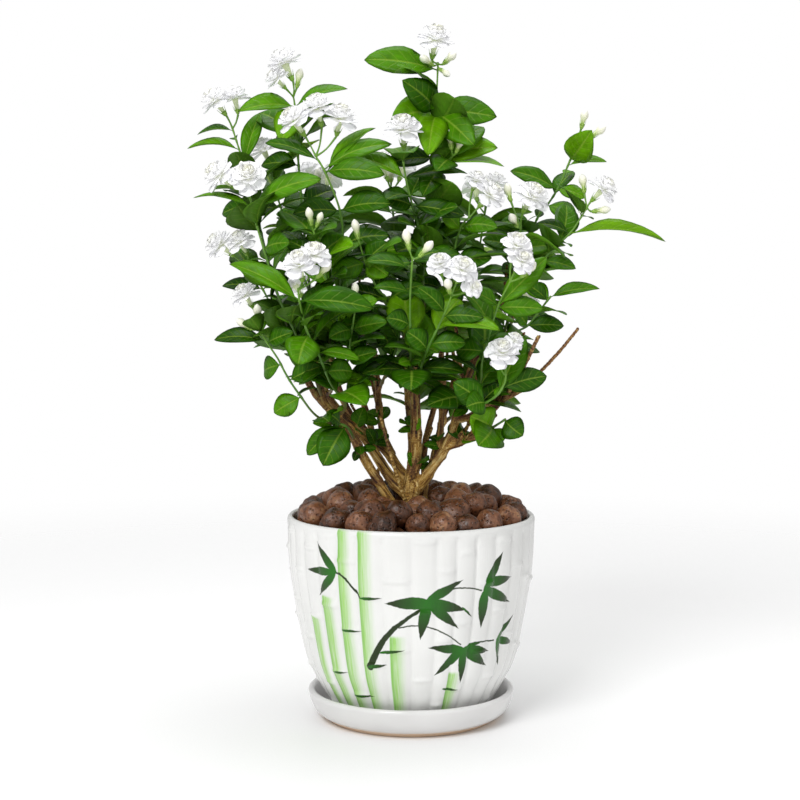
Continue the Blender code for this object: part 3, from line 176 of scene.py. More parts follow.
def seen(px, py, depth):
    """The point that the photograph shows at a pixel, this many mm behind the pot's axis."""
    ray = FORWARD + RIGHT * ((px - CENTRE_PX) / FOCAL_PX) + UPWARD * ((CENTRE_PX - py) / FOCAL_PX)
    return EYE + ray * ((depth * MM - EYE.y) / ray.y)


def photo_place(point):
    """The pixel column and row where the photograph shows a point."""
    ray = point - EYE
    depth = ray.dot(FORWARD)
    return (CENTRE_PX + FOCAL_PX * ray.dot(RIGHT) / depth, CENTRE_PX - FOCAL_PX * ray.dot(UPWARD) / depth)

# %% The branches, shoots and outline
# Brown branches: pixel column, pixel row, depth in mm, radius in mm.
BRANCHES = {
    "foot": [(411, 541, 0, 5.8), (411, 505, 0, 5.6), (410.5, 487, 0, 5.6)],
    "a": [(408, 530, -2, 3.6), (390, 501, -6, 3.5), (376, 478, -10, 3.3), (363, 456, -14, 3.2),
          (353, 437, -16, 3.0), (338, 418, -18, 2.8), (322, 402, -20, 2.6), (309, 384, -22, 2.4)],
    "b": [(409, 494, 0, 4.2), (399, 487, 2, 4.0), (388, 474, 4, 3.8), (378, 458, 6, 3.6),
          (366, 440, 8, 3.3), (350, 422, 10, 3.0), (334, 405, 14, 2.8), (322, 385, 18, 2.6),
          (314, 360, 22, 2.4)],
    "c": [(408, 480, 4, 3.4), (400, 470, 8, 3.3), (390, 456, 12, 3.1), (376, 442, 18, 2.9),
          (360, 428, 24, 2.7), (348, 410, 30, 2.5), (338, 385, 36, 2.3), (330, 350, 42, 2.1)],
    "d": [(391, 455, 14, 2.8), (384, 436, 22, 2.7), (380, 415, 26, 2.5), (378, 392, 30, 2.3),
          (376, 365, 34, 2.1), (372, 335, 38, 2.0)],
    "e": [(410.5, 490, 0, 4.8), (412, 476, -1, 4.6), (415.5, 455, -2, 4.3), (416, 430, -3, 3.9),
          (415.5, 405, -4, 3.4), (414, 380, -6, 2.9), (413, 350, -8, 2.4), (412, 322, -10, 2.0)],
    "f": [(415, 525, 2, 2.8), (424, 512, 4, 2.7), (424, 494, 5, 2.6), (425, 478, 8, 2.5),
          (424, 455, 12, 2.4), (428, 430, 16, 2.2), (434, 408, 20, 2.1), (438, 385, 24, 1.9),
          (441, 355, 30, 1.8)],
    "g": [(411, 492, 0, 4.0), (421, 484, -2, 3.8), (432, 468, -5, 3.6), (444, 451, -8, 3.3),
          (452, 432, -10, 3.0), (458, 410, -12, 2.7), (466, 385, -16, 2.4), (474, 360, -20, 2.2)],
    "h": [(438, 460, -6, 2.4), (440, 440, -2, 2.3), (441.5, 413, 2, 2.1), (440, 389, 6, 1.9),
          (441, 365, 8, 1.8)],
    "i": [(446, 448, -8, 1.7), (458, 445, -14, 1.6), (468, 441, -20, 1.4), (480, 436, -28, 1.2)],
    "j": [(441, 456, -6, 2.8), (452, 436, 10, 2.7), (463, 412, 22, 2.4), (478, 388, 34, 2.2),
          (494, 362, 44, 2.0), (508, 335, 52, 1.8)],
    "k": [(458, 420, -11, 2.0), (466, 418, -14, 2.0), (487, 408, -20, 2.0), (506, 398, -26, 2.0),
          (525.4, 387.6, -32, 2.0)],
    "l": [(376, 442, 18, 2.4), (370, 425, 40, 2.3), (362, 395, 56, 2.1), (358, 360, 66, 1.9)],
    "m": [(432, 468, -4, 2.6), (436, 445, 28, 2.4), (444, 415, 52, 2.1), (454, 380, 66, 1.9)],
    "n": [(412, 470, 0, 2.6), (411, 440, 26, 2.4), (408, 405, 46, 2.1), (405, 365, 58, 1.9)],
}

# Green shoots. "at" is the branch and the share of its length where the shoot leaves it, "route"
# and "fork" are column, row, depth, "blooms" add the diameter in mm, and each leaf is the row where
# it leaves the stem, then its tip's column, row and depth, its width in mm, and how far its face
# turns from the sky (0) to the viewer (90).
SHOOTS = {
    "crown": dict(
        at=("e", 1.0), radius=1.5,
        route=[(418, 290, -8), (425, 250, -4), (431, 205, 0), (434, 160, 2), (435.5, 110, 2), (437, 87, 0)],
        fork=(438, 62, -2), blooms=[(435, 41, -6, 25)],
        buds=[(456, 52, -14), (420, 56, -14), (450, 76, -8)],
        leaves=[(70, 364, 60, -8, 19, 50), (109, 497, 117, -10, 19, 60), (109, 402, 80, -25, 19, 70),
                (112, 391, 120, -20, 20, 60), (112, 475, 146, -30, 20, 75), (114, 428, 156, -35, 19, 80),
                (158, 498, 148, -8, 20, 45), (158, 385, 165, -5, 14, 50), (200, 402, 188, 22, 16, 40),
                (240, 462, 226, 8, 16, 40)],
        side=dict(at=175, route=[(446, 163, -12)], fork=(454, 155, -18),
                  buds=[(449, 129, -20), (462, 138, -22)]),
    ),
    "sail_left": dict(
        at=("b", 1.0), radius=1.4,
        route=[(312, 320, 20), (308, 270, 18), (303, 220, 14), (299, 170, 10), (296, 130, 8), (295, 107, 8)],
        fork=(293, 95, 6), blooms=[(285, 64, 2, 24), (277, 80, 0, 17)], buds=[(301, 68, 4)],
        leaves=[(107, 238, 112, 0, 16, 35), (107, 348, 89, 10, 14, 15), (110, 281, 142, -18, 18, 70),
                (165, 262, 160, 24, 16, 40), (205, 335, 190, 26, 18, 40)],
    ),
    "high_left": dict(
        at=("a", 1.0), radius=1.4,
        route=[(296, 350, -18), (282, 310, -10), (268, 260, -4), (256, 210, 2), (247, 175, 6), (241, 155, 8)],
        fork=(232, 127, 8), blooms=[(216, 102, 4, 22), (235, 99, 8, 20)], buds=[],
        leaves=[(131, 197, 135, 10, 9, 15), (150, 187, 149, 4, 10, 15), (165, 260, 113, 22, 12, 30),
                (205, 222, 214, 12, 14, 40)],
    ),
    "pair_left": dict(
        at=("a", 0.85), radius=1.3,
        route=[(296, 335, -40), (280, 300, -45), (264, 250, -45), (254, 215, -42)],
        fork=(250, 197, -40), blooms=[(221, 177, -42, 24), (258, 180, -52, 25)], buds=[(241, 161, -34)],
        leaves=[(207, 193, 198, -30, 10, 10), (207, 322, 179, -60, 17, 40), (250, 290, 243, -60, 15, 50),
                (285, 236, 263, -52, 14, 45)],
    ),
    "twins_left": dict(
        at=("b", 0.8), radius=1.4,
        route=[(330, 340, -5), (340, 290, -15), (343, 245, -22), (340, 211, -28), (326, 174, -32)],
        fork=(315, 155, -34), blooms=[(318, 109, -32, 23), (295, 122, -38, 23), (341, 120, -36, 23)], buds=[],
        leaves=[(173, 385, 175, -45, 16, 50), (162, 265, 143, -20, 10, 30), (171, 392, 144, -28, 15, 30),
                (175, 376, 128, -10, 10, 20), (211, 392, 204, -40, 15, 45), (211, 293, 214, -36, 15, 50),
                (245, 390, 236, -30, 17, 45), (245, 306, 236, -34, 17, 50)],
    ),
    "back_left_top": dict(
        at=("c", 1.0), radius=1.2,
        route=[(312, 300, 44), (294, 250, 40), (280, 205, 34)],
        fork=(270, 175, 28), blooms=[(264, 151, 22, 21)], buds=[(281, 160, 22)],
        leaves=[(208, 246, 214, 40, 15, 35), (208, 312, 200, 44, 15, 35)],
    ),
    "mid_left": dict(
        at=("a", 0.95), radius=1.2,
        route=[(292, 345, -2), (276, 315, 0), (262, 288, 0)],
        fork=(247, 265, -4), blooms=[(221, 246, -6, 22), (241, 243, -8, 20)], buds=[],
        leaves=[(290, 222, 286, 6, 12, 30), (290, 288, 272, 10, 14, 40)],
    ),
    "front_left": dict(
        at=("a", 0.75), radius=1.4,
        route=[(345, 404, -38), (331, 384, -52), (318, 353, -64), (307, 331, -72), (299.5, 301, -80)],
        fork=(298, 288, -82), blooms=[(300, 266, -86, 23), (314, 257, -84, 22)], buds=[(331, 262, -80)],
        leaves=[(301, 229, 264, -70, 13, 40), (301, 374, 309, -85, 16, 50), (353, 360, 360, -68, 9, 30),
                (334, 298, 365, -84, 20, 72), (372, 353, 372, -48, 15, 60)],
    ),
    "low_left": dict(
        at=("a", 0.7), radius=1.2,
        route=[(318, 417, -34), (299, 394, -40), (287, 376, -42), (278, 359, -44), (266, 341, -46)],
        fork=(258, 327, -46), blooms=[(246, 296, -48, 19)], buds=[(257, 304, -56), (236, 319, -46)],
        leaves=[(341, 214, 340, -40, 11, 40), (342, 294, 332, -56, 12, 50), (365, 264, 371, -30, 14, 60),
                (397, 274, 413, -38, 14, 50), (380, 322, 366, -44, 13, 55)],
    ),
    "bud_left": dict(
        at=("c", 0.9), radius=1.2,
        route=[(340, 340, -20), (330, 290, -40), (320, 255, -48)],
        fork=(313, 229, -50), blooms=[], buds=[(308, 207, -52), (322, 212, -50)],
        leaves=[(312, 357, 306, -38, 14, 50), (255, 345, 236, -56, 15, 50), (300, 300, 308, -30, 12, 40)],
    ),
    "centre_buds": dict(
        at=("e", 0.75), radius=1.3,
        route=[(411, 372, -40), (410.6, 356, -50), (410, 310, -66), (411, 280, -72)],
        fork=(412.6, 257, -76), blooms=[], buds=[(405, 229, -78), (433, 241, -80)],
        leaves=[(361, 398.5, 363.5, -56, 8, 50), (361, 422, 361, -56, 8, 50), (292, 373, 288, -72, 9, 35),
                (292, 438, 300, -60, 10, 45), (373, 411, 391, -74, 23, 60), (262, 384, 268, -66, 12, 45),
                (262, 440, 252, -64, 12, 40), (325, 386, 318, -66, 13, 50)],
    ),
    "front_centre": dict(
        at=("e", 0.65), radius=1.4,
        route=[(419, 378, -34), (423, 361, -48), (430.5, 342.5, -60), (439.7, 324, -68), (447, 308, -76)],
        fork=(452, 294, -80), blooms=[(461, 271, -88, 21), (440, 265, -88, 17), (472, 288, -88, 14)],
        buds=[(447, 279, -96)],
        leaves=[(313, 417, 287, -80, 11, 50), (316, 484, 318, -78, 12, 55), (345, 466, 343, -62, 13, 55),
                (350, 404, 331, -60, 14, 50)],
    ),
    "front_right": dict(
        at=("g", 0.75), radius=1.3,
        route=[(470, 400, -30), (479, 385, -42), (483, 358, -52), (490, 333, -62), (498, 306, -70)],
        fork=(511, 280, -78), blooms=[(516, 247, -84, 21), (521, 262, -88, 18)], buds=[(536, 262, -84)],
        leaves=[(306, 547, 257, -66, 14, 60), (308, 544, 309, -75, 13, 55), (306, 466, 290, -80, 10, 45),
                (350, 522, 344, -60, 16, 60), (352, 456, 350, -44, 14, 55)],
    ),
    "low_right": dict(
        at=("g", 0.7), radius=1.2,
        route=[(480, 404, -50), (496, 396, -62), (505, 382, -68)],
        fork=(506, 374, -70), blooms=[(502, 354, -76, 22), (514, 341, -72, 13)], buds=[],
        leaves=[(384, 547, 376, -60, 14, 60), (388, 524, 335, -52, 16, 60), (398, 453, 382, -58, 16, 60),
                (398, 466, 407, -66, 15, 60)],
    ),
    "inner_right": dict(
        at=("h", 1.0), radius=1.2,
        route=[(447, 320, 0), (452, 280, -8), (455, 248, -14), (462, 225, -20)],
        fork=(470, 217, -24), blooms=[(489, 196, -28, 22), (476, 181, -24, 15)], buds=[],
        leaves=[(230, 440, 210, -22, 12, 40), (228, 498, 228, -30, 15, 40), (262, 418, 252, -8, 15, 45),
                (262, 492, 258, -20, 15, 45)],
    ),
    "top_right": dict(
        at=("j", 0.85), radius=1.2,
        route=[(515, 290, 30), (518, 250, 5)],
        fork=(521, 226, -10), blooms=[(531, 198, -20, 24)], buds=[(510, 214, -22), (506, 183, 2)],
        leaves=[(252, 482, 240, 0, 14, 40), (252, 552, 246, 8, 14, 40)],
    ),
    "reach_right": dict(
        at=("j", 0.8), radius=1.3,
        route=[(505, 330, 10), (520, 295, 5), (538, 268, 0), (552, 250, -4), (571, 232, -8)],
        fork=(588, 206, -10), blooms=[(602, 190, -12, 21)],
        buds=[(582, 174, -2), (611, 209, -12), (578, 212, -12)],
        leaves=[(234, 666, 242, -6, 12, 25), (234, 535, 224, 0, 9, 30), (262, 576, 269, -8, 11, 40),
                (285, 548, 300, -12, 12, 45)],
    ),
    "spire_right": dict(
        at=("j", 1.0), radius=1.3,
        route=[(520, 290, 48), (527, 250, 42), (537, 219, 34), (548, 204, 30), (558, 188, 24),
               (571, 158, 20)],
        fork=(577, 140, 16), blooms=[], buds=[(586, 109, 14), (606, 126, 14)],
        leaves=[(188, 510, 171, 15, 13, 40), (188, 585, 198, 20, 11, 40), (165, 607, 162, 18, 9, 20),
                (160, 592, 130, -6, 18, 70), (206, 577, 219, 22, 13, 40), (230, 500, 222, 40, 13, 40)],
    ),
    "tail_right": dict(
        at=("g", 1.0), radius=1.2,
        route=[(488, 345, -22), (508, 335, -24), (527, 326, -26), (540, 310, -28)],
        fork=(551, 296, -30), blooms=[], buds=[],
        leaves=[(298, 600, 289, -30, 10, 30), (300, 521, 282, -32, 10, 40), (325, 564, 326, -28, 12, 45),
                (325, 510, 308, -36, 12, 45)],
    ),
    "round_right": dict(
        at=("i", 1.0), radius=1.1,
        route=[(492, 428, -34)],
        fork=(506, 419, -36), blooms=[], buds=[],
        leaves=[(434, 478, 446, -62, 22, 72), (430, 500, 445, -44, 13, 60), (420, 523, 436, -44, 15, 72),
                (428, 470, 416, -50, 20, 72)],
    ),
    "cut_right": dict(
        at=("k", 0.55), radius=1.0,
        route=[(500, 392, -28)],
        fork=(510, 384, -34), blooms=[], buds=[],
        leaves=[(388, 522, 366, -40, 10, 60), (390, 496, 372, -30, 11, 60), (386, 532, 388, -36, 9, 50)],
    ),
    "bottom_left": dict(
        at=("a", 0.55), radius=1.1,
        route=[(348, 428, -28)],
        fork=(340, 424, -34), blooms=[], buds=[],
        leaves=[(428, 323, 466, -40, 20, 72), (426, 307, 455, -24, 12, 50), (424, 326, 412, -50, 10, 50)],
    ),
    "branch_left": dict(
        at=("b", 0.75), radius=1.2,
        route=[(345, 370, -40), (352, 330, -54)],
        fork=(356, 304, -60), blooms=[], buds=[(355, 282, -62)],
        leaves=[(330, 329, 338, -66, 13, 55), (330, 388, 322, -66, 13, 50), (378, 372, 385, -50, 9, 50),
                (308, 336, 292, -64, 10, 45), (308, 378, 300, -64, 10, 45), (360, 378, 352, -58, 12, 50)],
    ),
    "centre_left": dict(
        at=("d", 0.55), radius=1.3,
        route=[(399, 338, -20), (389, 302, -32), (378, 290, -36), (368, 268, -40)],
        fork=(364, 259, -42), blooms=[], buds=[(354, 219, -45)],
        leaves=[(262, 331, 275, -48, 15, 50), (262, 388, 276, -48, 15, 60), (262, 388, 242, -46, 13, 50),
                (300, 346, 288, -26, 13, 45), (300, 424, 285, -36, 12, 45)],
    ),
    "centre_bloom": dict(
        at=("e", 0.9), radius=1.3,
        route=[(421, 290, -16), (424, 250, -22), (412.5, 206, -24), (406, 179, -28)],
        fork=(403, 160, -30), blooms=[(403, 131, -32, 25)], buds=[],
        leaves=[(206, 378, 198, -36, 16, 50), (206, 465, 216, -30, 12, 50), (179, 468, 174, -20, 11, 30),
                (179, 350, 158, -12, 14, 30), (250, 378, 252, -34, 16, 50), (250, 466, 268, -36, 14, 50)],
    ),
    "rear_left": dict(
        at=("l", 1.0), radius=1.3,
        route=[(345, 310, 84), (330, 260, 92), (322, 218, 90)],
        fork=(318, 200, 88), blooms=[(308, 176, 92, 23), (328, 178, 98, 22)], buds=[(318, 168, 78)],
        leaves=[(222, 276, 214, 100, 16, 25), (222, 368, 222, 96, 16, 25), (265, 296, 262, 118, 17, 10),
                (265, 372, 262, 120, 16, 10), (222, 322, 232, 140, 17, 0), (300, 326, 296, 134, 17, 0)],
    ),
    "rear_left_low": dict(
        at=("l", 0.6), radius=1.2,
        route=[(345, 372, 82), (325, 338, 100)],
        fork=(308, 308, 110), blooms=[(296, 286, 116, 22)], buds=[(312, 286, 112)],
        leaves=[(340, 286, 348, 128, 16, 10), (340, 352, 332, 142, 16, 0), (312, 262, 304, 112, 14, 20),
                (362, 330, 376, 128, 16, 0)],
    ),
    "rear_centre": dict(
        at=("n", 1.0), radius=1.3,
        route=[(402, 310, 72), (396, 250, 76), (393, 212, 72)],
        fork=(391, 190, 66), blooms=[(384, 166, 66, 23), (402, 170, 76, 21)], buds=[(391, 166, 50)],
        leaves=[(215, 352, 206, 92, 16, 20), (215, 432, 212, 88, 16, 20), (255, 390, 256, 124, 17, 0),
                (255, 440, 246, 100, 15, 20), (295, 360, 290, 108, 16, 10), (295, 426, 292, 118, 16, 0)],
    ),
    "rear_right": dict(
        at=("m", 1.0), radius=1.3,
        route=[(466, 320, 84), (476, 270, 92), (482, 232, 90)],
        fork=(485, 212, 86), blooms=[(494, 186, 88, 22), (476, 190, 96, 21)], buds=[(486, 178, 76)],
        leaves=[(236, 442, 230, 104, 16, 20), (236, 530, 232, 96, 16, 20), (275, 478, 276, 140, 17, 0),
                (275, 520, 280, 110, 16, 15), (315, 432, 312, 110, 16, 10), (315, 500, 322, 120, 16, 5)],
    ),
    "rear_right_low": dict(
        at=("m", 0.6), radius=1.2,
        route=[(476, 388, 84), (498, 352, 100)],
        fork=(514, 318, 110), blooms=[(526, 296, 116, 22)], buds=[(509, 296, 114)],
        leaves=[(352, 540, 352, 112, 15, 20), (352, 484, 350, 142, 16, 0), (322, 552, 318, 118, 14, 20),
                (375, 500, 392, 122, 16, 0)],
    ),
    "rear_low": dict(
        at=("n", 0.55), radius=1.2,
        route=[(416, 388, 84), (424, 348, 104)],
        fork=(427, 312, 114), blooms=[(428, 290, 126, 23)], buds=[(416, 290, 108)],
        leaves=[(350, 384, 346, 124, 16, 10), (350, 462, 352, 124, 16, 10), (318, 396, 312, 132, 14, 10),
                (382, 420, 396, 136, 16, 0)],
    ),
    "inner_back": dict(
        at=("f", 1.0), radius=1.2,
        route=[(446, 322, 38), (444, 280, 46)],
        fork=(440, 244, 48), blooms=[], buds=[(440, 224, 48)],
        leaves=[(250, 408, 240, 40, 15, 30), (250, 474, 246, 40, 15, 30), (290, 486, 292, 46, 16, 30),
                (290, 406, 286, 58, 16, 20), (325, 480, 330, 50, 16, 30)],
    ),
}

# The foliage's outline in the photograph, which the small extra leaves stay inside, and round
# places between the stems that they leave open: column, row, radius.
OUTLINE = [
    (325, 425), (280, 412), (296, 385), (265, 378), (255, 352), (218, 342), (232, 325), (232, 300),
    (236, 262), (212, 250), (240, 225), (228, 205), (200, 200), (206, 175), (192, 150), (196, 130),
    (214, 110), (240, 100), (270, 80), (300, 80), (345, 92), (380, 108), (390, 85), (372, 66), (430, 55),
    (444, 80), (496, 105), (497, 160), (520, 168), (556, 178), (566, 145), (600, 130), (604, 165),
    (600, 210), (655, 240), (600, 245), (570, 262), (595, 290), (565, 325), (545, 322), (528, 345),
    (545, 372), (522, 400), (522, 430), (500, 440), (478, 440), (455, 420), (436, 410), (400, 405),
    (370, 408), (350, 425),
]
OPEN_PLACES = [(392, 425, 26), (432, 440, 16), (520, 312, 12), (530, 236, 10), (470, 172, 10), (372, 128, 12),
               (340, 396, 10), (478, 420, 12), (555, 212, 12)]


# %% [markdown]
# ## Routes
# A branch is a smooth curve through a few knots. A Catmull-Rom curve passes through every knot, which a
# Bezier curve does only with handles to look after, so it suits knots that were read off a photograph.
# The green stems are then pushed apart, step by step, until each has room: the same sweeps as in the
# solids, because the result has to be the same.

# %% Routes through the knots
ROUTE_STEP = 4 * MM
STEM_STEP = 7
STUB_STEPS = 2
TOUCH_GAP = 0.35 * MM
SOIL_HOLE_FLOOR = 90 * MM


def xyz(point):
    return Vector(point[:3])


def knot(px, py, depth, radius):
    """A point of a route: its place, with the stem's radius as a fourth number."""
    place = seen(px, py, depth)
    return Vector((place.x, place.y, place.z, radius * MM))


def smooth(knots, spacing=ROUTE_STEP):
    """Points about this far apart on a Catmull-Rom curve through the knots."""
    ends = [knots[0] * 2 - knots[1]] + list(knots) + [knots[-1] * 2 - knots[-2]]
    points = []
    for before, start, end, after in zip(ends, ends[1:], ends[2:], ends[3:]):
        steps = max(1, round((xyz(end) - xyz(start)).length / spacing))
        for step in range(steps):
            t = step / steps
            points.append(
                start
                + (end - before) * (0.5 * t)
                + (before * 2 - start * 5 + end * 4 - after) * (0.5 * t * t)
                + (start * 3 - before - end * 3 + after) * (0.5 * t * t * t)
            )
    return points + [knots[-1].copy()]


def along(route, share):
    """The index of the point at this share of a route's length."""
    return min(len(route) - 1, round(share * (len(route) - 1)))


def thinned(route, step=STEM_STEP, first=1):
    """Every few points of a route, with both its ends: the corners of the stem's solid."""
    inner = list(range(first, len(route) - 1, step))
    if len(inner) > 1 and len(route) - 1 - inner[-1] < 2:
        inner.pop()
    return [route[0]] + [route[i] for i in inner] + [route[-1]]


def stem_route(start, places, radius, tip_radius=0.9):
    """A green stem's route from a point on its branch through the places seen in the photograph."""
    knots = [Vector((*xyz(start), radius * MM))]
    for i, place in enumerate(places):
        share = (i + 1) / len(places)
        knots.append(knot(*place, radius + (tip_radius - radius) * share))
    return smooth(knots)


wood = {name: smooth([knot(*k) for k in knots]) for name, knots in BRANCHES.items()}
wood["foot"].insert(0, Vector((0.0, 0.0, SOIL_HOLE_FLOOR + TOUCH_GAP, BRANCHES["foot"][0][3] * MM)))
stems = {}
for name, shoot in SHOOTS.items():
    branch, share = shoot["at"]
    start = wood[branch][along(wood[branch], share)]
    stems[name] = stem_route(start, shoot["route"] + [shoot["fork"]], shoot["radius"])
print(len(wood), "branches and", len(stems), "green stems")

# %% Push the green stems apart
ROUTE_CLEAR = 1.5 * MM
BEND_SWEEPS = 24
BEND_REACH = 10 * MM
BEND_SHARED = 7
BEND_EASE = 0.5
HELD_STEPS = 4
SAME_PLACE = 0.3 * MM
SIDESTEP = 0.4
SHORT_AT_MOST = 0.2 * MM


def spread(route, pushes):
    """Moves a route by the pushes on it, each shared with the points near it and none on its root."""
    moved = []
    for k in range(len(route)):
        total = Vector()
        weight = 0.0
        for j in range(max(0, k - BEND_SHARED), min(len(route), k + BEND_SHARED + 1)):
            if pushes[j].length_squared > 0:
                share = 1 - abs(j - k) / (BEND_SHARED + 1)
                total += pushes[j] * share
                weight += share
        hold = min(1.0, max(0, k - STUB_STEPS) / HELD_STEPS)
        shift = total * (BEND_EASE * hold / max(weight, 1.0))
        moved.append(route[k] + Vector((*shift, 0.0)))
    route[:] = moved


def push_on(name, k, here, near, labels):
    """How far the routes near a point of a stem push it, and the most that one of them asks for."""
    push = Vector()
    worst = 0.0
    for place, index, distance in near:
        owner, other, point = labels[index]
        if owner == name or (owner != "wood" and other <= STUB_STEPS and k <= STUB_STEPS):
            continue
        short = here.w + point.w + ROUTE_CLEAR - distance
        if short <= 0:
            continue
        way = xyz(here) - place
        way = way.normalized() if distance > SAME_PLACE else TOWARD.copy()
        if way.dot(TOWARD) * xyz(here).dot(TOWARD) > 0:
            way += TOWARD * (SIDESTEP if here.y < 0 else -SIDESTEP)
        push += way.normalized() * short
        worst = max(worst, short)
    return push, worst


for sweep in range(BEND_SWEEPS):
    labels = [("wood", k, point) for route in wood.values() for k, point in enumerate(route)]
    labels += [(name, k, point) for name, route in stems.items() for k, point in enumerate(route)]
    tree = tree_of([xyz(point) for owner, k, point in labels])
    worst = 0.0
    for name, route in stems.items():
        pushes = [Vector() for _ in route]
        for k in range(STUB_STEPS + 1, len(route)):
            near = tree.find_range(xyz(route[k]), BEND_REACH)
            pushes[k], short = push_on(name, k, route[k], near, labels)
            worst = max(worst, short)
        spread(route, pushes)
    if worst < SHORT_AT_MOST:
        break
print(f"stems bent in {sweep + 1} sweeps, {worst / MM:.2f} mm short at worst")

# %% Part each stem into its brown stub and its green length
STUB_FLARE = 0.3 * MM
stubs = {}
for name, route in stems.items():
    last = STUB_STEPS + 1
    for index in range(1, last):
        route[index] = route[0] + (route[last] - route[0]) * (index / last)
    onward = (xyz(route[last]) - xyz(route[STUB_STEPS])).normalized()
    start = route[STUB_STEPS] + Vector((*(onward * TOUCH_GAP), 0.0))
    stubs[name] = [route[0].copy(), route[STUB_STEPS].copy()]
    stubs[name][0].w += STUB_FLARE
    stems[name] = [start] + route[last:]
coarse = {name: thinned(route) for name, route in stems.items()}

# %% [markdown]
# ## Which turn each leaf took
# In the solids a leaf is turned, tilted or shortened until it crosses nothing, and a bud or a bloom is
# moved a little. Those tests are slow. But every leaf, bud and bloom ends in a point that is a corner of
# its solid, so here the same list of turns is tried against the corners of the loaded solid, and the one
# whose tip is there is the one that was built. A k-d tree makes each look-up quick.

# %% The turns that a leaf may take
# Turns, tilts and sizes that bring a leaf clear of the others: degrees, degrees, share.
PLAIN_TURNS = 7
VARIANTS = [
    (0, 0, 1.0), (10, 0, 1.0), (-10, 0, 1.0), (0, 8, 1.0), (0, -8, 1.0), (18, 0, 1.0), (-18, 0, 1.0),
    (0, 0, 0.85), (14, 8, 0.9), (-14, 8, 0.9), (14, -8, 0.9), (-14, -8, 0.9), (30, 0, 0.9),
    (-30, 0, 0.9), (0, 18, 0.85), (0, -18, 0.85), (30, 12, 0.8), (-30, 12, 0.8), (45, 0, 0.8),
    (-45, 0, 0.8), (0, 0, 0.7), (20, 16, 0.7), (-20, 16, 0.7), (60, 5, 0.75), (-60, 5, 0.75),
    (0, 30, 0.7), (0, 0, 0.55), (35, 20, 0.6), (-35, 20, 0.6), (80, 10, 0.65), (-80, 10, 0.65),
]


def turned_leaf(base, tip, width, face, arch, variant):
    """A leaf turned about the upright through its base, tilted and made smaller."""
    yaw, pitch, size = variant
    way = tip - base
    cos_yaw, sin_yaw = math.cos(math.radians(yaw)), math.sin(math.radians(yaw))
    way = Vector((way.x * cos_yaw - way.y * sin_yaw, way.x * sin_yaw + way.y * cos_yaw, way.z))
    way.z += way.length * math.tan(math.radians(pitch))
    way = way.normalized() * ((tip - base).length * size)
    return base, base + way, width * (0.5 + 0.5 * size), face, arch


print(len(VARIANTS), "turns to try for a leaf, the first", PLAIN_TURNS, "for a filling one")

# %% Helpers that find what was built
TIP_MATCH = 0.1 * MM
BUD_LENGTH = 14 * MM
BUD_TRIES = 9
BUD_OUT = 1.4 * MM
BUD_UP = 0.7 * MM
BUD_RISE = 0.2
BUD_STALK = 3 * MM
STALK_INSET = 1.2
BLOOM_PULLS = 14
BLOOM_PULL = 0.05
BLOOM_OUT = 0.35
BLOOM_RISE = 0.3
BLOOM_TOWARD = 0.3
BLOOM_TOP = 9 * MM
BLOOM_FULL = 12.5 * MM


def corners_of(node):
    """A k-d tree of the corners of a solid."""
    return tree_of([vertex.co for vertex in frame["nodes"][node].data.vertices])


def first_built(tries, corners):
    """The first try, a (tip, what) pair, whose tip is a corner of the solid."""
    return next((what for tip, what in tries if corners.find(tip)[2] < TIP_MATCH), None)


def outward(point):
    """The level direction away from the plant's middle."""
    way = Vector((point.x, point.y, 0.0))
    return way.normalized() if way.length > 1 * MM else TOWARD.copy()


def at_row(points, row):
    """The place on a stem where the photograph shows it at a pixel row, or its nearest end."""
    rows = [photo_place(xyz(point))[1] for point in points]
    for low, high, before, here in zip(rows[1:], rows[2:], points[1:], points[2:]):
        if (low - row) * (high - row) <= 0 and low != high:
            return xyz(before).lerp(xyz(here), (row - low) / (high - low))
    near = min(range(1, len(points)), key=lambda i: abs(rows[i] - row))
    return xyz(points[near]).lerp(xyz(points[near - 1]), 0.08)


def stem_end(stem):
    """A place STALK_INSET mm inside a stem's end, where its stalks begin."""
    return xyz(stem[-1]) + (xyz(stem[-2]) - xyz(stem[-1])).normalized() * STALK_INSET * MM


def built_leaf(leaf, corners, variants=VARIANTS):
    turns = [turned_leaf(*leaf, variant) for variant in variants]
    return first_built([(turn[1], turn) for turn in turns], corners)


def built_bud(start, top, corners):
    """A bud's foot, axis and size."""
    tries = []
    for push in range(BUD_TRIES):
        tip = top + outward(top) * (push * BUD_OUT) + UP * (push * BUD_UP)
        axis = ((tip - start).normalized() + UP * BUD_RISE).normalized()
        size = min(1.0, (tip - start).length / (BUD_LENGTH + BUD_STALK))
        tries.append((tip, (tip - axis * (BUD_LENGTH * size), axis, size)))
    return first_built(tries, corners)


def built_blooms(shoot, fork, corners):
    """A shoot's blooms as (centre, axis, radius), each drawn towards the one before it as it was built."""
    blooms = []
    for px, py, depth, diameter in shoot["blooms"]:
        centre = seen(px, py, depth)
        radius = diameter / 2 * MM
        axis = (centre - fork).normalized() + outward(fork) * BLOOM_OUT + UP * BLOOM_RISE
        if fork.y < 0:
            axis += TOWARD * BLOOM_TOWARD
        axis.normalize()
        tries = []
        near = min((bloom[0] for bloom in blooms), key=lambda place: (place - centre).length, default=None)
        for _ in range(BLOOM_PULLS + 1 if blooms else 1):
            tries.append((centre + axis * (BLOOM_TOP * radius / BLOOM_FULL), (centre, axis, radius)))
            centre = centre.lerp(near, BLOOM_PULL) if blooms else centre
        found = first_built(tries, corners)
        if not found:
            print("the tip of a bloom at", (px, py), "is hidden in another")
        blooms.append(found or tries[0][1])
    return blooms

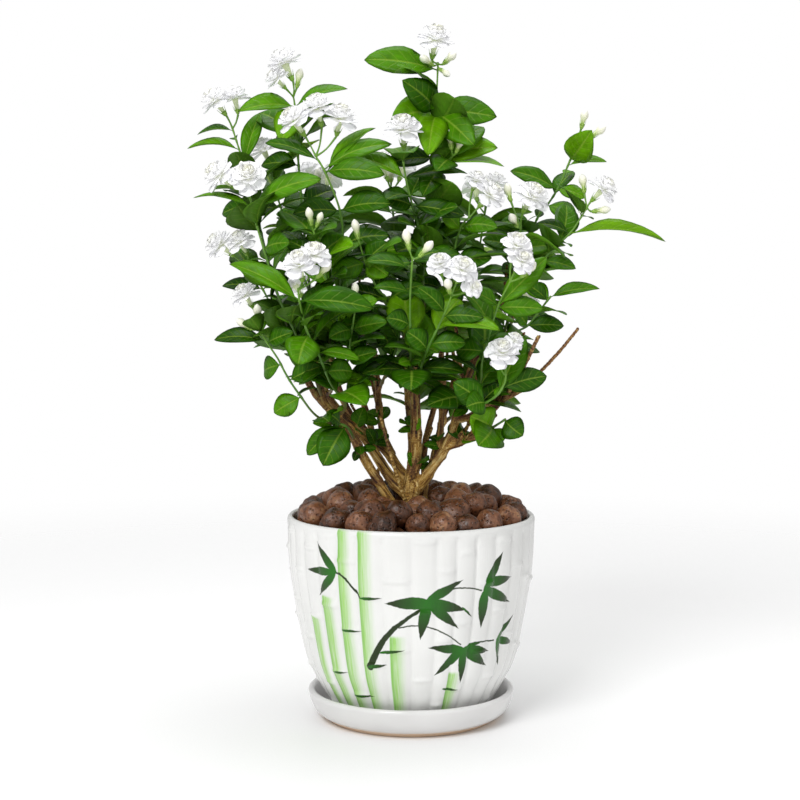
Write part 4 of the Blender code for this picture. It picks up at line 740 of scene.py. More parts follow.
# %% Helpers that fill a stem with smaller leaves
FILLER_SEED = 11
FILLER_LENGTH = (34, 44)
FILLER_ASPECT = 0.42
FILLER_ARCH = 0.12
FILLER_LEAN = 0.45
FILLER_RISE = 0.1
FILLER_STRAY = 0.3
FILLER_SHARE = (0.3, 0.7)
FRONT_FACE = 25
REAR_FACE = 5
INNER_LEAF = 0.8


def off_stem(axis, angle, lean):
    """The way that a leaf leaves a stem, at this angle round it, leaning along it."""
    flat = Vector((math.cos(angle), math.sin(angle), 0.0))
    return (flat - axis * flat.dot(axis)).normalized() + axis * lean


def filler_pairs(rng, stem):
    """Opposite pairs of smaller leaves up a stem, each pair turned a quarter from the one below."""
    leaves = []
    quarter = rng.uniform(0, math.pi)
    for before, here in zip(stem[1:], stem[2:]):
        span = xyz(here) - xyz(before)
        quarter += math.pi / 2 + rng.uniform(-FILLER_STRAY, FILLER_STRAY)
        length = rng.uniform(*FILLER_LENGTH) * MM
        base = xyz(before) + span * rng.uniform(*FILLER_SHARE)
        axis = span.normalized()
        for side in (0, math.pi):
            way = off_stem(axis, quarter + side, FILLER_LEAN) + UP * FILLER_RISE
            size = length * (1.0 if way.dot(outward(base)) > 0 else INNER_LEAF)
            face = FRONT_FACE if base.y < 0 else REAR_FACE
            leaves.append((base, base + way.normalized() * size, size * FILLER_ASPECT, face, FILLER_ARCH))
    return leaves

# %% Find the tips among the corners of the solids
TOLD_ARCH = 0.14
SIDE_RADIUS = 0.9


def counted(kind):
    """How many leaves, buds or blooms all the plants have."""
    return sum(len(plant[kind]) for plant in plants.values())


plants = {}
fillers = random.Random(FILLER_SEED)
missed = []
for name, shoot in SHOOTS.items():
    corners = corners_of("shoot_" + name)
    stem = coarse[name]
    start = stem_end(stem)
    plant = dict(stems=[stems[name]], start=[start], blooms=[], buds=[], leaves=[])
    if shoot["blooms"]:
        plant["blooms"] = built_blooms(shoot, start, corners_of("blooms_" + name))
    heads = [(start, place) for place in shoot["buds"]]
    if "side" in shoot:
        side = shoot["side"]
        route = stem_route(at_row(stem, side["at"]), side["route"] + [side["fork"]], SIDE_RADIUS)
        plant["stems"].append(route)
        heads += [(stem_end(thinned(route)), place) for place in side["buds"]]
    for foot, place in heads:
        bud = built_bud(foot, seen(*place), corners)
        plant["buds"] += [(foot, bud)] if bud else []
        missed += [] if bud else [(name, "bud", place)]
    for row, px, py, depth, width, face in shoot["leaves"]:
        leaf = built_leaf((at_row(stem, row), seen(px, py, depth), width * MM, face, TOLD_ARCH), corners)
        plant["leaves"] += [leaf] if leaf else []
        missed += [] if leaf else [(name, "leaf", (px, py))]
    for filler in filler_pairs(fillers, stem):
        leaf = built_leaf(filler, corners, VARIANTS[:PLAIN_TURNS])
        plant["leaves"] += [leaf] if leaf else []
    plants[name] = plant
print(counted("leaves"), "leaves,", counted("buds"), "buds and", counted("blooms"),
      "blooms found in the solids; not found:", missed)

# %% [markdown]
# ## The Geometry Nodes trees
# Five trees make nearly everything here. One sweeps a round section along lines, for wood and stems. One
# puts copies of small templates on points, for leaves, buds, blooms and pebbles. One turns a profile about
# the upright axis, for the ceramics. Further down, one sets petals round a flower's heart, and one presses
# canes into the pot's wall. A tree is worth its nodes where a rule repeats: a size is then changed in one
# place. Each is applied to a plain mesh at once.

# %% Helpers that build and apply a tree
def start_group(kind, name, inputs, outputs):
    """A node tree of a kind, with these named inputs and outputs, and its two ends."""
    tree = bpy.data.node_groups.new(name, kind)
    for side, sockets in (("INPUT", inputs), ("OUTPUT", outputs)):
        for label, value in sockets.items():
            tree.interface.new_socket(name=label, in_out=side, socket_type="NodeSocket" + value)
    return tree, add(tree, "NodeGroupInput").outputs, add(tree, "NodeGroupOutput")


def start_tree(name, inputs):
    """A Geometry Nodes tree with a geometry, these named inputs and a surface, and its two ends."""
    return start_group("GeometryNodeTree", name, {"Geometry": "Geometry", **inputs, "Surface": "Material"},
                       {"Geometry": "Geometry"})


def end_tree(tree, given, result, geometry, used=()):
    """Makes a tree's instances real, drops the attributes it has used, and sets the surface."""
    geometry = add(tree, "GeometryNodeRealizeInstances", [geometry])
    for name in used:
        geometry = add(tree, "GeometryNodeRemoveAttribute", {"Geometry": geometry, "Name": name})
    done = add(tree, "GeometryNodeSetMaterial", {"Geometry": geometry, "Material": given["Surface"]})
    tree.links.new(done.outputs[0], result.inputs[0])
    print(tree.name, len(tree.nodes), "nodes")
    return tree


def made_by(tree, name, mesh, values):
    """A plain mesh object that a tree makes from a mesh, with the tree's named inputs set."""
    source = placed(name + "_source", mesh)
    step = source.modifiers.new(tree.name, "NODES")
    step.node_group = tree
    for item in tree.interface.items_tree:
        if item.in_out == "INPUT" and item.name in values:
            step[item.identifier] = values[item.name]
    graph = bpy.context.evaluated_depsgraph_get()
    data = bpy.data.meshes.new_from_object(source.evaluated_get(graph), preserve_all_data_layers=True,
                                           depsgraph=graph)
    bpy.data.objects.remove(source)
    data.name = name
    return placed(name, data)


def joined(name, objects):
    """One object of several, with their attributes and materials."""
    with bpy.context.temp_override(active_object=objects[0], selected_editable_objects=objects):
        bpy.ops.object.join()
    objects[0].name = objects[0].data.name = name
    return objects[0]


def set_attribute(mesh, name, kind, values, domain="POINT"):
    """Stores one value for each point or face of a mesh."""
    layer = mesh.attributes.new(name, kind, domain)
    field = {"FLOAT": "value", "INT": "value", "FLOAT_VECTOR": "vector", "QUATERNION": "value"}[kind]
    flat = [part for value in values for part in value] if kind in ("FLOAT_VECTOR", "QUATERNION") else values
    layer.data.foreach_set(field, flat)


def triangles(obj):
    return sum(len(face.vertices) - 2 for face in obj.data.polygons)

# %% Tree one: tubes along lines
tree, given, result = start_tree("tubes along lines", {
    "Sides": "Int", "Roughness": "Float", "Grain": "Float"})
line = add(tree, "GeometryNodeMeshToCurve", [given["Geometry"]])
ring = add(tree, "GeometryNodeCurvePrimitiveCircle", {"Resolution": given["Sides"], "Radius": 1.0})
thickness = add(tree, "GeometryNodeInputNamedAttribute", ["thickness"], data_type="FLOAT")
tube = add(tree, "GeometryNodeCurveToMesh", [line, ring, thickness, True])
bumps = add(tree, "ShaderNodeTexNoise", {"Scale": given["Grain"], "Detail": 3.0})
centred = add(tree, "ShaderNodeMath", [bumps, 0.5], operation="SUBTRACT")
height = add(tree, "ShaderNodeMath", [centred, given["Roughness"]], operation="MULTIPLY")
facing = add(tree, "GeometryNodeInputNormal")
push = add(tree, "ShaderNodeVectorMath", {0: facing, "Scale": height}, operation="SCALE")
moved = add(tree, "GeometryNodeSetPosition", {"Geometry": tube, "Offset": push})
round_shaded = add(tree, "GeometryNodeSetShadeSmooth", [moved])
tube_tree = end_tree(tree, given, result, round_shaded)

# %% Tree two: copies on points
tree, given, result = start_tree("copies on points", {"Kinds": "Collection"})
kinds = add(tree, "GeometryNodeCollectionInfo", [given["Kinds"], True, True])
which = add(tree, "GeometryNodeInputNamedAttribute", ["kind"], data_type="INT")
turn = add(tree, "GeometryNodeInputNamedAttribute", ["turn"], data_type="QUATERNION")
size = add(tree, "GeometryNodeInputNamedAttribute", ["size"], data_type="FLOAT_VECTOR")
copied = add(tree, "GeometryNodeInstanceOnPoints", {
    "Points": given["Geometry"], "Instance": kinds, "Pick Instance": True,
    "Instance Index": which, "Rotation": turn, "Scale": size})
copy_tree = end_tree(tree, given, result, copied, ("kind", "turn", "size"))

# %% Tree three: a profile turned about the upright axis
tree, given, result = start_tree("turned profile", {"Rows": "Int", "Columns": "Int"})
edge_count = add(tree, "FunctionNodeIntegerMath", [given["Columns"], 1], operation="ADD")
sheet = add(tree, "GeometryNodeMeshGrid", [1.0, 1.0, edge_count, given["Rows"]])
index = add(tree, "GeometryNodeInputIndex")
row = add(tree, "FunctionNodeIntegerMath", [index, given["Rows"]], operation="MODULO")
column = add(tree, "FunctionNodeIntegerMath", [index, given["Rows"]], operation="DIVIDE_FLOOR")
share = add(tree, "ShaderNodeMath", [column, given["Columns"]], operation="DIVIDE")
angle = add(tree, "ShaderNodeMath", [share, 2 * math.pi], operation="MULTIPLY")
place = add(tree, "GeometryNodeInputPosition")
corner = add(tree, "GeometryNodeSampleIndex", [given["Geometry"], place, row], data_type="FLOAT_VECTOR")
spun = add(tree, "ShaderNodeVectorRotate", {"Vector": corner, "Angle": angle}, rotation_type="Z_AXIS")
wall = add(tree, "GeometryNodeSetPosition", {"Geometry": sheet, "Position": spun})
relief = add(tree, "GeometryNodeInputNamedAttribute", ["relief"], data_type="FLOAT")
weight = add(tree, "GeometryNodeSampleIndex", [given["Geometry"], relief, row], data_type="FLOAT")
weighed = add(tree, "GeometryNodeStoreNamedAttribute", [wall, None, "relief", weight], data_type="FLOAT")
closed = add(tree, "GeometryNodeMergeByDistance", {"Geometry": weighed, "Distance": 0.01 * MM})
round_shaded = add(tree, "GeometryNodeSetShadeSmooth", [closed])
turn_tree = end_tree(tree, given, result, round_shaded)

# %% [markdown]
# ## Materials
# Every finish is a tree of shader nodes and no picture, so it stays sharp at any distance. Patterns read
# object coordinates, the leaf's own UV map, or an attribute that a piece carries. Each material starts from
# what the real surface is, and its sizes are the real ones in mm.

# %% Helpers for materials
PER_MM = 1000.0


def start_material(name, roughness, **sockets):
    """A material, its tree and its Principled shader, with what is the same all over set on the shader."""
    made = bpy.data.materials.new(name)
    made.use_nodes = True
    shader = made.node_tree.nodes["Principled BSDF"]
    shader.inputs["Roughness"].default_value = roughness
    for key, value in sockets.items():
        shader.inputs[key.replace("_", " ")].default_value = value
    return made, made.node_tree, shader


def set_ramp(ramp, stops):
    """Sets the stops of a colour ramp from a dict of place and sRGB hex colour."""
    elements = ramp.color_ramp.elements
    places = sorted(stops)
    elements[0].position, elements[1].position = places[0], places[-1]
    for place in places[1:-1]:
        elements.new(place)
    for element, place in zip(elements, places):
        element.color = linear(stops[place])
    return ramp

# %% Leaf: the veins of a green blade
# The wax gives broad soft highlights. The veins lie sunken in the upper face, in a paler green, and the
# under face is duller. UV x runs from the stalk to the tip and UV y across, with the midrib at a half.
SIDE_VEINS = 7
VEIN_LEAN = 0.42
leaf_skin, tree, shader = start_material("jasmine_leaf_with_waxy_cuticle", 0.38, IOR=1.4,
                                         Specular_IOR_Level=0.18)
chart = add(tree, "ShaderNodeUVMap", uv_map="leaf")
parts = add(tree, "ShaderNodeSeparateXYZ", [chart])
across = add(tree, "ShaderNodeMath", [parts.outputs[1], 0.5], operation="SUBTRACT")
off = add(tree, "ShaderNodeMath", [across], operation="ABSOLUTE")
midrib = add(tree, "ShaderNodeMapRange", [off, 0.01, 0.05, 1.0, 0.0], interpolation_type="SMOOTHSTEP")
lean = add(tree, "ShaderNodeMath", [off, -VEIN_LEAN, parts.outputs[0]], operation="MULTIPLY_ADD")
wobble = add(tree, "ShaderNodeTexNoise", {"Vector": chart, "Scale": 7.0, "Detail": 1.0})
bent = add(tree, "ShaderNodeMath", [wobble, 0.03, lean], operation="MULTIPLY_ADD")
rows = add(tree, "ShaderNodeMath", [bent, 2.0 * SIDE_VEINS], operation="MULTIPLY")
ripple = add(tree, "ShaderNodeMath", [rows, 1.0], operation="PINGPONG")
near_vein = add(tree, "ShaderNodeMapRange", [ripple, 0.0, 0.22, 1.0, 0.0], interpolation_type="SMOOTHSTEP")
fade = add(tree, "ShaderNodeMapRange", [off, 0.28, 0.46, 1.0, 0.0])
lateral = add(tree, "ShaderNodeMath", [near_vein, fade], operation="MULTIPLY")

# %% Leaf: its greens, and the waxy skin
tone = add(tree, "ShaderNodeAttribute", attribute_name="tone").outputs["Fac"]
under = add(tree, "ShaderNodeAttribute", attribute_name="under").outputs["Fac"]
ages = set_ramp(add(tree, "ShaderNodeValToRGB", [tone]), {
    0.0: "#1c4002", 0.35: "#316103", 0.62: "#4b8204", 0.85: "#609608", 1.0: "#80a818"})
blotch = add(tree, "ShaderNodeTexNoise", {"Vector": chart, "Scale": 4.0, "Detail": 3.0})
patch = add(tree, "ShaderNodeMapRange", [blotch, 0.3, 0.7, 0.75, 1.25])
blade_colour = add(tree, "ShaderNodeVectorMath", {0: ages, "Scale": patch}, operation="SCALE")
vein_share = add(tree, "ShaderNodeMath", [lateral, 0.2], operation="MULTIPLY")
rib_share = add(tree, "ShaderNodeMath", [midrib, 0.42, vein_share], operation="MULTIPLY_ADD", use_clamp=True)
veined = add(tree, "ShaderNodeMix", {"Factor_Float": rib_share, "A_Color": blade_colour,
                                     "B_Color": linear("#92b03c")}, data_type="RGBA")
pale = add(tree, "ShaderNodeMath", [under, 0.5], operation="MULTIPLY")
faced = add(tree, "ShaderNodeMix", {"Factor_Float": pale, "A_Color": veined, "B_Color": linear("#5e8a26")},
            data_type="RGBA")
matt = add(tree, "ShaderNodeMath", [under, 0.25, 0.34], operation="MULTIPLY_ADD")
sunken = add(tree, "ShaderNodeMath", [midrib, lateral], operation="ADD")
grain = add(tree, "ShaderNodeTexNoise", {"Vector": chart, "Scale": 26.0, "Detail": 2.0})
skin = add(tree, "ShaderNodeMath", [grain, 0.6, sunken], operation="MULTIPLY_ADD")
bump = add(tree, "ShaderNodeBump", {"Strength": 0.5, "Distance": 0.4 * MM, "Height": skin}, invert=True)
feed(tree, shader, {"Base Color": faced, "Roughness": matt, "Normal": bump})

# %% Green stem: smooth young bark, browner towards its root
stem_skin, tree, shader = start_material("jasmine_young_stem", 0.5)
place = add(tree, "ShaderNodeTexCoord").outputs["Object"]
age = add(tree, "ShaderNodeAttribute", attribute_name="age").outputs["Fac"]
mottle = add(tree, "ShaderNodeTexNoise", {"Vector": place, "Scale": 0.25 * PER_MM, "Detail": 3.0})
mixed_age = add(tree, "ShaderNodeMath", [mottle, 0.35, age], operation="MULTIPLY_ADD")
shift = add(tree, "ShaderNodeMath", [mixed_age, 0.17], operation="SUBTRACT")
ages = set_ramp(add(tree, "ShaderNodeValToRGB", [shift]), {
    0.0: "#6f9c34", 0.45: "#4b7a22", 0.75: "#4c6a22", 1.0: "#6b5a2e"})
ridges = add(tree, "ShaderNodeTexNoise", {"Vector": place, "Scale": 1.2 * PER_MM})
bump = add(tree, "ShaderNodeBump", {"Strength": 0.3, "Distance": 0.15 * MM, "Height": ridges})
feed(tree, shader, {"Base Color": ages, "Normal": bump})

# %% Bud and calyx: a fleshy green cup, a pale tube and a creamy head
# The attribute "along" runs from 0 at the calyx to 1 at the bud's tip.
bud_skin, tree, shader = start_material("jasmine_bud_and_calyx", 0.45)
along_bud = add(tree, "ShaderNodeAttribute", attribute_name="along").outputs["Fac"]
place = add(tree, "ShaderNodeTexCoord").outputs["Object"]
mottle = add(tree, "ShaderNodeTexNoise", {"Vector": place, "Scale": 0.5 * PER_MM, "Detail": 2.0})
uneven = add(tree, "ShaderNodeMath", [mottle, 0.12, along_bud], operation="MULTIPLY_ADD")
shift = add(tree, "ShaderNodeMath", [uneven, 0.06], operation="SUBTRACT")
shades = set_ramp(add(tree, "ShaderNodeValToRGB", [shift]), {
    0.0: "#8cb648", 0.28: "#acca62", 0.4: "#dde6ae", 0.6: "#f2f2d8", 1.0: "#fbfaf0"})
bump = add(tree, "ShaderNodeBump", {"Strength": 0.2, "Distance": 0.2 * MM, "Height": mottle})
feed(tree, shader, {"Base Color": shades, "Normal": bump})

# %% Petal: matt white flesh, fluted along its length
# "heart" runs from 0 in the outer petals to 1 in the heart, and is 2 on the tube. "along" runs up a petal.
# Petals are so thin that light passes through them into the folds. Closed petals can't show that, so each
# glows a little: a painted light that lifts the shade in the folds.
PETAL_GLOW = 0.15
# The emission below is a painted glow, not a lamp.
petal_skin, tree, shader = start_material("jasmine_petal", 0.6, Specular_IOR_Level=0.3,
                                          Emission_Strength=PETAL_GLOW)
heart = add(tree, "ShaderNodeAttribute", attribute_name="heart").outputs["Fac"]
up_petal = add(tree, "ShaderNodeAttribute", attribute_name="along").outputs["Fac"]
place = add(tree, "ShaderNodeTexCoord").outputs["Object"]
half_heart = add(tree, "ShaderNodeMath", [heart, 0.5], operation="MULTIPLY")
depths = set_ramp(add(tree, "ShaderNodeValToRGB", [half_heart]), {
    0.0: "#f0f0f3", 0.3: "#f1f1f1", 0.5: "#f0f0e2", 0.75: "#e5ebc4", 1.0: "#bfd286"})
low = add(tree, "ShaderNodeMapRange", [up_petal, 0.0, 0.45, 0.55, 0.0])
shaded = add(tree, "ShaderNodeMix", {"Factor_Float": low, "A_Color": depths, "B_Color": linear("#e8ebd6")},
             data_type="RGBA")
flutes = add(tree, "ShaderNodeTexNoise", {"Vector": place, "Scale": 0.6 * PER_MM, "Detail": 2.0})
bump = add(tree, "ShaderNodeBump", {"Strength": 0.25, "Distance": 0.3 * MM, "Height": flutes})
feed(tree, shader, {"Base Color": shaded, "Emission Color": shaded, "Normal": bump})

# %% Bark: thin ochre bark that flakes along the branch
# "grain" holds a place whose third number runs slowly along the branch, so that noise on it makes streaks.
bark_skin, tree, shader = start_material("jasmine_bark", 0.78)
streak_place = add(tree, "ShaderNodeAttribute", attribute_name="grain").outputs["Vector"]
streaks = add(tree, "ShaderNodeTexNoise", {"Vector": streak_place, "Scale": 0.55 * PER_MM,
                                           "Detail": 5.0, "Roughness": 0.65})
place = add(tree, "ShaderNodeTexCoord").outputs["Object"]
patches = add(tree, "ShaderNodeTexNoise", {"Vector": place, "Scale": 0.07 * PER_MM, "Detail": 2.0})
light = set_ramp(add(tree, "ShaderNodeValToRGB", [streaks]), {
    0.34: "#33200c", 0.43: "#80561f", 0.52: "#c49846", 0.66: "#ecd494"})
dark = set_ramp(add(tree, "ShaderNodeValToRGB", [streaks]), {
    0.34: "#1c100a", 0.44: "#58341a", 0.54: "#94683a", 0.66: "#a09650"})
parts = add(tree, "ShaderNodeSeparateXYZ", [place])
higher = add(tree, "ShaderNodeMath", [parts.outputs[2], 4.0, patches], operation="MULTIPLY_ADD")
kind = add(tree, "ShaderNodeMapRange", [higher, 1.14, 1.36, 0.0, 1.0], interpolation_type="SMOOTHSTEP")
barked = add(tree, "ShaderNodeMix", {"Factor_Float": kind, "A_Color": light, "B_Color": dark},
             data_type="RGBA")
bump = add(tree, "ShaderNodeBump", {"Strength": 0.8, "Distance": 0.5 * MM, "Height": streaks})
feed(tree, shader, {"Base Color": barked, "Normal": bump})

# %% Fired clay: dark brown balls, sintered to a dull shine and full of fine pores
clay_skin, tree, shader = start_material("expanded_clay_fired", 0.5)
place = add(tree, "ShaderNodeTexCoord").outputs["Object"]
tint = add(tree, "ShaderNodeAttribute", attribute_name="tone").outputs["Fac"]
cloud = add(tree, "ShaderNodeTexNoise", {"Vector": place, "Scale": 0.16 * PER_MM,
                                         "Detail": 5.0, "Roughness": 0.7})
mixed = add(tree, "ShaderNodeMath", [tint, 0.28, cloud], operation="MULTIPLY_ADD")
shift = add(tree, "ShaderNodeMath", [mixed, 0.1], operation="SUBTRACT")
fired = set_ramp(add(tree, "ShaderNodeValToRGB", [shift]), {
    0.25: "#200f06", 0.4: "#432512", 0.54: "#653d25", 0.7: "#875a3e", 0.88: "#b48e68"})
pores = add(tree, "ShaderNodeTexVoronoi", {"Vector": place, "Scale": 0.4 * PER_MM, "Randomness": 1.0})
pits = add(tree, "ShaderNodeMapRange", [pores, 0.1, 0.42, 0.0, 1.0], interpolation_type="SMOOTHSTEP")
# The colour is darkened in the sunken pores: a painted shade in the pits.
pore_shade = add(tree, "ShaderNodeMapRange", [pits, 0.0, 1.0, 0.4, 1.0])
clay_with_pore_shade = add(tree, "ShaderNodeVectorMath", {0: fired, "Scale": pore_shade}, operation="SCALE")
worn = add(tree, "ShaderNodeMapRange", [cloud, 0.35, 0.65, 0.24, 0.44])
fine = add(tree, "ShaderNodeTexNoise", {"Vector": place, "Scale": 1.6 * PER_MM, "Detail": 3.0})
rough = add(tree, "ShaderNodeMath", [fine, 0.5, pits], operation="MULTIPLY_ADD")
bump = add(tree, "ShaderNodeBump", {"Strength": 0.9, "Distance": 0.5 * MM, "Height": rough})
feed(tree, shader, {"Base Color": clay_with_pore_shade, "Roughness": worn, "Normal": bump})

# %% Potting soil: dark crumbs of peat
soil_skin, tree, shader = start_material("potting_soil_peat", 0.95)
place = add(tree, "ShaderNodeTexCoord").outputs["Object"]
crumbs = add(tree, "ShaderNodeTexVoronoi", {"Vector": place, "Scale": 0.4 * PER_MM})
# Each crumb is lighter at its middle and darker towards its edge, so the gaps between crumbs get a painted
# shade.
peat = set_ramp(add(tree, "ShaderNodeValToRGB", [crumbs]), {0.1: "#3c2a1c", 0.5: "#24180f", 0.9: "#120b06"})
bump = add(tree, "ShaderNodeBump", {"Strength": 0.9, "Distance": 1.0 * MM, "Height": crumbs}, invert=True)
feed(tree, shader, {"Base Color": peat, "Normal": bump})

# %% Glazed earthenware of the saucer: a white glaze that stops above the bare foot
# The glaze is wiped off the lowest few mm before firing, and the body shows there, cream and matt.
BARE_FOOT = 3.6 * MM
saucer_skin, tree, shader = start_material("white_glazed_earthenware_turned", 0.14)
place = add(tree, "ShaderNodeTexCoord").outputs["Object"]
parts = add(tree, "ShaderNodeSeparateXYZ", [place])
waver = add(tree, "ShaderNodeTexNoise", {"Vector": place, "Scale": 0.08 * PER_MM})
edge = add(tree, "ShaderNodeMath", [waver, 1.5 * MM, parts.outputs[2]], operation="MULTIPLY_ADD")
glazed = add(tree, "ShaderNodeMapRange", [edge, BARE_FOOT, BARE_FOOT + 1.4 * MM, 0.0, 1.0],
             interpolation_type="SMOOTHSTEP")
cloud = add(tree, "ShaderNodeTexNoise", {"Vector": place, "Scale": 0.02 * PER_MM, "Detail": 2.0})
whites = set_ramp(add(tree, "ShaderNodeValToRGB", [cloud]), {0.35: "#d8d7d6", 0.65: "#e0dfde"})
coloured = add(tree, "ShaderNodeMix", {"Factor_Float": glazed, "A_Color": linear("#d2b79c"),
                                       "B_Color": whites}, data_type="RGBA")
shine = add(tree, "ShaderNodeMapRange", [glazed, 0.0, 1.0, 0.7, 0.14])
peel = add(tree, "ShaderNodeTexNoise", {"Vector": place, "Scale": 0.12 * PER_MM})
bump = add(tree, "ShaderNodeBump", {"Strength": 0.12, "Distance": 0.4 * MM, "Height": peel})
feed(tree, shader, {"Base Color": coloured, "Roughness": shine, "Normal": bump})
print("leaf, stem, bud, petal, bark, clay, soil and saucer glaze are ready")

# %% [markdown]
# ## Templates
# The plant has hundreds of leaves, buds and petals, but only a few kinds of each. So there are six leaves,
# each bent and folded in its own way, one bud, one calyx and three petals. They are made once, in lists of
# points, and the second tree copies them. Each has fewer than a hundred faces, because every copy counts.

# %% Keep a template for the copies
def keep_template(kinds, name, points, faces, places_along=None, under=None, chart=None):
    """Adds a small mesh to a collection, with the attributes and the UV map that its material reads."""
    data = bpy.data.meshes.new(name)
    data.from_pydata(points, [], faces)
    if places_along:
        set_attribute(data, "along", "FLOAT", places_along)
    if under:
        set_attribute(data, "under", "FLOAT", under, "FACE")
    if chart:
        layer = data.uv_layers.new(name="leaf")
        for loop in data.loops:
            layer.data[loop.index].uv = chart[loop.vertex_index]
    shape = bmesh.new()
    shape.from_mesh(data)
    bmesh.ops.recalc_face_normals(shape, faces=shape.faces)
    for face in shape.faces:
        face.smooth = True
    shape.to_mesh(data)
    shape.free()
    kinds.objects.link(bpy.data.objects.new(name, data))


def ring_faces(rows, sides, tip):
    """Quads between rings of points, a cap on the first ring, and a fan to a tip or a cap on the last."""
    faces = [tuple(reversed(range(sides)))]
    for row in range(rows - 1):
        for side in range(sides):
            after = (side + 1) % sides
            faces.append((row * sides + side, row * sides + after,
                          (row + 1) * sides + after, (row + 1) * sides + side))
    last = (rows - 1) * sides
    if tip:
        faces += [(last + side, last + (side + 1) % sides, rows * sides) for side in range(sides)]
    else:
        faces.append(tuple(range(last, last + sides)))
    return faces

# %% Six leaves, each one long and one wide
# A jasmine leaf is a pointed oval on a short stalk. It is folded a little along its midrib, its edges wave,
# and it arches from its base to its tip. Its section has seven points above and a keel below.
LEAF_STATIONS = (0.0, 0.07, 0.12, 0.19, 0.28, 0.38, 0.5, 0.62, 0.74, 0.85, 0.94)
LEAF_ACROSS = (-1.0, -0.6, -0.12, 0.0, 0.12, 0.6, 1.0)
LEAF_SKIN = (0.0, 0.006, 0.008, 0.001, 0.008, 0.006, 0.0)
KEEL = -0.012
STALK_SHARE = 0.09
STALK_HALF = 0.03
LEAF_ARCH = 0.14
LEAF_ASPECT = 0.4

# For each leaf: fold, height of the wave, waves along the edge, their start, twist, sideways sweep.
LEAF_BENDS = [
    (0.25, 0.012, 1.3, 0.1, 0.3, 0.02), (0.42, 0.010, 1.8, 0.6, -0.35, -0.03),
    (0.1, 0.016, 1.1, 0.4, 0.2, 0.035), (0.55, 0.010, 1.5, 0.8, 0.45, 0.0),
    (0.2, 0.015, 2.1, 0.3, -0.5, 0.03), (0.35, 0.014, 1.0, 0.9, 0.1, -0.04),
]


def blade_half(u):
    """Half the width of a leaf that is one wide, at a share of its length."""
    share = max(0.0, (u - STALK_SHARE) / (1 - STALK_SHARE))
    return max(STALK_HALF, 0.52 * math.sin(math.pi * share ** 0.95) ** 0.68 * (1 - 0.1 * share))


def leaf_point(u, v, lift, bend):
    """A point of a leaf, this far along it and across it, raised by the thickness of its skin."""
    fold, wave, waves, start, twist, sweep = bend
    half = blade_half(u)
    if u <= STALK_SHARE:
        lift = 0.011 * (math.sqrt(1 - v * v) if lift >= 0 else -1.0)
    z = LEAF_ARCH * 4 * u * (1 - u) + abs(v) * half * fold * LEAF_ASPECT
    z += wave * v * v * math.sin(2 * math.pi * (waves * u + start)) * half * 2
    z += twist * v * half * LEAF_ASPECT * (u - 0.35)
    return u, v * half + sweep * math.sin(math.pi * u), z + lift


leaf_kinds = bpy.data.collections.new("leaf_kinds")
for kind, bend in enumerate(LEAF_BENDS):
    points = []
    chart = []
    for u in LEAF_STATIONS:
        for v, lift in zip(LEAF_ACROSS, LEAF_SKIN):
            points.append(leaf_point(u, v, lift, bend))
            chart.append((u, 0.5 + v / 2))
        points.append(leaf_point(u, 0.0, KEEL, bend))
        chart.append((u, 0.5))
    points.append((1.0, 0.0, 0.0))
    chart.append((1.0, 0.5))
    ring = len(LEAF_ACROSS) + 1
    faces = ring_faces(len(LEAF_STATIONS), ring, True)
    keels = {row * ring + ring - 1 for row in range(len(LEAF_STATIONS))}
    under = [1.0 if keels & set(face) and len(face) < ring else 0.0 for face in faces]
    keep_template(leaf_kinds, f"leaf_kind_{kind}", points, faces, under=under, chart=chart)

# %% One bud and one calyx
# The bud is a slim tube that swells into a pointed head. Both sit in a green cup with thin teeth, which
# jasmine has in place of broad sepals.
BUD_RINGS = ((0.0, 0.8), (1.2, 1.45), (3.0, 1.55), (4.6, 1.3), (6.5, 1.9), (8.7, 2.85), (10.8, 2.7),
             (12.6, 1.7), (13.6, 0.7))
CALYX_RINGS = ((0.0, 0.75), (1.2, 1.6), (2.8, 2.0), (4.2, 2.3))
BUD_SIDES = 8
TEETH = 8


def add_teeth(points, faces, low, root, high, reach):
    """Thin pointed teeth round a cup, from its rim to their tips."""
    for tooth in range(TEETH):
        turn = 2 * math.pi * (tooth + 0.5) / TEETH
        first = len(points)
        for spin, out, z in ((-0.16, root, low), (0.16, root, low), (0.0, root + 0.35, low)):
            points.append((math.cos(turn + spin) * out * MM, math.sin(turn + spin) * out * MM, z * MM))
        points.append((math.cos(turn) * reach * MM, math.sin(turn) * reach * MM, high * MM))
        faces += [(first, first + 1, first + 2), (first, first + 3, first + 1),
                  (first + 1, first + 3, first + 2), (first + 2, first + 3, first)]


def turned_rings(rings, twist=0.0):
    """The points of rings given as height and radius in mm."""
    return [(math.cos(turn) * radius * MM, math.sin(turn) * radius * MM, z * MM)
            for z, radius in rings
            for turn in [2 * math.pi * side / BUD_SIDES + twist * z for side in range(BUD_SIDES)]]


cup_kinds = bpy.data.collections.new("cup_kinds")
points = turned_rings(BUD_RINGS, twist=0.06) + [(0.0, 0.0, BUD_LENGTH)]
faces = ring_faces(len(BUD_RINGS), BUD_SIDES, True)
shades = [min(1.0, max(0.0, point[2] / BUD_LENGTH)) for point in points]
add_teeth(points, faces, 2.2, 1.5, 7.0, 2.3)
keep_template(cup_kinds, "cup_kind_0_bud", points, faces, shades + [0.0] * (4 * TEETH))
points = turned_rings(CALYX_RINGS)
faces = ring_faces(len(CALYX_RINGS), BUD_SIDES, False)
add_teeth(points, faces, 3.2, 2.0, 8.6, 3.7)
keep_template(cup_kinds, "cup_kind_1_calyx", points, faces, [0.0] * len(points))

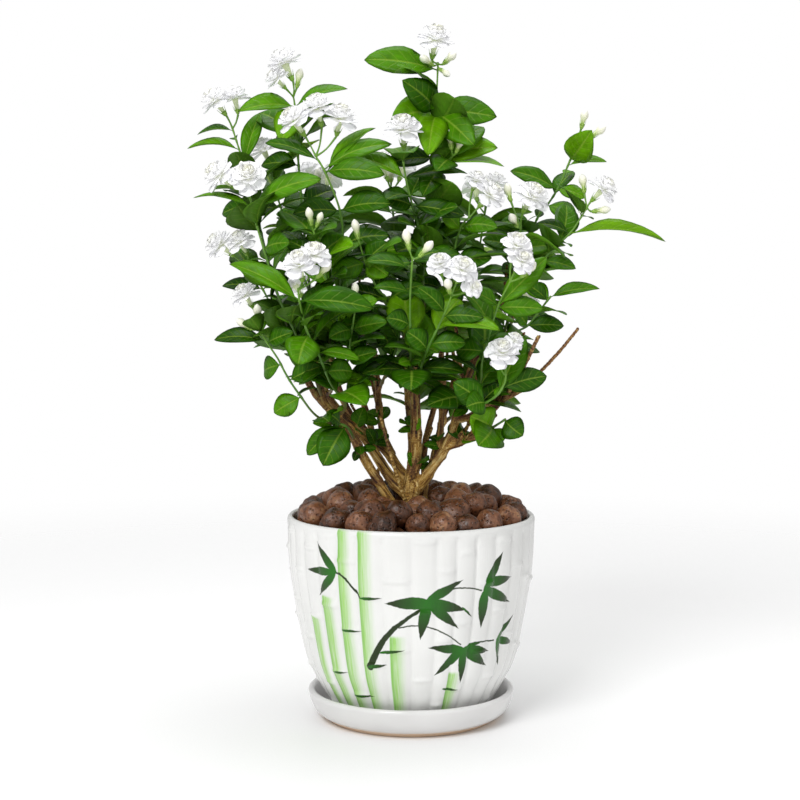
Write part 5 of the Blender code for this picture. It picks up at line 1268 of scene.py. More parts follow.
# %% [markdown]
# ## Extra leaves
# The solids hold the leaves that can be told apart in the photograph, and a few more. The real bush is much
# denser. Between the known pairs a seeded rule adds more opposite pairs, because that is how jasmine grows.
# A new leaf is kept only where it crosses nothing, hides no bloom and stays inside the bush's outline.

# %% Where a leaf may grow
BLOOM_ROOM = 16 * MM
BLOOM_ROOM_PX = 16
CHECKED_SHARES = (0.3, 0.5, 0.7, 0.9, 1.0)
LIGHT_TURN = 14


def within(outline, place):
    """Whether a place lies inside an outline."""
    x, y = place
    found = False
    for (x0, y0), (x1, y1) in zip(outline, outline[1:] + outline[:1]):
        if (y0 > y) != (y1 > y) and x < x0 + (x1 - x0) * (y - y0) / (y1 - y0):
            found = not found
    return found


def in_foliage(point):
    """Whether a point is seen inside the foliage's outline, off its open places and inside the box."""
    px, py = photo_place(point)
    if any(not low <= value <= high for low, value, high in zip(cad_box[0], point, cad_box[1])):
        return False
    return within(OUTLINE, (px, py)) and all((px - x) ** 2 + (py - y) ** 2 > r * r for x, y, r in OPEN_PLACES)


def leaf_spots(base, tip, facing, arch):
    """A few points along the middle of a leaf."""
    reach = tip - base
    side = reach.cross(facing).normalized()
    normal = side.cross(reach).normalized()
    return [base + reach * u + normal * (arch * 4 * u * (1 - u) * reach.length) for u in CHECKED_SHARES]


def hides_bloom(point, blooms):
    """Whether a point touches a bloom or is seen in front of one."""
    px, py = photo_place(point)
    for centre, x, y in blooms:
        if (centre - point).length < BLOOM_ROOM:
            return True
        if point.y < centre.y and (px - x) ** 2 + (py - y) ** 2 < BLOOM_ROOM_PX ** 2:
            return True
    return False


def facing_of(face):
    """The way the upper side of a leaf looks: up, and turned towards the light by this many degrees."""
    turn = math.radians(face + LIGHT_TURN)
    return UP * math.cos(turn) + TOWARD * math.sin(turn)

# %% Add opposite pairs of leaves
EXTRA_SEED = 23
FINE_STEP = 1.5 * MM
PAIR_ROOM = 5 * MM
LEAF_ROOM = 3.2 * MM
GROWN_LEAF = (24, 46)
YOUNG_LEAF = (9, 20)
YOUNG_SHARE = 0.2
EXTRA_ARCH = 0.13
EXTRA_LEAN = (0.15, 0.65)
EXTRA_ASPECT = (0.46, 0.58)
EXTRA_FACING = (0.2, 0.8)
QUARTER_STRAY = 0.35
FIRST_PAIR = (2, 5)
NEXT_PAIR = (4, 8)

for plant in plants.values():
    plant["leaves"] = [(*leaf[:3], facing_of(leaf[3]), leaf[4]) for leaf in plant["leaves"]]
    plant["fine"] = [smooth(route, FINE_STEP) for route in plant["stems"]]
blooms = [(centre, *photo_place(centre))
          for plant in plants.values() for centre, axis, radius in plant["blooms"]]
spots = [spot for plant in plants.values() for leaf in plant["leaves"]
         for spot in leaf_spots(leaf[0], leaf[1], leaf[3], leaf[4])]
rng = random.Random(EXTRA_SEED)
known = counted("leaves")
for name, plant in plants.items():
    for line in plant["fine"]:
        taken = [leaf[0] for leaf in plant["leaves"]]
        quarter = rng.uniform(0, math.pi)
        index = rng.randint(*FIRST_PAIR)
        while index < len(line) - 1:
            place = xyz(line[index])
            axis = (xyz(line[index + 1]) - xyz(line[index - 1])).normalized()
            quarter += math.pi / 2 + rng.uniform(-QUARTER_STRAY, QUARTER_STRAY)
            clear = all((place - other).length > PAIR_ROOM for other in taken)
            for side in (0.0, math.pi):
                length = rng.uniform(*(YOUNG_LEAF if rng.random() < YOUNG_SHARE else GROWN_LEAF)) * MM
                lean = rng.uniform(*EXTRA_LEAN)
                aspect = rng.uniform(*EXTRA_ASPECT)
                way = off_stem(axis, quarter + side, lean).normalized()
                facing = UP + outward(place) * rng.uniform(*EXTRA_FACING)
                tip = place + way * length
                found = leaf_spots(place, tip, facing, EXTRA_ARCH)
                if not clear or not in_foliage(tip) or not in_foliage(found[1]):
                    continue
                if any(hides_bloom(spot, blooms) for spot in found):
                    continue
                if any((spot - other).length < LEAF_ROOM for spot in found for other in spots):
                    continue
                plant["leaves"].append((place, tip, length * aspect, facing, EXTRA_ARCH))
                spots += found
                taken.append(place)
            index += rng.randint(*NEXT_PAIR)
print(counted("leaves") - known, "leaves more, which makes", counted("leaves"))

# %% [markdown]
# ## Shoots
# A shoot is one living thing: a green stem, thickened where a pair of leaves sits on it, its leaves, its
# thin flower stalks, and a green cup under each flower and bud. So its parts are made by two of the trees
# and joined into one piece. The leaf's tone is drawn once for each leaf: most are dark, the ones near the
# top of the bush and a few young ones are yellow green.

# %% Helpers for lines and copies
POT_TOP = 141 * MM
STEM_GRAIN = 220.0
SHORT_LEAF = 38 * MM
SHORT_BREADTH = 1.18
LONG_BREADTH = 1.12
ARCH_SHARE = 0.8
USUAL_TONE = (0.4, 0.19)
TOP_FROM = 0.75
TOP_LIGHTER = 0.12
YOUNG_TONE = (0.72, 0.9)
YOUNG_TONE_SHARE = 0.07
SPIN = 6.28


def tubes(name, lines, sides, roughness, grain, surface):
    """Tubes along lines of (place, thickness, age)."""
    points, edges = [], []
    for line in lines:
        first = len(points)
        points += line
        edges += [(i, i + 1) for i in range(first, len(points) - 1)]
    data = bpy.data.meshes.new(name + "_lines")
    data.from_pydata([tuple(point[0]) for point in points], edges, [])
    set_attribute(data, "thickness", "FLOAT", [point[1] for point in points])
    set_attribute(data, "age", "FLOAT", [point[2] for point in points])
    return made_by(tube_tree, name, data, {"Sides": sides, "Roughness": roughness, "Grain": grain,
                                           "Surface": surface})


def copies(name, kinds, places, surface):
    """Copies of templates at places given as (point, kind, turn, size, tone)."""
    data = bpy.data.meshes.new(name + "_places")
    data.from_pydata([tuple(place[0]) for place in places], [], [])
    marks = (("kind", "INT"), ("turn", "QUATERNION"), ("size", "FLOAT_VECTOR"), ("tone", "FLOAT"))
    for column, (mark, kind) in enumerate(marks, 1):
        set_attribute(data, mark, kind, [place[column] for place in places])
    return made_by(copy_tree, name, data, {"Kinds": kinds, "Surface": surface})


def nearest_on(lines, point):
    """The place on some lines that is nearest to a point."""
    return min((xyz(place) for line in lines for place in line), key=lambda place: (place - point).length)


def leaf_copy(leaf, lines, rng):
    """Where a leaf's template goes: its base on the stem, its tip where it belongs."""
    base, tip, width, facing, arch = leaf
    base = nearest_on(lines, base)
    reach = tip - base
    side = facing.cross(reach).normalized()
    normal = reach.cross(side).normalized()
    turn = Matrix((reach.normalized(), side, normal)).transposed().to_quaternion()
    breadth = SHORT_BREADTH if reach.length < SHORT_LEAF else LONG_BREADTH
    size = (reach.length, width * breadth, reach.length * arch / LEAF_ARCH * ARCH_SHARE)
    height = (tip.z - POT_TOP) / (cad_box[1][2] - POT_TOP)
    tone = min(1.0, max(0.0, rng.gauss(*USUAL_TONE) + (TOP_LIGHTER if height > TOP_FROM else 0.0)))
    if rng.random() < YOUNG_TONE_SHARE:
        tone = rng.uniform(*YOUNG_TONE)
    return base, rng.randrange(len(LEAF_BENDS)), turn, size, tone


def stood_on(axis, rng):
    """A turn that stands a template on an axis, spun about it by chance."""
    return axis.to_track_quat("Z", "Y") @ Quaternion((0, 0, 1), rng.uniform(0, SPIN))

# %% Make the shoots
STEM_SIDES = 8
STEM_ROUGHNESS = 0.25 * MM
SWELLING = 0.35
SWELLING_REACH = 1.6 * MM
SLIMMEST = 0.66
SLIM_STEPS = 8
STALK_END = 9.35 * MM
STALK_START = 4.0 * MM
STALK_RADII = (0.75 * MM, 0.55 * MM, 0.8 * MM)
STALK_SAG = 0.12
STALK_AGE = 0.1
STALK_STEP = 2 * MM
TONE_SEED = 9


def stalk_line(start, end, axis):
    """A thin stalk that leaves a stem's end and comes up under a flower along its axis."""
    length = (end - start).length
    bend = end.lerp(start, 0.45) - axis * (length * STALK_SAG)
    knots = [Vector((*place, radius)) for place, radius in zip((start, bend, end), STALK_RADII)]
    return [(xyz(point), point.w, STALK_AGE) for point in smooth(knots, STALK_STEP)]


rng = random.Random(TONE_SEED)
shoots = []
for name, plant in plants.items():
    lines = []
    bases = [nearest_on(plant["fine"], leaf[0]) for leaf in plant["leaves"]]
    for line in plant["fine"]:
        made = []
        for index, point in enumerate(line):
            near = min((xyz(point) - base).length for base in bases)
            swell = 1 + SWELLING * math.exp(-(near / SWELLING_REACH) ** 2)
            slim = SLIMMEST + (1 - SLIMMEST) * math.exp(-index / SLIM_STEPS)
            made.append((xyz(point), point.w * slim * swell, 1 - index / len(line)))
        lines.append(made)
    cups = []
    for centre, axis, radius in plant["blooms"]:
        size = radius / BLOOM_FULL
        low = centre - axis * ((STALK_END + STALK_START) * size)
        lines.append(stalk_line(plant["start"][0], low, axis))
        cups.append((low, 1, stood_on(axis, rng), (size, size, size), 0.0))
    for start, (foot, axis, size) in plant["buds"]:
        lines.append(stalk_line(start, foot, axis))
        cups.append((foot, 0, stood_on(axis, rng), (size, size, size), 0.0))
    leaves = [leaf_copy(leaf, plant["fine"], rng) for leaf in plant["leaves"]]
    parts = [tubes("stem", lines, STEM_SIDES, STEM_ROUGHNESS, STEM_GRAIN, stem_skin),
             copies("leaves", leaf_kinds, leaves, leaf_skin)]
    if cups:
        parts.append(copies("cups", cup_kinds, cups, bud_skin))
    shoot = joined(name + "_shoot", parts)
    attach(shoot, "root")
    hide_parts("shoot_" + name)
    shoots.append(shoot)
print(len(shoots), "shoots,", sum(triangles(shoot) for shoot in shoots), "triangles,",
      max(triangles(shoot) for shoot in shoots), "at most in one")

# %% [markdown]
# ## Blooms
# A double jasmine flower has some two dozen petals on a slim tube. Each petal grows at the golden angle of
# 137.5 degrees from the one before. The outer ones hang a little, and the inner ones stand up round the
# heart. That rule is one tree: it turns, tilts and shrinks copies of three petals. It makes three heads,
# each with its own seed, and the copying tree places them.

# %% Three petals, each one long: a flat outer one, a cupped middle one and a curled inner one
PETAL_ROWS = ((0.0, 0.14), (0.2, 0.30), (0.42, 0.44), (0.64, 0.52), (0.82, 0.50), (0.94, 0.37), (1.0, 0.17))
PETAL_ACROSS = (-1.0, -0.5, 0.0, 0.5, 1.0)

# For each petal: how far its sides cup up, and how far its end bends up.
PETAL_BENDS = [(0.10, 0.04), (0.26, 0.16), (0.42, 0.26)]
PETAL_SKIN = 0.012
PETAL_WAVE = 0.01
ROUNDED_END = 0.05

petal_kinds = bpy.data.collections.new("petal_kinds")
for kind, (cup, rise) in enumerate(PETAL_BENDS):
    points = []
    shades = []
    for u, half in PETAL_ROWS:
        for side, lift in ((1, PETAL_SKIN), (-1, -PETAL_SKIN)):
            for v in PETAL_ACROSS[::side]:
                if side < 0 and abs(v) == 1.0:
                    continue
                edge = lift * (1 - v * v)
                z = cup * v * v * half * 2 + rise * u * u + PETAL_WAVE * math.sin(7 * u + 5 * v)
                points.append((u - ROUNDED_END * v * v * (u > 0.9), v * half, z + edge))
                shades.append(u)
    ring = 2 * len(PETAL_ACROSS) - 2
    faces = ring_faces(len(PETAL_ROWS), ring, False)
    keep_template(petal_kinds, f"petal_kind_{kind}", points, faces, shades)

# %% Tree four: a head of petals at the golden angle
GOLDEN_ANGLE = 2.39996
TURN_STRAY = 0.16
TILT_STRAY = 0.9
PETAL_FEET = (0.16, 0.02)
PETAL_LENGTHS = (0.9, 0.46)
tree, given, result = start_tree("petals at the golden angle", {
    "Petals": "Int", "Radius": "Float", "Height": "Float", "Outer Tilt": "Float", "Inner Tilt": "Float",
    "Seed": "Int", "Tube Length": "Float", "Tube Radius": "Float", "Kinds": "Collection"})
index = add(tree, "GeometryNodeInputIndex")
last = add(tree, "ShaderNodeMath", [given["Petals"], 1.0], operation="SUBTRACT")
share = add(tree, "ShaderNodeMath", [index, last], operation="DIVIDE")
points = add(tree, "GeometryNodeMeshLine", {"Count": given["Petals"], "Offset": (0.0, 0.0, 0.0)})
golden = add(tree, "ShaderNodeMath", [index, GOLDEN_ANGLE], operation="MULTIPLY")
stray = add(tree, "FunctionNodeRandomValue", {
    "Min_001": -TURN_STRAY, "Max_001": TURN_STRAY, "Seed": given["Seed"]}, data_type="FLOAT")
angle = add(tree, "ShaderNodeMath", [golden, stray], operation="ADD")
tilt = add(tree, "ShaderNodeMapRange", [share, 0.0, 1.0, given["Outer Tilt"], given["Inner Tilt"]])
uneven = add(tree, "ShaderNodeMath", [stray, TILT_STRAY, tilt], operation="MULTIPLY_ADD")
lean = add(tree, "ShaderNodeMath", [uneven, -1.0], operation="MULTIPLY")
turn = add(tree, "ShaderNodeCombineXYZ", [stray, lean, angle])
inset = add(tree, "ShaderNodeMapRange", [share, 0.0, 1.0, *PETAL_FEET])
away = add(tree, "ShaderNodeMath", [inset, given["Radius"]], operation="MULTIPLY")
rise = add(tree, "ShaderNodeMath", [share, given["Height"]], operation="MULTIPLY")
upright = add(tree, "ShaderNodeCombineXYZ", [away, None, rise])
foot = add(tree, "ShaderNodeVectorRotate", {"Vector": upright, "Angle": angle}, rotation_type="Z_AXIS")
ringed = add(tree, "GeometryNodeSetPosition", {"Geometry": points, "Position": foot})
length = add(tree, "ShaderNodeMapRange", [share, 0.0, 1.0, *PETAL_LENGTHS])
long = add(tree, "ShaderNodeMath", [length, given["Radius"]], operation="MULTIPLY")
kind_place = add(tree, "ShaderNodeMath", [share, len(PETAL_BENDS) - 0.01], operation="MULTIPLY")
kind_number = add(tree, "ShaderNodeMath", [kind_place], operation="FLOOR")
marked = add(tree, "GeometryNodeStoreNamedAttribute", [ringed, None, "heart", share], data_type="FLOAT")
petals = add(tree, "GeometryNodeCollectionInfo", [given["Kinds"], True, True])
spin = add(tree, "FunctionNodeEulerToRotation", [turn])
copied = add(tree, "GeometryNodeInstanceOnPoints", {
    "Points": marked, "Instance": petals, "Pick Instance": True, "Instance Index": kind_number,
    "Rotation": spin, "Scale": long})

# %% Tree four: the tube under the petals
ON_TUBE = 2.0
TUBE_SIDES = 10
TUBE_FOOT = 1.2 * MM
cone = add(tree, "GeometryNodeMeshCone", {
    "Vertices": TUBE_SIDES, "Side Segments": 3, "Radius Top": given["Tube Radius"],
    "Radius Bottom": TUBE_FOOT, "Depth": given["Tube Length"]})
down = add(tree, "ShaderNodeMath", [given["Tube Length"], -1.0], operation="MULTIPLY")
below = add(tree, "ShaderNodeCombineXYZ", [None, None, down])
hung = add(tree, "GeometryNodeSetPosition", {"Geometry": cone, "Offset": below})
round_shaded = add(tree, "GeometryNodeSetShadeSmooth", [hung])
green = add(tree, "GeometryNodeStoreNamedAttribute", [round_shaded, None, "heart", ON_TUBE],
            data_type="FLOAT")
both = add(tree, "GeometryNodeJoinGeometry")
for part in (copied, green):
    tree.links.new(part.outputs[0], both.inputs[0])
bloom_tree = end_tree(tree, given, result, both)

# %% Three heads, and the blooms of each shoot
# For each head: how many petals, and the tilt of the outermost and the innermost in degrees.
HEADS = ((27, -22, 82), (29, -15, 84), (25, -27, 78))
HEAD_HEIGHT = 4.0 * MM
TUBE_LENGTH = 9.0 * MM
TUBE_RADIUS = 2.5 * MM
OPEN_WIDE = 1.08
BLOOM_SEED = 4
bloom_kinds = bpy.data.collections.new("bloom_kinds")
for seed, (petals, outer, inner) in enumerate(HEADS):
    empty = bpy.data.meshes.new("head_source")
    head = made_by(bloom_tree, f"bloom_kind_{seed}", empty, {
        "Petals": petals, "Radius": BLOOM_FULL, "Height": HEAD_HEIGHT, "Seed": seed,
        "Outer Tilt": math.radians(outer), "Inner Tilt": math.radians(inner),
        "Tube Length": TUBE_LENGTH, "Tube Radius": TUBE_RADIUS,
        "Kinds": petal_kinds, "Surface": petal_skin})
    bpy.context.scene.collection.objects.unlink(head)
    bloom_kinds.objects.link(head)
rng = random.Random(BLOOM_SEED)
clusters = []
for name, plant in plants.items():
    if not plant["blooms"]:
        continue
    places = []
    for centre, axis, radius in plant["blooms"]:
        turn = stood_on(axis, rng)
        full = radius / BLOOM_FULL * OPEN_WIDE
        places.append((centre, rng.randrange(len(HEADS)), turn, (full, full, full), 0.0))
    cluster = copies(name + "_blooms", bloom_kinds, places, petal_skin)
    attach(cluster, "root")
    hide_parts("blooms_" + name)
    clusters.append(cluster)
print(len(clusters), "clusters,", sum(triangles(cluster) for cluster in clusters), "triangles")

# %% [markdown]
# ## Trunk and branches
# The woody frame forks again and again, and at each fork the younger branch grows out of a swollen collar.
# Tubes alone would cross each other there with a hard edge. So the tubes are melted into one skin by a
# voxel remesh, and the bark's ridges are pressed into that skin afterwards, running along each branch.
# Twigs leave the branches: half of them cut back to stubs, half of them long, thin and bare.

# %% Lines of the branches, with collars and knots
COLLAR = 0.4
COLLAR_REACH = 6 * MM
KNOT = 0.16
KNOT_REACH = 2.2 * MM
FIRST_KNOT = (8, 20)
NEXT_KNOT = (16, 34)
WOOD_LINE_STEP = 1.2 * MM
WOOD_SEED = 17

rng = random.Random(WOOD_SEED)
lines = []
for name, route in list(wood.items()) + list(stubs.items()):
    fine = smooth(route, WOOD_LINE_STEP)
    length = sum((xyz(b) - xyz(a)).length for a, b in zip(fine, fine[1:]))
    knots = [rng.uniform(*FIRST_KNOT) * MM]
    while knots[-1] < length:
        knots.append(knots[-1] + rng.uniform(*NEXT_KNOT) * MM)
    walked = 0.0
    line = []
    for before, point in zip([fine[0]] + fine, fine):
        walked += (xyz(point) - xyz(before)).length
        collar = 0.0 if name == "foot" else COLLAR * math.exp(-walked / COLLAR_REACH)
        near = min(abs(walked - place) for place in knots)
        thick = point.w * (1 + collar + KNOT * math.exp(-(near / KNOT_REACH) ** 2))
        line.append((xyz(point), thick, walked))
    lines.append(line)
print(len(lines), "lines of wood")

# %% Twigs, which part from their branch and bow upwards
TWIGS = 54
SHORT_TWIG = (2.5, 9)
LONG_TWIG = (25, 65)
TWIG_RADIUS = (0.95, 1.4)
TWIG_SPREAD = 0.8
TWIG_BOW = 0.22
for number in range(TWIGS):
    line = lines[rng.randrange(len(wood))]
    index = rng.randrange(len(line) // 4, len(line) - 1)
    place, thick, walked = line[index]
    way = Vector((rng.uniform(-1, 1), rng.uniform(-1, 1), rng.uniform(0.2, 0.9))).normalized()
    way = (way * TWIG_SPREAD + (line[index + 1][0] - line[index - 1][0]).normalized()).normalized()
    reach = thick + rng.uniform(*(LONG_TWIG if number % 2 else SHORT_TWIG)) * MM
    slim = rng.uniform(*TWIG_RADIUS) * MM
    bow = Vector((0, 0, TWIG_BOW * reach))
    lines.append([(place + way * (reach * share) + bow * share * share, slim * (1.3 - 0.4 * share), walked)
                  for share in (0, 0.25, 0.5, 0.75, 1)])
print(TWIGS, "twigs, every second one long")

# %% Melt the tubes into one skin
WOOD_SIDES = 14
WOOD_ROUGHNESS = 0.7 * MM
WOOD_GRAIN = 130.0
WOOD_VOXEL = 0.75 * MM
rough_wood = tubes("rough_wood", lines, WOOD_SIDES, WOOD_ROUGHNESS, WOOD_GRAIN, bark_skin)
melt = rough_wood.modifiers.new("melt", "REMESH")
melt.mode = "VOXEL"
melt.voxel_size = WOOD_VOXEL
ease = rough_wood.modifiers.new("ease", "SMOOTH")
ease.factor = 0.5
ease.iterations = 2
graph = bpy.context.evaluated_depsgraph_get()
skin = bpy.data.meshes.new_from_object(rough_wood.evaluated_get(graph), depsgraph=graph)
bpy.data.objects.remove(rough_wood)
print("melted skin of", len(skin.polygons), "faces")

# %% Press the bark into the skin
RIDGE_WIDTH = 1.5 * MM
RIDGE_HEIGHT = 0.28 * MM
STREAK = 7.0
BRANCH_APART = 9 * MM

middle = [(place, walked, number) for number, line in enumerate(lines) for place, thick, walked in line]
tree = tree_of([place for place, walked, number in middle])
grains = []
pressed = []
for vertex in skin.vertices:
    place, index, distance = tree.find(vertex.co)
    grain = vertex.co - place + Vector((middle[index][2] * BRANCH_APART, 0.0, middle[index][1] / STREAK))
    grains.append(tuple(grain))
    ridge = noise.fractal(grain / RIDGE_WIDTH, 0.8, 2.1, 3)
    pressed.extend(vertex.co + vertex.normal * (ridge * RIDGE_HEIGHT))
skin.vertices.foreach_set("co", pressed)
set_attribute(skin, "grain", "FLOAT_VECTOR", grains)
skin.materials.clear()
skin.materials.append(bark_skin)
for face in skin.polygons:
    face.use_smooth = True
trunk = placed("woody_frame", skin)
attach(trunk, "root")
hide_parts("trunk")

# %% [markdown]
# ## Young shoots on the old wood
# Jasmine also buds straight from its old branches, and the photograph shows such small leafy shoots low in
# the bush. Each is a short stem with two crossed pairs of leaves, made with the same tubes and leaves as
# the large shoots. They are too small for the solids, so they are one added piece.

# %% Make the young shoots
BUDDING_SEED = 41
BUDDING_LENGTH = (9, 17)
BUDDING_ASPECT = 0.6
BUDDING_FACE = 30
BUDDING_ARCH = 0.12
BUDDING_RADII = (0.9 * MM, 0.8 * MM, 0.7 * MM)
BUDDING_BOW = 1.2 * MM
BUDDING_LEAN = 0.5
BUDDING_AGE = 0.5
OLD_WOOD_STEP = 3 * MM

# Where each grows and where it ends in the photograph, and its depth in mm.
BUDDING_PLACES = [
    ((412, 440), (406, 430), -12), ((356, 444), (361, 452), -20), ((381, 424), (377, 416), 12),
    ((366, 438), (356, 428), -4), ((383, 441), (388, 433), 4), ((452, 440), (457, 431), -18),
    ((414, 476), (419, 468), -12), ((440, 455), (436, 445), 0), ((341, 420), (335, 430), -24),
]
rng = random.Random(BUDDING_SEED)
old_wood = [smooth(route, OLD_WOOD_STEP) for route in wood.values()]
young_stems, young_leaves = [], []
for first, last, depth in BUDDING_PLACES:
    foot = nearest_on(old_wood, seen(*first, depth))
    end = foot + seen(*last, depth) - seen(*first, depth)
    axis = (end - foot).normalized()
    bow = foot.lerp(end, 0.5) + TOWARD * BUDDING_BOW
    line = smooth([Vector((*place, radius)) for place, radius in zip((foot, bow, end), BUDDING_RADII)],
                  FINE_STEP)
    young_stems.append([(xyz(point), point.w, BUDDING_AGE) for point in line])
    quarter = rng.uniform(0, math.pi)
    for share in (0.55, 1.0):
        quarter += math.pi / 2
        for side in (0.0, math.pi):
            way = off_stem(axis, quarter + side, BUDDING_LEAN).normalized()
            length = rng.uniform(*BUDDING_LENGTH) * MM
            base = foot.lerp(end, share)
            leaf = (base, base + way * length, length * BUDDING_ASPECT, facing_of(BUDDING_FACE),
                    BUDDING_ARCH)
            young_leaves.append(leaf_copy(leaf, [line], rng))
young = joined("young_shoots", [
    tubes("young_stems", young_stems, STEM_SIDES, STEM_ROUGHNESS, STEM_GRAIN, stem_skin),
    copies("young_leaves", leaf_kinds, young_leaves, leaf_skin)])
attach(young, "root")
print(len(young_stems), "young shoots,", triangles(young), "triangles")

# %% [markdown]
# ## Clay pebbles
# The soil is covered with balls of fired clay, each a little out of round. The top layer lies exactly where
# the domes of the solid are, and a lower layer shows in the gaps between them. Seven lumpy balls are
# enough for all, because each copy is turned and stretched its own way. They are made from an icosphere
# and noise: five for the top layer, and two with fewer faces for the lower one.

# %% Where the pebbles lie
BED_RADIUS = 80 * MM
BED_ROOM = 1.5 * MM
PEBBLE_RADIUS = 8.7 * MM
PEBBLE_RINGS = ((23, 71.0, 142.0), (17, 52.0, 148.5), (11, 34.6, 151.5), (6, 22.0, 152.0))
LOWER_RINGS = ((25, 71.0, 129.5), (24, 61.0, 133.0), (18, 43.5, 137.5), (12, 27.5, 139.5))
PEBBLE_SEED = 5
PEBBLE_SIZES = (0.92, 1.06)
TURN_ROOM = 0.1
RING_ROOM = 1.5
PUSHES = 30
PUSH = 0.8 * MM
WOOD_STEP = 6

# The pebbles right in front of the trunk lie lower, so its foot shows.
LOWERED = 7 * MM
LOWERED_HALF_WIDTH = 20 * MM
LOWERED_REACH = 42 * MM

thick_wood = [thinned(route, WOOD_STEP, WOOD_STEP) for route in wood.values()] + list(stubs.values())
core = [start.lerp(end, share / 4) for route in thick_wood for start, end in zip(route, route[1:])
        for share in range(4)]
core += [route[-1] for route in thick_wood]


def ring_places(rings, rng):
    """Centres and radii of pebbles in rings that lean on each other."""
    places = []
    for count, ring, height in rings:
        start = rng.uniform(0, 2 * math.pi)
        for i in range(count):
            angle = start + 2 * math.pi * (i + rng.uniform(-TURN_ROOM, TURN_ROOM)) / count
            radius = PEBBLE_RADIUS * rng.uniform(*PEBBLE_SIZES)
            reach = min((ring + rng.uniform(-RING_ROOM, RING_ROOM)) * MM, BED_RADIUS - radius)
            places.append([Vector((reach * math.cos(angle), reach * math.sin(angle), height * MM)), radius])
    return places


def clear_of_wood(places):
    """Moves pebbles outwards until they are off the branches."""
    for place in places:
        for _ in range(PUSHES):
            if not any((xyz(point) - place[0]).length < place[1] + point.w + BED_ROOM for point in core):
                break
            place[0] += outward(place[0]) * PUSH
    return places


rng = random.Random(PEBBLE_SEED)
upper = clear_of_wood(ring_places(PEBBLE_RINGS, rng))
for place, radius in upper:
    if place.y < 0 and abs(place.x) < LOWERED_HALF_WIDTH and place.xy.length < LOWERED_REACH:
        place.z -= LOWERED
lower = clear_of_wood(ring_places(LOWER_RINGS, rng))
print(len(upper), "pebbles on top and", len(lower), "below")

# %% Seven lumpy balls and their copies
KIND_APART = 3.7
LUMP_SCALE = 1.3
LUMP = 0.16
DENT_SCALE = 3.5
DENT = 0.025
PEBBLE_STRAY = 2.6 * MM
UPPER_KINDS = (0, 1, 2, 3, 4)
LOWER_KINDS = (5, 6)
COPY_SIZES = (0.92, 1.1)
STRETCHES = ((0.97, 1.12), (0.97, 1.12), (0.98, 1.3))
BED_SEED = 31

pebble_kinds = bpy.data.collections.new("pebble_kinds")
for kind in UPPER_KINDS + LOWER_KINDS:
    ball = bmesh.new()
    bmesh.ops.create_icosphere(ball, subdivisions=4 if kind in UPPER_KINDS else 3, radius=1.0)
    for vertex in ball.verts:
        way = vertex.co.normalized()
        seed = Vector((kind * KIND_APART, 0, 0))
        lump = noise.noise(way * LUMP_SCALE + seed) * LUMP + noise.noise(way * DENT_SCALE + seed) * DENT
        vertex.co = way * (1 + lump)
    for face in ball.faces:
        face.smooth = True
    data = bpy.data.meshes.new(f"pebble_kind_{kind}")
    ball.to_mesh(data)
    ball.free()
    pebble_kinds.objects.link(bpy.data.objects.new(data.name, data))
rng = random.Random(BED_SEED)
places = []
for layer, kinds in ((upper, UPPER_KINDS), (lower, LOWER_KINDS)):
    for place, radius in layer:
        stray = Vector([rng.uniform(-1, 1) for _ in range(3)]) * PEBBLE_STRAY
        place = place + stray - outward(place) * max(0.0, stray.dot(outward(place)))
        radius *= rng.uniform(*COPY_SIZES)
        turn = Euler([rng.uniform(0, SPIN) for _ in range(3)]).to_quaternion()
        stretch = [radius * rng.uniform(*limits) for limits in STRETCHES]
        places.append((place, rng.choice(kinds), turn, stretch, rng.random()))
pebbles = copies("clay_pebble_bed", pebble_kinds, places, clay_skin)
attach(pebbles, "root")
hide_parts("clay_pebbles")
print("pebbles", triangles(pebbles), "triangles")

# %% [markdown]
# ## Pot
# The pot is cast in a mould as a ring of upright bamboo canes. Each cane is a soft rounded rib with a low
# ring where a real cane has a joint. The wall is a profile turned by the third tree, and the fifth tree
# presses the canes in: each point of the wall looks for the nearest groove and the nearest cane. A weight
# on the profile fades the canes out at the lip and the foot. Grooves and canes are two lists of angles, so
# the front can follow the photograph cane by cane.

# %% The wall's profile
POT_COLUMNS = 408
POT_OUTSIDE = ((5.3, 48.0), (13, 56.4), (29, 65.5), (49, 73.8), (101, 83.0), (137.6, 85.0))
POT_INSIDE = ((11.3, 48.5), (49, 69.3), (138.6, 80.8))
DRAIN_RADIUS = 6.0
RELIEF_FADE = 5.0
RELIEF_LOW = 6.0
RELIEF_HIGH = 138.4
WALL_ROWS = 102
WALL_LOW = 7.2
WALL_STEP = 1.28
INNER_ROWS = 20
INNER_HIGH = 137.4
INNER_STEP = 6.3


def on_profile(levels, height):
    """The radius at a height, on a smooth line through levels given as height and radius."""
    line = smooth([Vector((radius, 0.0, z, 0.0)) for z, radius in levels], 0.5)
    for before, after in zip(line, line[1:]):
        if before.z <= height <= after.z:
            return before.x + (after.x - before.x) * (height - before.z) / (after.z - before.z)
    return line[-1].x if height > line[-1].z else line[0].x


def turned(name, profile, columns, surface):
    """A profile of (radius, height, relief) in mm, turned about the upright axis."""
    data = bpy.data.meshes.new(name + "_profile")
    data.from_pydata([(radius * MM, 0.0, height * MM) for radius, height, relief in profile], [], [])
    set_attribute(data, "relief", "FLOAT", [relief for radius, height, relief in profile])
    return made_by(turn_tree, name, data, {"Rows": len(profile), "Columns": columns, "Surface": surface})


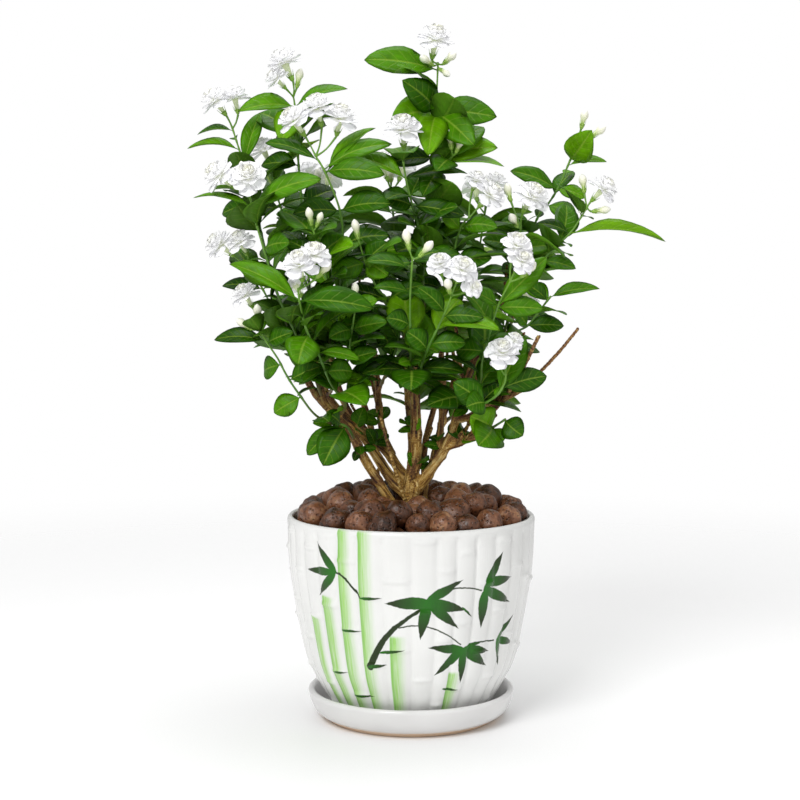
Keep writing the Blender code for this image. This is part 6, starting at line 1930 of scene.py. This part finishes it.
profile = [(DRAIN_RADIUS, 11.3, 0.0), (DRAIN_RADIUS, 8.6, 0.0), (DRAIN_RADIUS + 0.6, 7.9, 0.0)]
profile += [(radius, 7.9, 0.0) for radius in (14, 22, 30, 38)]
profile += [(radius, height, 0.0) for radius, height in (
    (42.5, 7.7), (43.4, 6.9), (43.8, 5.7), (44.6, 5.3), (46.4, 5.3), (47.6, 5.6), (48.6, 6.3))]
for row in range(WALL_ROWS):
    height = WALL_LOW + row * WALL_STEP
    fade = min(1.0, (height - RELIEF_LOW) / RELIEF_FADE, (RELIEF_HIGH - height) / RELIEF_FADE)
    profile.append((on_profile(POT_OUTSIDE, height), height, max(0.0, fade)))
profile += [(radius, height, 0.0) for radius, height in (
    (85.0, 137.7), (84.9, 138.8), (84.5, 139.9), (83.8, 140.7), (82.9, 141.0), (82.0, 140.8), (81.3, 140.1),
    (80.9, 139.1))]
for row in range(INNER_ROWS):
    height = INNER_HIGH - row * INNER_STEP
    profile.append((on_profile(POT_INSIDE, height), height, 0.0))
profile += [(radius, height, 0.0) for radius, height in (
    (47.0, 12.4), (45.0, 11.6), (36, 11.3), (26, 11.3), (16, 11.3))]
profile.append(profile[0])
print(len(profile), "rows of", POT_COLUMNS, "points")

# %% [markdown]
# ## Painted glaze
# The pot is earthenware under a thick glossy white glaze, and a spray of bamboo is painted on its front, a
# common traditional ornament. A picture of it would blur close up, so the shader draws it: one small node
# group lays a brush stroke between two places on the wall, another a cane with a darker left edge. The
# places are read off an enlarged view of the pot and thrown onto the wall along the camera's rays.

# %% Places on the wall
ENLARGED = 5.807
VIEW_LEFT = 280
VIEW_TOP = 480
PAINT_RADIUS = 80.0


def on_wall(x, y):
    """The way round the wall from its front, and the height, in mm, of a place in the enlarged view."""
    ray = FORWARD + RIGHT * ((VIEW_LEFT + x / ENLARGED - CENTRE_PX) / FOCAL_PX)
    ray += UPWARD * ((CENTRE_PX - VIEW_TOP - y / ENLARGED) / FOCAL_PX)
    radius = PAINT_RADIUS * MM
    for _ in range(12):
        a = ray.x ** 2 + ray.y ** 2
        b = EYE.x * ray.x + EYE.y * ray.y
        c = EYE.x ** 2 + EYE.y ** 2 - radius ** 2
        point = EYE + ray * ((-b - math.sqrt(max(0.0, b * b - a * c))) / a)
        radius = on_profile(POT_OUTSIDE, point.z / MM) * MM
    return math.atan2(point.x, -point.y) * PAINT_RADIUS, point.z / MM, 0.0


# Leaves: base, tip and width in the enlarged view, for each of the five sprays.
PAINTED_LEAVES = [
    ((315, 535), (207, 357), 45), ((300, 535), (160, 517), 45), ((310, 545), (223, 670), 45),
    ((865, 715), (605, 718), 66), ((855, 705), (1066, 580), 50), ((865, 715), (1082, 756), 62),
    ((865, 720), (1038, 864), 54), ((855, 715), (813, 930), 60), ((1060, 740), (1120, 800), 12),
    ((1190, 640), (1295, 415), 58), ((1200, 600), (1350, 562), 55), ((1190, 635), (1338, 708), 56),
    ((1190, 645), (1165, 860), 60),
    ((1065, 985), (860, 975), 50), ((1060, 985), (895, 1140), 50), ((1065, 990), (1045, 1180), 52),
    ((1070, 985), (1200, 1078), 55), ((1070, 980), (1215, 992), 50),
    ((1260, 925), (1355, 778), 32), ((1262, 925), (1345, 942), 42), ((1260, 925), (1270, 1075), 38),
    ((1090, 965), (1180, 935), 20),
    ((360, 872), (470, 880), 16), ((430, 1252), (550, 1258), 16), ((465, 688), (590, 688), 18),
    ((515, 1085), (620, 1075), 22), ((580, 1005), (725, 990), 20), ((315, 1113), (390, 1120), 14),
    ((945, 1215), (1030, 1217), 14),
]

# Twigs: their places, and their width at the start and the end.
PAINTED_TWIGS = [
    ([(315, 540), (345, 545), (380, 575), (400, 600), (430, 640), (465, 685)], 12, 12),
    ([(525, 1085), (560, 1000), (600, 930), (660, 865), (720, 820), (800, 765), (860, 720)], 42, 12),
    ([(1010, 635), (1045, 628), (1080, 627), (1120, 630), (1170, 640)], 8, 8),
    ([(690, 860), (740, 850), (800, 848), (860, 855), (920, 875), (980, 905), (1050, 955)], 8, 7),
    ([(1130, 945), (1180, 938), (1240, 932)], 9, 9),
]

# Canes: centre in degrees right of the front, top in mm, half width in degrees at the foot and at the
# lip, and how strong the paint is.
PAINTED_CANES = [
    (-31.0, 142.0, 5.8, 3.8, 1.25), (-20.5, 142.0, 5.2, 4.4, 1.0), (-41.8, 96.0, 4.8, 4.4, 1.7),
    (-53.0, 80.0, 4.8, 4.8, 2.4), (-6.0, 73.0, 5.4, 4.4, 1.1), (23.5, 47.0, 4.6, 3.6, 1.1),
]
PX_PER_MM = 1.45
PX_ON_WALL = 1 / (ENLARGED * PX_PER_MM)
print(len(PAINTED_LEAVES), "brush leaves,", len(PAINTED_TWIGS), "twigs and", len(PAINTED_CANES), "canes")

# %% A node group for one brush stroke
SOFT_EDGE = 0.3
LEAF_FOOT = 0.05
LEAF_BELLY = 0.7
LEAF_FULL = 1.65
LEAF_TAPER = 1.15

# A leaf stroke starts and ends in a point. A line stroke keeps its width, from one end to the other.
strokes = {}
for kind in ("leaf", "line"):
    tree, given, result = start_group("ShaderNodeTree", "brush " + kind, {
        "Place": "Vector", "From": "Vector", "To": "Vector", "Width": "Float", "End Width": "Float"},
        {"Cover": "Float", "Core": "Float"})
    way = add(tree, "ShaderNodeVectorMath", [given["To"], given["From"]], operation="SUBTRACT")
    here = add(tree, "ShaderNodeVectorMath", [given["Place"], given["From"]], operation="SUBTRACT")
    ahead = add(tree, "ShaderNodeVectorMath", [here, way], operation="DOT_PRODUCT").outputs["Value"]
    square = add(tree, "ShaderNodeVectorMath", [way, way], operation="DOT_PRODUCT").outputs["Value"]
    share = add(tree, "ShaderNodeMath", [ahead, square], operation="DIVIDE", use_clamp=True)
    foot = add(tree, "ShaderNodeVectorMath", {0: way, "Scale": share}, operation="SCALE")
    off = add(tree, "ShaderNodeVectorMath", [here, foot], operation="DISTANCE").outputs["Value"]
    if kind == "leaf":
        begun = add(tree, "ShaderNodeMath", [share, LEAF_FOOT], operation="ADD")
        belly = add(tree, "ShaderNodeMath", [begun, LEAF_BELLY], operation="POWER")
        rest = add(tree, "ShaderNodeMath", [1.0, share], operation="SUBTRACT")
        rest = add(tree, "ShaderNodeMath", [rest, LEAF_TAPER], operation="POWER")
        lens = add(tree, "ShaderNodeMath", [belly, rest], operation="MULTIPLY")
        half = add(tree, "ShaderNodeMath", [lens, given["Width"]], operation="MULTIPLY")
        half = add(tree, "ShaderNodeMath", [half, LEAF_FULL], operation="MULTIPLY")
    else:
        half = add(tree, "ShaderNodeMapRange", [share, 0.0, 1.0, given["Width"], given["End Width"]])
        half = add(tree, "ShaderNodeMath", [half, 0.5], operation="MULTIPLY")
    inner = add(tree, "ShaderNodeMath", [half, SOFT_EDGE], operation="SUBTRACT")
    outer = add(tree, "ShaderNodeMath", [half, SOFT_EDGE], operation="ADD")
    cover = add(tree, "ShaderNodeMapRange", [off, inner, outer, 1.0, 0.0], interpolation_type="SMOOTHSTEP")
    near = add(tree, "ShaderNodeMapRange", [share, 0.05, 0.8, 1.0, 0.0])
    core = add(tree, "ShaderNodeMath", [near, cover], operation="MULTIPLY")
    feed(tree, result, {"Cover": cover, "Core": core})
    strokes[kind] = tree

# %% A node group for one painted cane
LIP_HEIGHT = 142.0
tree, given, result = start_group("ShaderNodeTree", "painted cane", {
    "Angle": "Float", "Height": "Float", "Centre": "Float", "Top": "Float", "Half Below": "Float",
    "Half Above": "Float", "Strength": "Float"}, {"Share": "Float", "Edge": "Float"})
half = add(tree, "ShaderNodeMapRange", [given["Height"], 0.0, LIP_HEIGHT, given["Half Below"],
                                        given["Half Above"]])
off = add(tree, "ShaderNodeMath", [given["Angle"], given["Centre"]], operation="SUBTRACT")
across = add(tree, "ShaderNodeMath", [off, half], operation="DIVIDE")
left = add(tree, "ShaderNodeMapRange", [across, -1.0, -0.82, 0.0, 1.0], interpolation_type="SMOOTHSTEP")
right = add(tree, "ShaderNodeMapRange", [across, -0.7, 0.9, 1.0, 0.0], interpolation_type="SMOOTHSTEP")
body = add(tree, "ShaderNodeMath", [left, right], operation="MULTIPLY")
under_top = add(tree, "ShaderNodeMath", [given["Top"], given["Height"]], operation="SUBTRACT")
ended = add(tree, "ShaderNodeMapRange", [under_top, 0.0, 3.0, 0.0, 1.0], interpolation_type="SMOOTHSTEP")
full = add(tree, "ShaderNodeMath", [body, ended], operation="MULTIPLY")
strong = add(tree, "ShaderNodeMath", [full, given["Strength"]], operation="MULTIPLY", use_clamp=True)
rim = add(tree, "ShaderNodeMapRange", [across, -0.95, -0.45, 1.0, 0.0])
edge = add(tree, "ShaderNodeMath", [rim, strong], operation="MULTIPLY")
feed(tree, result, {"Share": strong, "Edge": edge})
cane_paint = tree

# %% The painted glaze: a point's place on the wall, in mm
pot_skin, tree, shader = start_material("white_glazed_earthenware_painted", 0.13, Specular_IOR_Level=0.35)
place = add(tree, "ShaderNodeTexCoord").outputs["Object"]
parts = add(tree, "ShaderNodeSeparateXYZ", [place])
back = add(tree, "ShaderNodeMath", [parts.outputs[1], -1.0], operation="MULTIPLY")
angle = add(tree, "ShaderNodeMath", [parts.outputs[0], back], operation="ARCTAN2")
round_wall = add(tree, "ShaderNodeMath", [angle, PAINT_RADIUS], operation="MULTIPLY")
height = add(tree, "ShaderNodeMath", [parts.outputs[2], PER_MM], operation="MULTIPLY")
flat = add(tree, "ShaderNodeCombineXYZ", [round_wall, height])
shake = add(tree, "ShaderNodeTexNoise", {"Vector": flat, "Scale": 0.35, "Detail": 3.0})
centred = add(tree, "ShaderNodeVectorMath", [shake.outputs["Color"], (0.5, 0.5, 0.5)], operation="SUBTRACT")
bent = add(tree, "ShaderNodeVectorMath", [centred, (0.9, 0.9, 0.0), flat], operation="MULTIPLY_ADD")
degrees = add(tree, "ShaderNodeMath", [angle, 180 / math.pi], operation="MULTIPLY")

# %% The painted glaze: canes, leaves and twigs
wash = 0.0
rims = 0.0
for centre, top, below, above, strength in PAINTED_CANES:
    drawn = add(tree, "ShaderNodeGroup", {
        "Angle": degrees, "Height": height, "Centre": centre, "Top": top,
        "Half Below": below, "Half Above": above, "Strength": strength}, node_tree=cane_paint)
    wash = add(tree, "ShaderNodeMath", [wash, drawn.outputs["Share"]], operation="MAXIMUM")
    rims = add(tree, "ShaderNodeMath", [rims, drawn.outputs["Edge"]], operation="MAXIMUM")
cover = 0.0
core = 0.0
touches = [("leaf", on_wall(*base), on_wall(*tip), width, width) for base, tip, width in PAINTED_LEAVES]
for route, first, last in PAINTED_TWIGS:
    steps = len(route) - 1
    widths = [first + (last - first) * i / steps for i in range(steps + 1)]
    for i in range(steps):
        touches.append(("line", on_wall(*route[i]), on_wall(*route[i + 1]), widths[i], widths[i + 1]))
for kind, base, tip, first, last in touches:
    drawn = add(tree, "ShaderNodeGroup", {
        "Place": bent, "From": base, "To": tip, "Width": first * PX_ON_WALL,
        "End Width": last * PX_ON_WALL}, node_tree=strokes[kind])
    cover = add(tree, "ShaderNodeMath", [cover, drawn.outputs["Cover"]], operation="MAXIMUM")
    if kind == "leaf":
        core = add(tree, "ShaderNodeMath", [core, drawn.outputs["Core"]], operation="MAXIMUM")

# %% The painted glaze: its colours
bands = add(tree, "ShaderNodeVectorMath", [flat, (0.9, 0.05, 1.0)], operation="MULTIPLY")
streaks = add(tree, "ShaderNodeTexNoise", {"Vector": bands, "Scale": 1.0, "Detail": 3.0})
patchy = add(tree, "ShaderNodeMapRange", [streaks, 0.3, 0.7, 0.6, 1.1])
washed = add(tree, "ShaderNodeMath", [wash, patchy], operation="MULTIPLY", use_clamp=True)
cloud = add(tree, "ShaderNodeTexNoise", {"Vector": place, "Scale": 0.02 * PER_MM, "Detail": 2.0})
glaze = set_ramp(add(tree, "ShaderNodeValToRGB", [cloud]), {0.35: "#e0e0de", 0.65: "#e8e8e6"})
ink = add(tree, "ShaderNodeMix", {"Factor_Float": core, "A_Color": linear("#1f300c"),
                                  "B_Color": linear("#1c6605")}, data_type="RGBA")
painted = glaze
for share, paint in ((washed, linear("#9ccc70")), (rims, linear("#7cb650")), (cover, ink)):
    painted = add(tree, "ShaderNodeMix", {"Factor_Float": share, "A_Color": painted, "B_Color": paint},
                  data_type="RGBA")
fine = add(tree, "ShaderNodeVectorMath", [flat, (1.4, 0.07, 1.0)], operation="MULTIPLY")
ribs = add(tree, "ShaderNodeTexNoise", {"Vector": fine, "Scale": 1.0, "Detail": 2.0})
bump = add(tree, "ShaderNodeBump", {"Strength": 0.4, "Distance": 0.3 * MM, "Height": ribs})
feed(tree, shader, {"Base Color": painted, "Normal": bump})
print(pot_skin.name, len(tree.nodes), "nodes")

# %% [markdown]
# ## Canes in the wall
# Now the pot itself. The fifth tree presses the canes into the turned wall, and its named inputs set how
# deep the grooves are and how high the joints stand.

# %% Tree five: canes pressed into a wall, first their round ribs
RIB_POWER = 0.6
tree, given, result = start_tree("canes pressed into a wall", {
    "Grooves": "Object", "Canes": "Object", "Groove Depth": "Float", "Half Width": "Float",
    "Joint Spacing": "Float", "Joint Height": "Float", "Joint Flare": "Float"})
place = add(tree, "GeometryNodeInputPosition")
flat = add(tree, "ShaderNodeVectorMath", [place, (1.0, 1.0, 0.0)], operation="MULTIPLY")
around = add(tree, "ShaderNodeVectorMath", [flat], operation="NORMALIZE")
away = add(tree, "ShaderNodeVectorMath", [flat], operation="LENGTH").outputs["Value"]
grooves = add(tree, "GeometryNodeObjectInfo", [given["Grooves"]])
near = add(tree, "GeometryNodeProximity", {0: grooves.outputs["Geometry"], "Source Position": around},
           target_element="POINTS")
apart = add(tree, "ShaderNodeMath", [near.outputs["Distance"], away], operation="MULTIPLY")
share = add(tree, "ShaderNodeMath", [apart, given["Half Width"]], operation="DIVIDE", use_clamp=True)
rest = add(tree, "ShaderNodeMath", [1.0, share], operation="SUBTRACT")
square = add(tree, "ShaderNodeMath", [rest, 2.0], operation="POWER")
arc = add(tree, "ShaderNodeMath", [1.0, square], operation="SUBTRACT")
rounded = add(tree, "ShaderNodeMath", [arc, RIB_POWER], operation="POWER")
sunk = add(tree, "ShaderNodeMath", [rounded, 1.0], operation="SUBTRACT")
rib = add(tree, "ShaderNodeMath", [sunk, given["Groove Depth"]], operation="MULTIPLY")

# %% Tree five: the ring and the flare at each joint
RING_WIDTH = 1.5 * MM
FLARE_WIDTH = 6.0 * MM
canes = add(tree, "GeometryNodeObjectInfo", [given["Canes"]])
which = add(tree, "GeometryNodeSampleNearest", {0: canes.outputs["Geometry"], "Sample Position": around})
joint_at = add(tree, "GeometryNodeInputNamedAttribute", ["joint_height"], data_type="FLOAT")
first = add(tree, "GeometryNodeSampleIndex", [canes.outputs["Geometry"], joint_at, which],
            data_type="FLOAT")
level = add(tree, "ShaderNodeSeparateXYZ", [place])
above = add(tree, "ShaderNodeMath", [level.outputs[2], first], operation="SUBTRACT")
half_step = add(tree, "ShaderNodeMath", [given["Joint Spacing"], 0.5], operation="MULTIPLY")
half_back = add(tree, "ShaderNodeMath", [half_step, -1.0], operation="MULTIPLY")
from_joint = add(tree, "ShaderNodeMath", [above, half_step, half_back], operation="WRAP")
bulges = []
for width, rise in ((RING_WIDTH, given["Joint Height"]), (FLARE_WIDTH, given["Joint Flare"])):
    share = add(tree, "ShaderNodeMath", [from_joint, width], operation="DIVIDE")
    square = add(tree, "ShaderNodeMath", [share, share], operation="MULTIPLY")
    fall = add(tree, "ShaderNodeMath", [square, -1.0], operation="MULTIPLY")
    bell = add(tree, "ShaderNodeMath", [fall], operation="EXPONENT")
    bulges.append(add(tree, "ShaderNodeMath", [bell, rise], operation="MULTIPLY"))
flare = add(tree, "ShaderNodeMath", bulges, operation="ADD")
on_rib = add(tree, "ShaderNodeMath", [flare, rounded, rib], operation="MULTIPLY_ADD")
weight = add(tree, "GeometryNodeInputNamedAttribute", ["relief"], data_type="FLOAT")
weighed = add(tree, "ShaderNodeMath", [on_rib, weight], operation="MULTIPLY")
push = add(tree, "ShaderNodeVectorMath", {0: around, "Scale": weighed}, operation="SCALE")
pressed = add(tree, "GeometryNodeSetPosition", {"Geometry": given["Geometry"], "Offset": push})
cane_tree = end_tree(tree, given, result, pressed, ["relief"])

# %% Make the pot
CANES = 34
CANE_HALF = 7.4 * MM
GROOVE_DEPTH = 1.7 * MM
RING_HEIGHT = 1.15 * MM
FLARE_HEIGHT = 0.3 * MM
JOINT_SPACING = 46.5
JOINT_SEED = 8
CANE_STRAY = 0.7

# The canes that the photograph shows: degrees to the right of the front, and the height of a joint in mm.
FRONT_CANES = {-53.5: 33.0, -42.2: 42.9, -31.0: 27.5, -20.0: 51.5, -7.0: 15.8, 6.5: 41.3, 16.0: 22.0,
               24.5: 33.2, 35.5: 12.0, 46.5: 39.0, 57.5: 20.0}


def on_circle(name, angles):
    """Points on a circle one metre in radius, at angles in degrees to the right of the front."""
    data = bpy.data.meshes.new(name)
    turns = [math.radians(angle) for angle in angles]
    data.from_pydata([(math.sin(turn), -math.cos(turn), 0.0) for turn in turns], [], [])
    return placed(name, data)


rng = random.Random(JOINT_SEED)
joints = dict(FRONT_CANES)
back_canes = CANES - len(FRONT_CANES)
step = (360 - max(FRONT_CANES) + min(FRONT_CANES)) / (back_canes + 1)
for number in range(1, back_canes + 1):
    joint = rng.uniform(0, JOINT_SPACING)
    joints[max(FRONT_CANES) + step * number + rng.uniform(-CANE_STRAY, CANE_STRAY)] = joint
angles = list(joints)
between = [(here + after) / 2 for here, after in zip(angles, angles[1:] + [angles[0] + 360])]
grooves = on_circle("grooves", between)
canes = on_circle("canes", angles)
set_attribute(canes.data, "joint_height", "FLOAT", [height * MM for height in joints.values()])
wall = turned("pot_wall", profile, POT_COLUMNS, pot_skin)
pot = made_by(cane_tree, "bamboo_cane_pot", wall.data, {
    "Grooves": grooves, "Canes": canes, "Groove Depth": GROOVE_DEPTH, "Half Width": CANE_HALF,
    "Joint Spacing": JOINT_SPACING * MM, "Joint Height": RING_HEIGHT, "Joint Flare": FLARE_HEIGHT,
    "Surface": pot_skin})
for used in (grooves, canes, wall):
    bpy.data.objects.remove(used)
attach(pot, "root")
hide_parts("pot")
print("pot", triangles(pot), "triangles")

# %% [markdown]
# ## Saucer and soil
# The saucer is turned too: a shallow dish with a rounded lip, a floor that the pot stands on, and a foot
# whose edge is left bare of glaze. The soil is hidden under the pebbles, so its solid stays as it is and
# only gets its material.

# %% Make the saucer and dress the soil
SAUCER_COLUMNS = 160
SAUCER_OUTLINE = (
    (0.0, 5.0), (20.0, 5.0), (40.0, 5.0), (54.0, 5.0), (57.4, 5.05), (58.8, 5.6), (60.0, 7.0), (62.0, 10.6),
    (64.2, 14.8), (66.0, 18.4), (66.9, 20.0), (67.7, 20.75), (68.8, 21.0), (69.9, 20.7), (70.7, 20.0),
    (71.0, 19.0), (70.8, 17.8), (70.2, 15.6), (69.4, 13.0), (68.4, 10.3), (67.2, 8.0), (65.6, 5.9),
    (63.4, 4.2), (60.8, 2.8), (59.2, 1.6), (58.4, 0.6), (57.4, 0.1), (56.2, 0.0), (53.8, 0.0),
    (52.8, 0.4), (52.2, 1.2), (50.0, 1.6), (34.0, 1.6), (16.0, 1.6), (0.0, 1.6))
# Both ends lie on the axis, and the merge in the tree draws each into one point.
saucer = turned("saucer_dish", [(radius, height, 0.0) for radius, height in SAUCER_OUTLINE], SAUCER_COLUMNS,
                saucer_skin)
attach(saucer, "root")
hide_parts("saucer")
soil = frame["nodes"]["soil"]
for place in soil.material_slots:
    place.material = soil_skin
print("saucer", triangles(saucer), "triangles")

# %% [markdown]
# ## Stage
# The object stands on a plain pale floor that fades away from it, so there is no horizon. Light comes from
# three large soft areas, as in a studio: the key from the upper left, a weaker fill from the right and one
# from above. The world fills the shadows with half its light, and is plain white where the camera sees it.
# The standard view transform keeps white petals and glaze white. The camera stands where the
# photograph's did.

# %% Floor
FLOOR_RADIUS = 1.2
FLOOR_FULL = 0.3
paper, tree, shader = start_material("matt_studio_paper", 0.85)
place = add(tree, "ShaderNodeTexCoord").outputs["Object"]
fibres = add(tree, "ShaderNodeTexNoise", {"Vector": place, "Scale": 0.8 * PER_MM, "Detail": 3.0})
whites = set_ramp(add(tree, "ShaderNodeValToRGB", [fibres]), {0.3: "#f4f4f4", 0.7: "#f8f8f8"})
away = add(tree, "ShaderNodeVectorMath", [place], operation="LENGTH").outputs["Value"]
seen_floor = add(tree, "ShaderNodeMapRange", [away, FLOOR_FULL, FLOOR_RADIUS, 1.0, 0.0],
                 interpolation_type="SMOOTHSTEP")
feed(tree, shader, {"Base Color": whites, "Alpha": seen_floor})
disc = bmesh.new()
bmesh.ops.create_circle(disc, cap_ends=True, segments=96, radius=FLOOR_RADIUS)
data = bpy.data.meshes.new("studio_floor")
disc.to_mesh(data)
disc.free()
data.materials.append(paper)
floor = placed("studio_floor", data)
floor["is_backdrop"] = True
print("floor", FLOOR_RADIUS, "m across its half")

# %% Lights and world
WORLD_LIGHT = 0.5
LIT_PLACE = Vector((0.0, 0.0, 0.22))

# Each lamp's place, its size in metres and its power in watts.
LIGHTS = {"key": ((-0.65, -1.25, 1.2), 0.7, 18.0), "fill": ((1.0, -1.1, 0.6), 1.0, 2.5),
          "top": ((0.1, 0.3, 1.6), 1.0, 12.0)}
for name, (place, size, power) in LIGHTS.items():
    lamp = bpy.data.lights.new(name, "AREA")
    lamp.shape = "SQUARE"
    lamp.size = size
    lamp.energy = power
    light = placed(name, lamp)
    light.location = place
    light.rotation_euler = (LIT_PLACE - Vector(place)).to_track_quat("-Z", "Y").to_euler()
world = bpy.data.worlds.new("pale_studio")
world.use_nodes = True
tree = world.node_tree
ray = add(tree, "ShaderNodeLightPath").outputs["Is Camera Ray"]
lit = add(tree, "ShaderNodeMapRange", [ray, 0.0, 1.0, WORLD_LIGHT, 1.0])
feed(tree, tree.nodes["Background"], {"Color": linear("#ffffff"), "Strength": lit})
bpy.context.scene.view_settings.view_transform = "Standard"
bpy.context.scene.world = world
print(len(LIGHTS), "lights")

# %% Camera
SENSOR = 36.0
camera = placed("camera", bpy.data.cameras.new("camera"))
camera.data.sensor_width = SENSOR
camera.data.lens = SENSOR * FOCAL_PX / (2 * CENTRE_PX)
camera.location = EYE
camera.rotation_euler = (AIM - EYE).to_track_quat("-Z", "Y").to_euler()
bpy.context.scene.camera = camera
print("lens", round(camera.data.lens, 1), "mm")

# %% [markdown]
# ## Finish
# The templates have done their work and are removed. The box of the dressed model is printed, as the box of
# the plain solids was at the start, since the dressing should not change the object's size.

# %% Clear up, and print the sizes
for kinds in (leaf_kinds, cup_kinds, petal_kinds, bloom_kinds, pebble_kinds):
    for kept in list(kinds.objects):
        bpy.data.objects.remove(kept)
    bpy.data.collections.remove(kinds)
dressed_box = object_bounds()
pieces = shoots + clusters + [trunk, pebbles, pot, saucer]
print(len(pieces), "pieces,", sum(triangles(piece) for piece in pieces), "triangles")
for low, high, axis in zip(dressed_box[0], dressed_box[1], "xyz"):
    print(axis, round(low, 4), "to", round(high, 4))
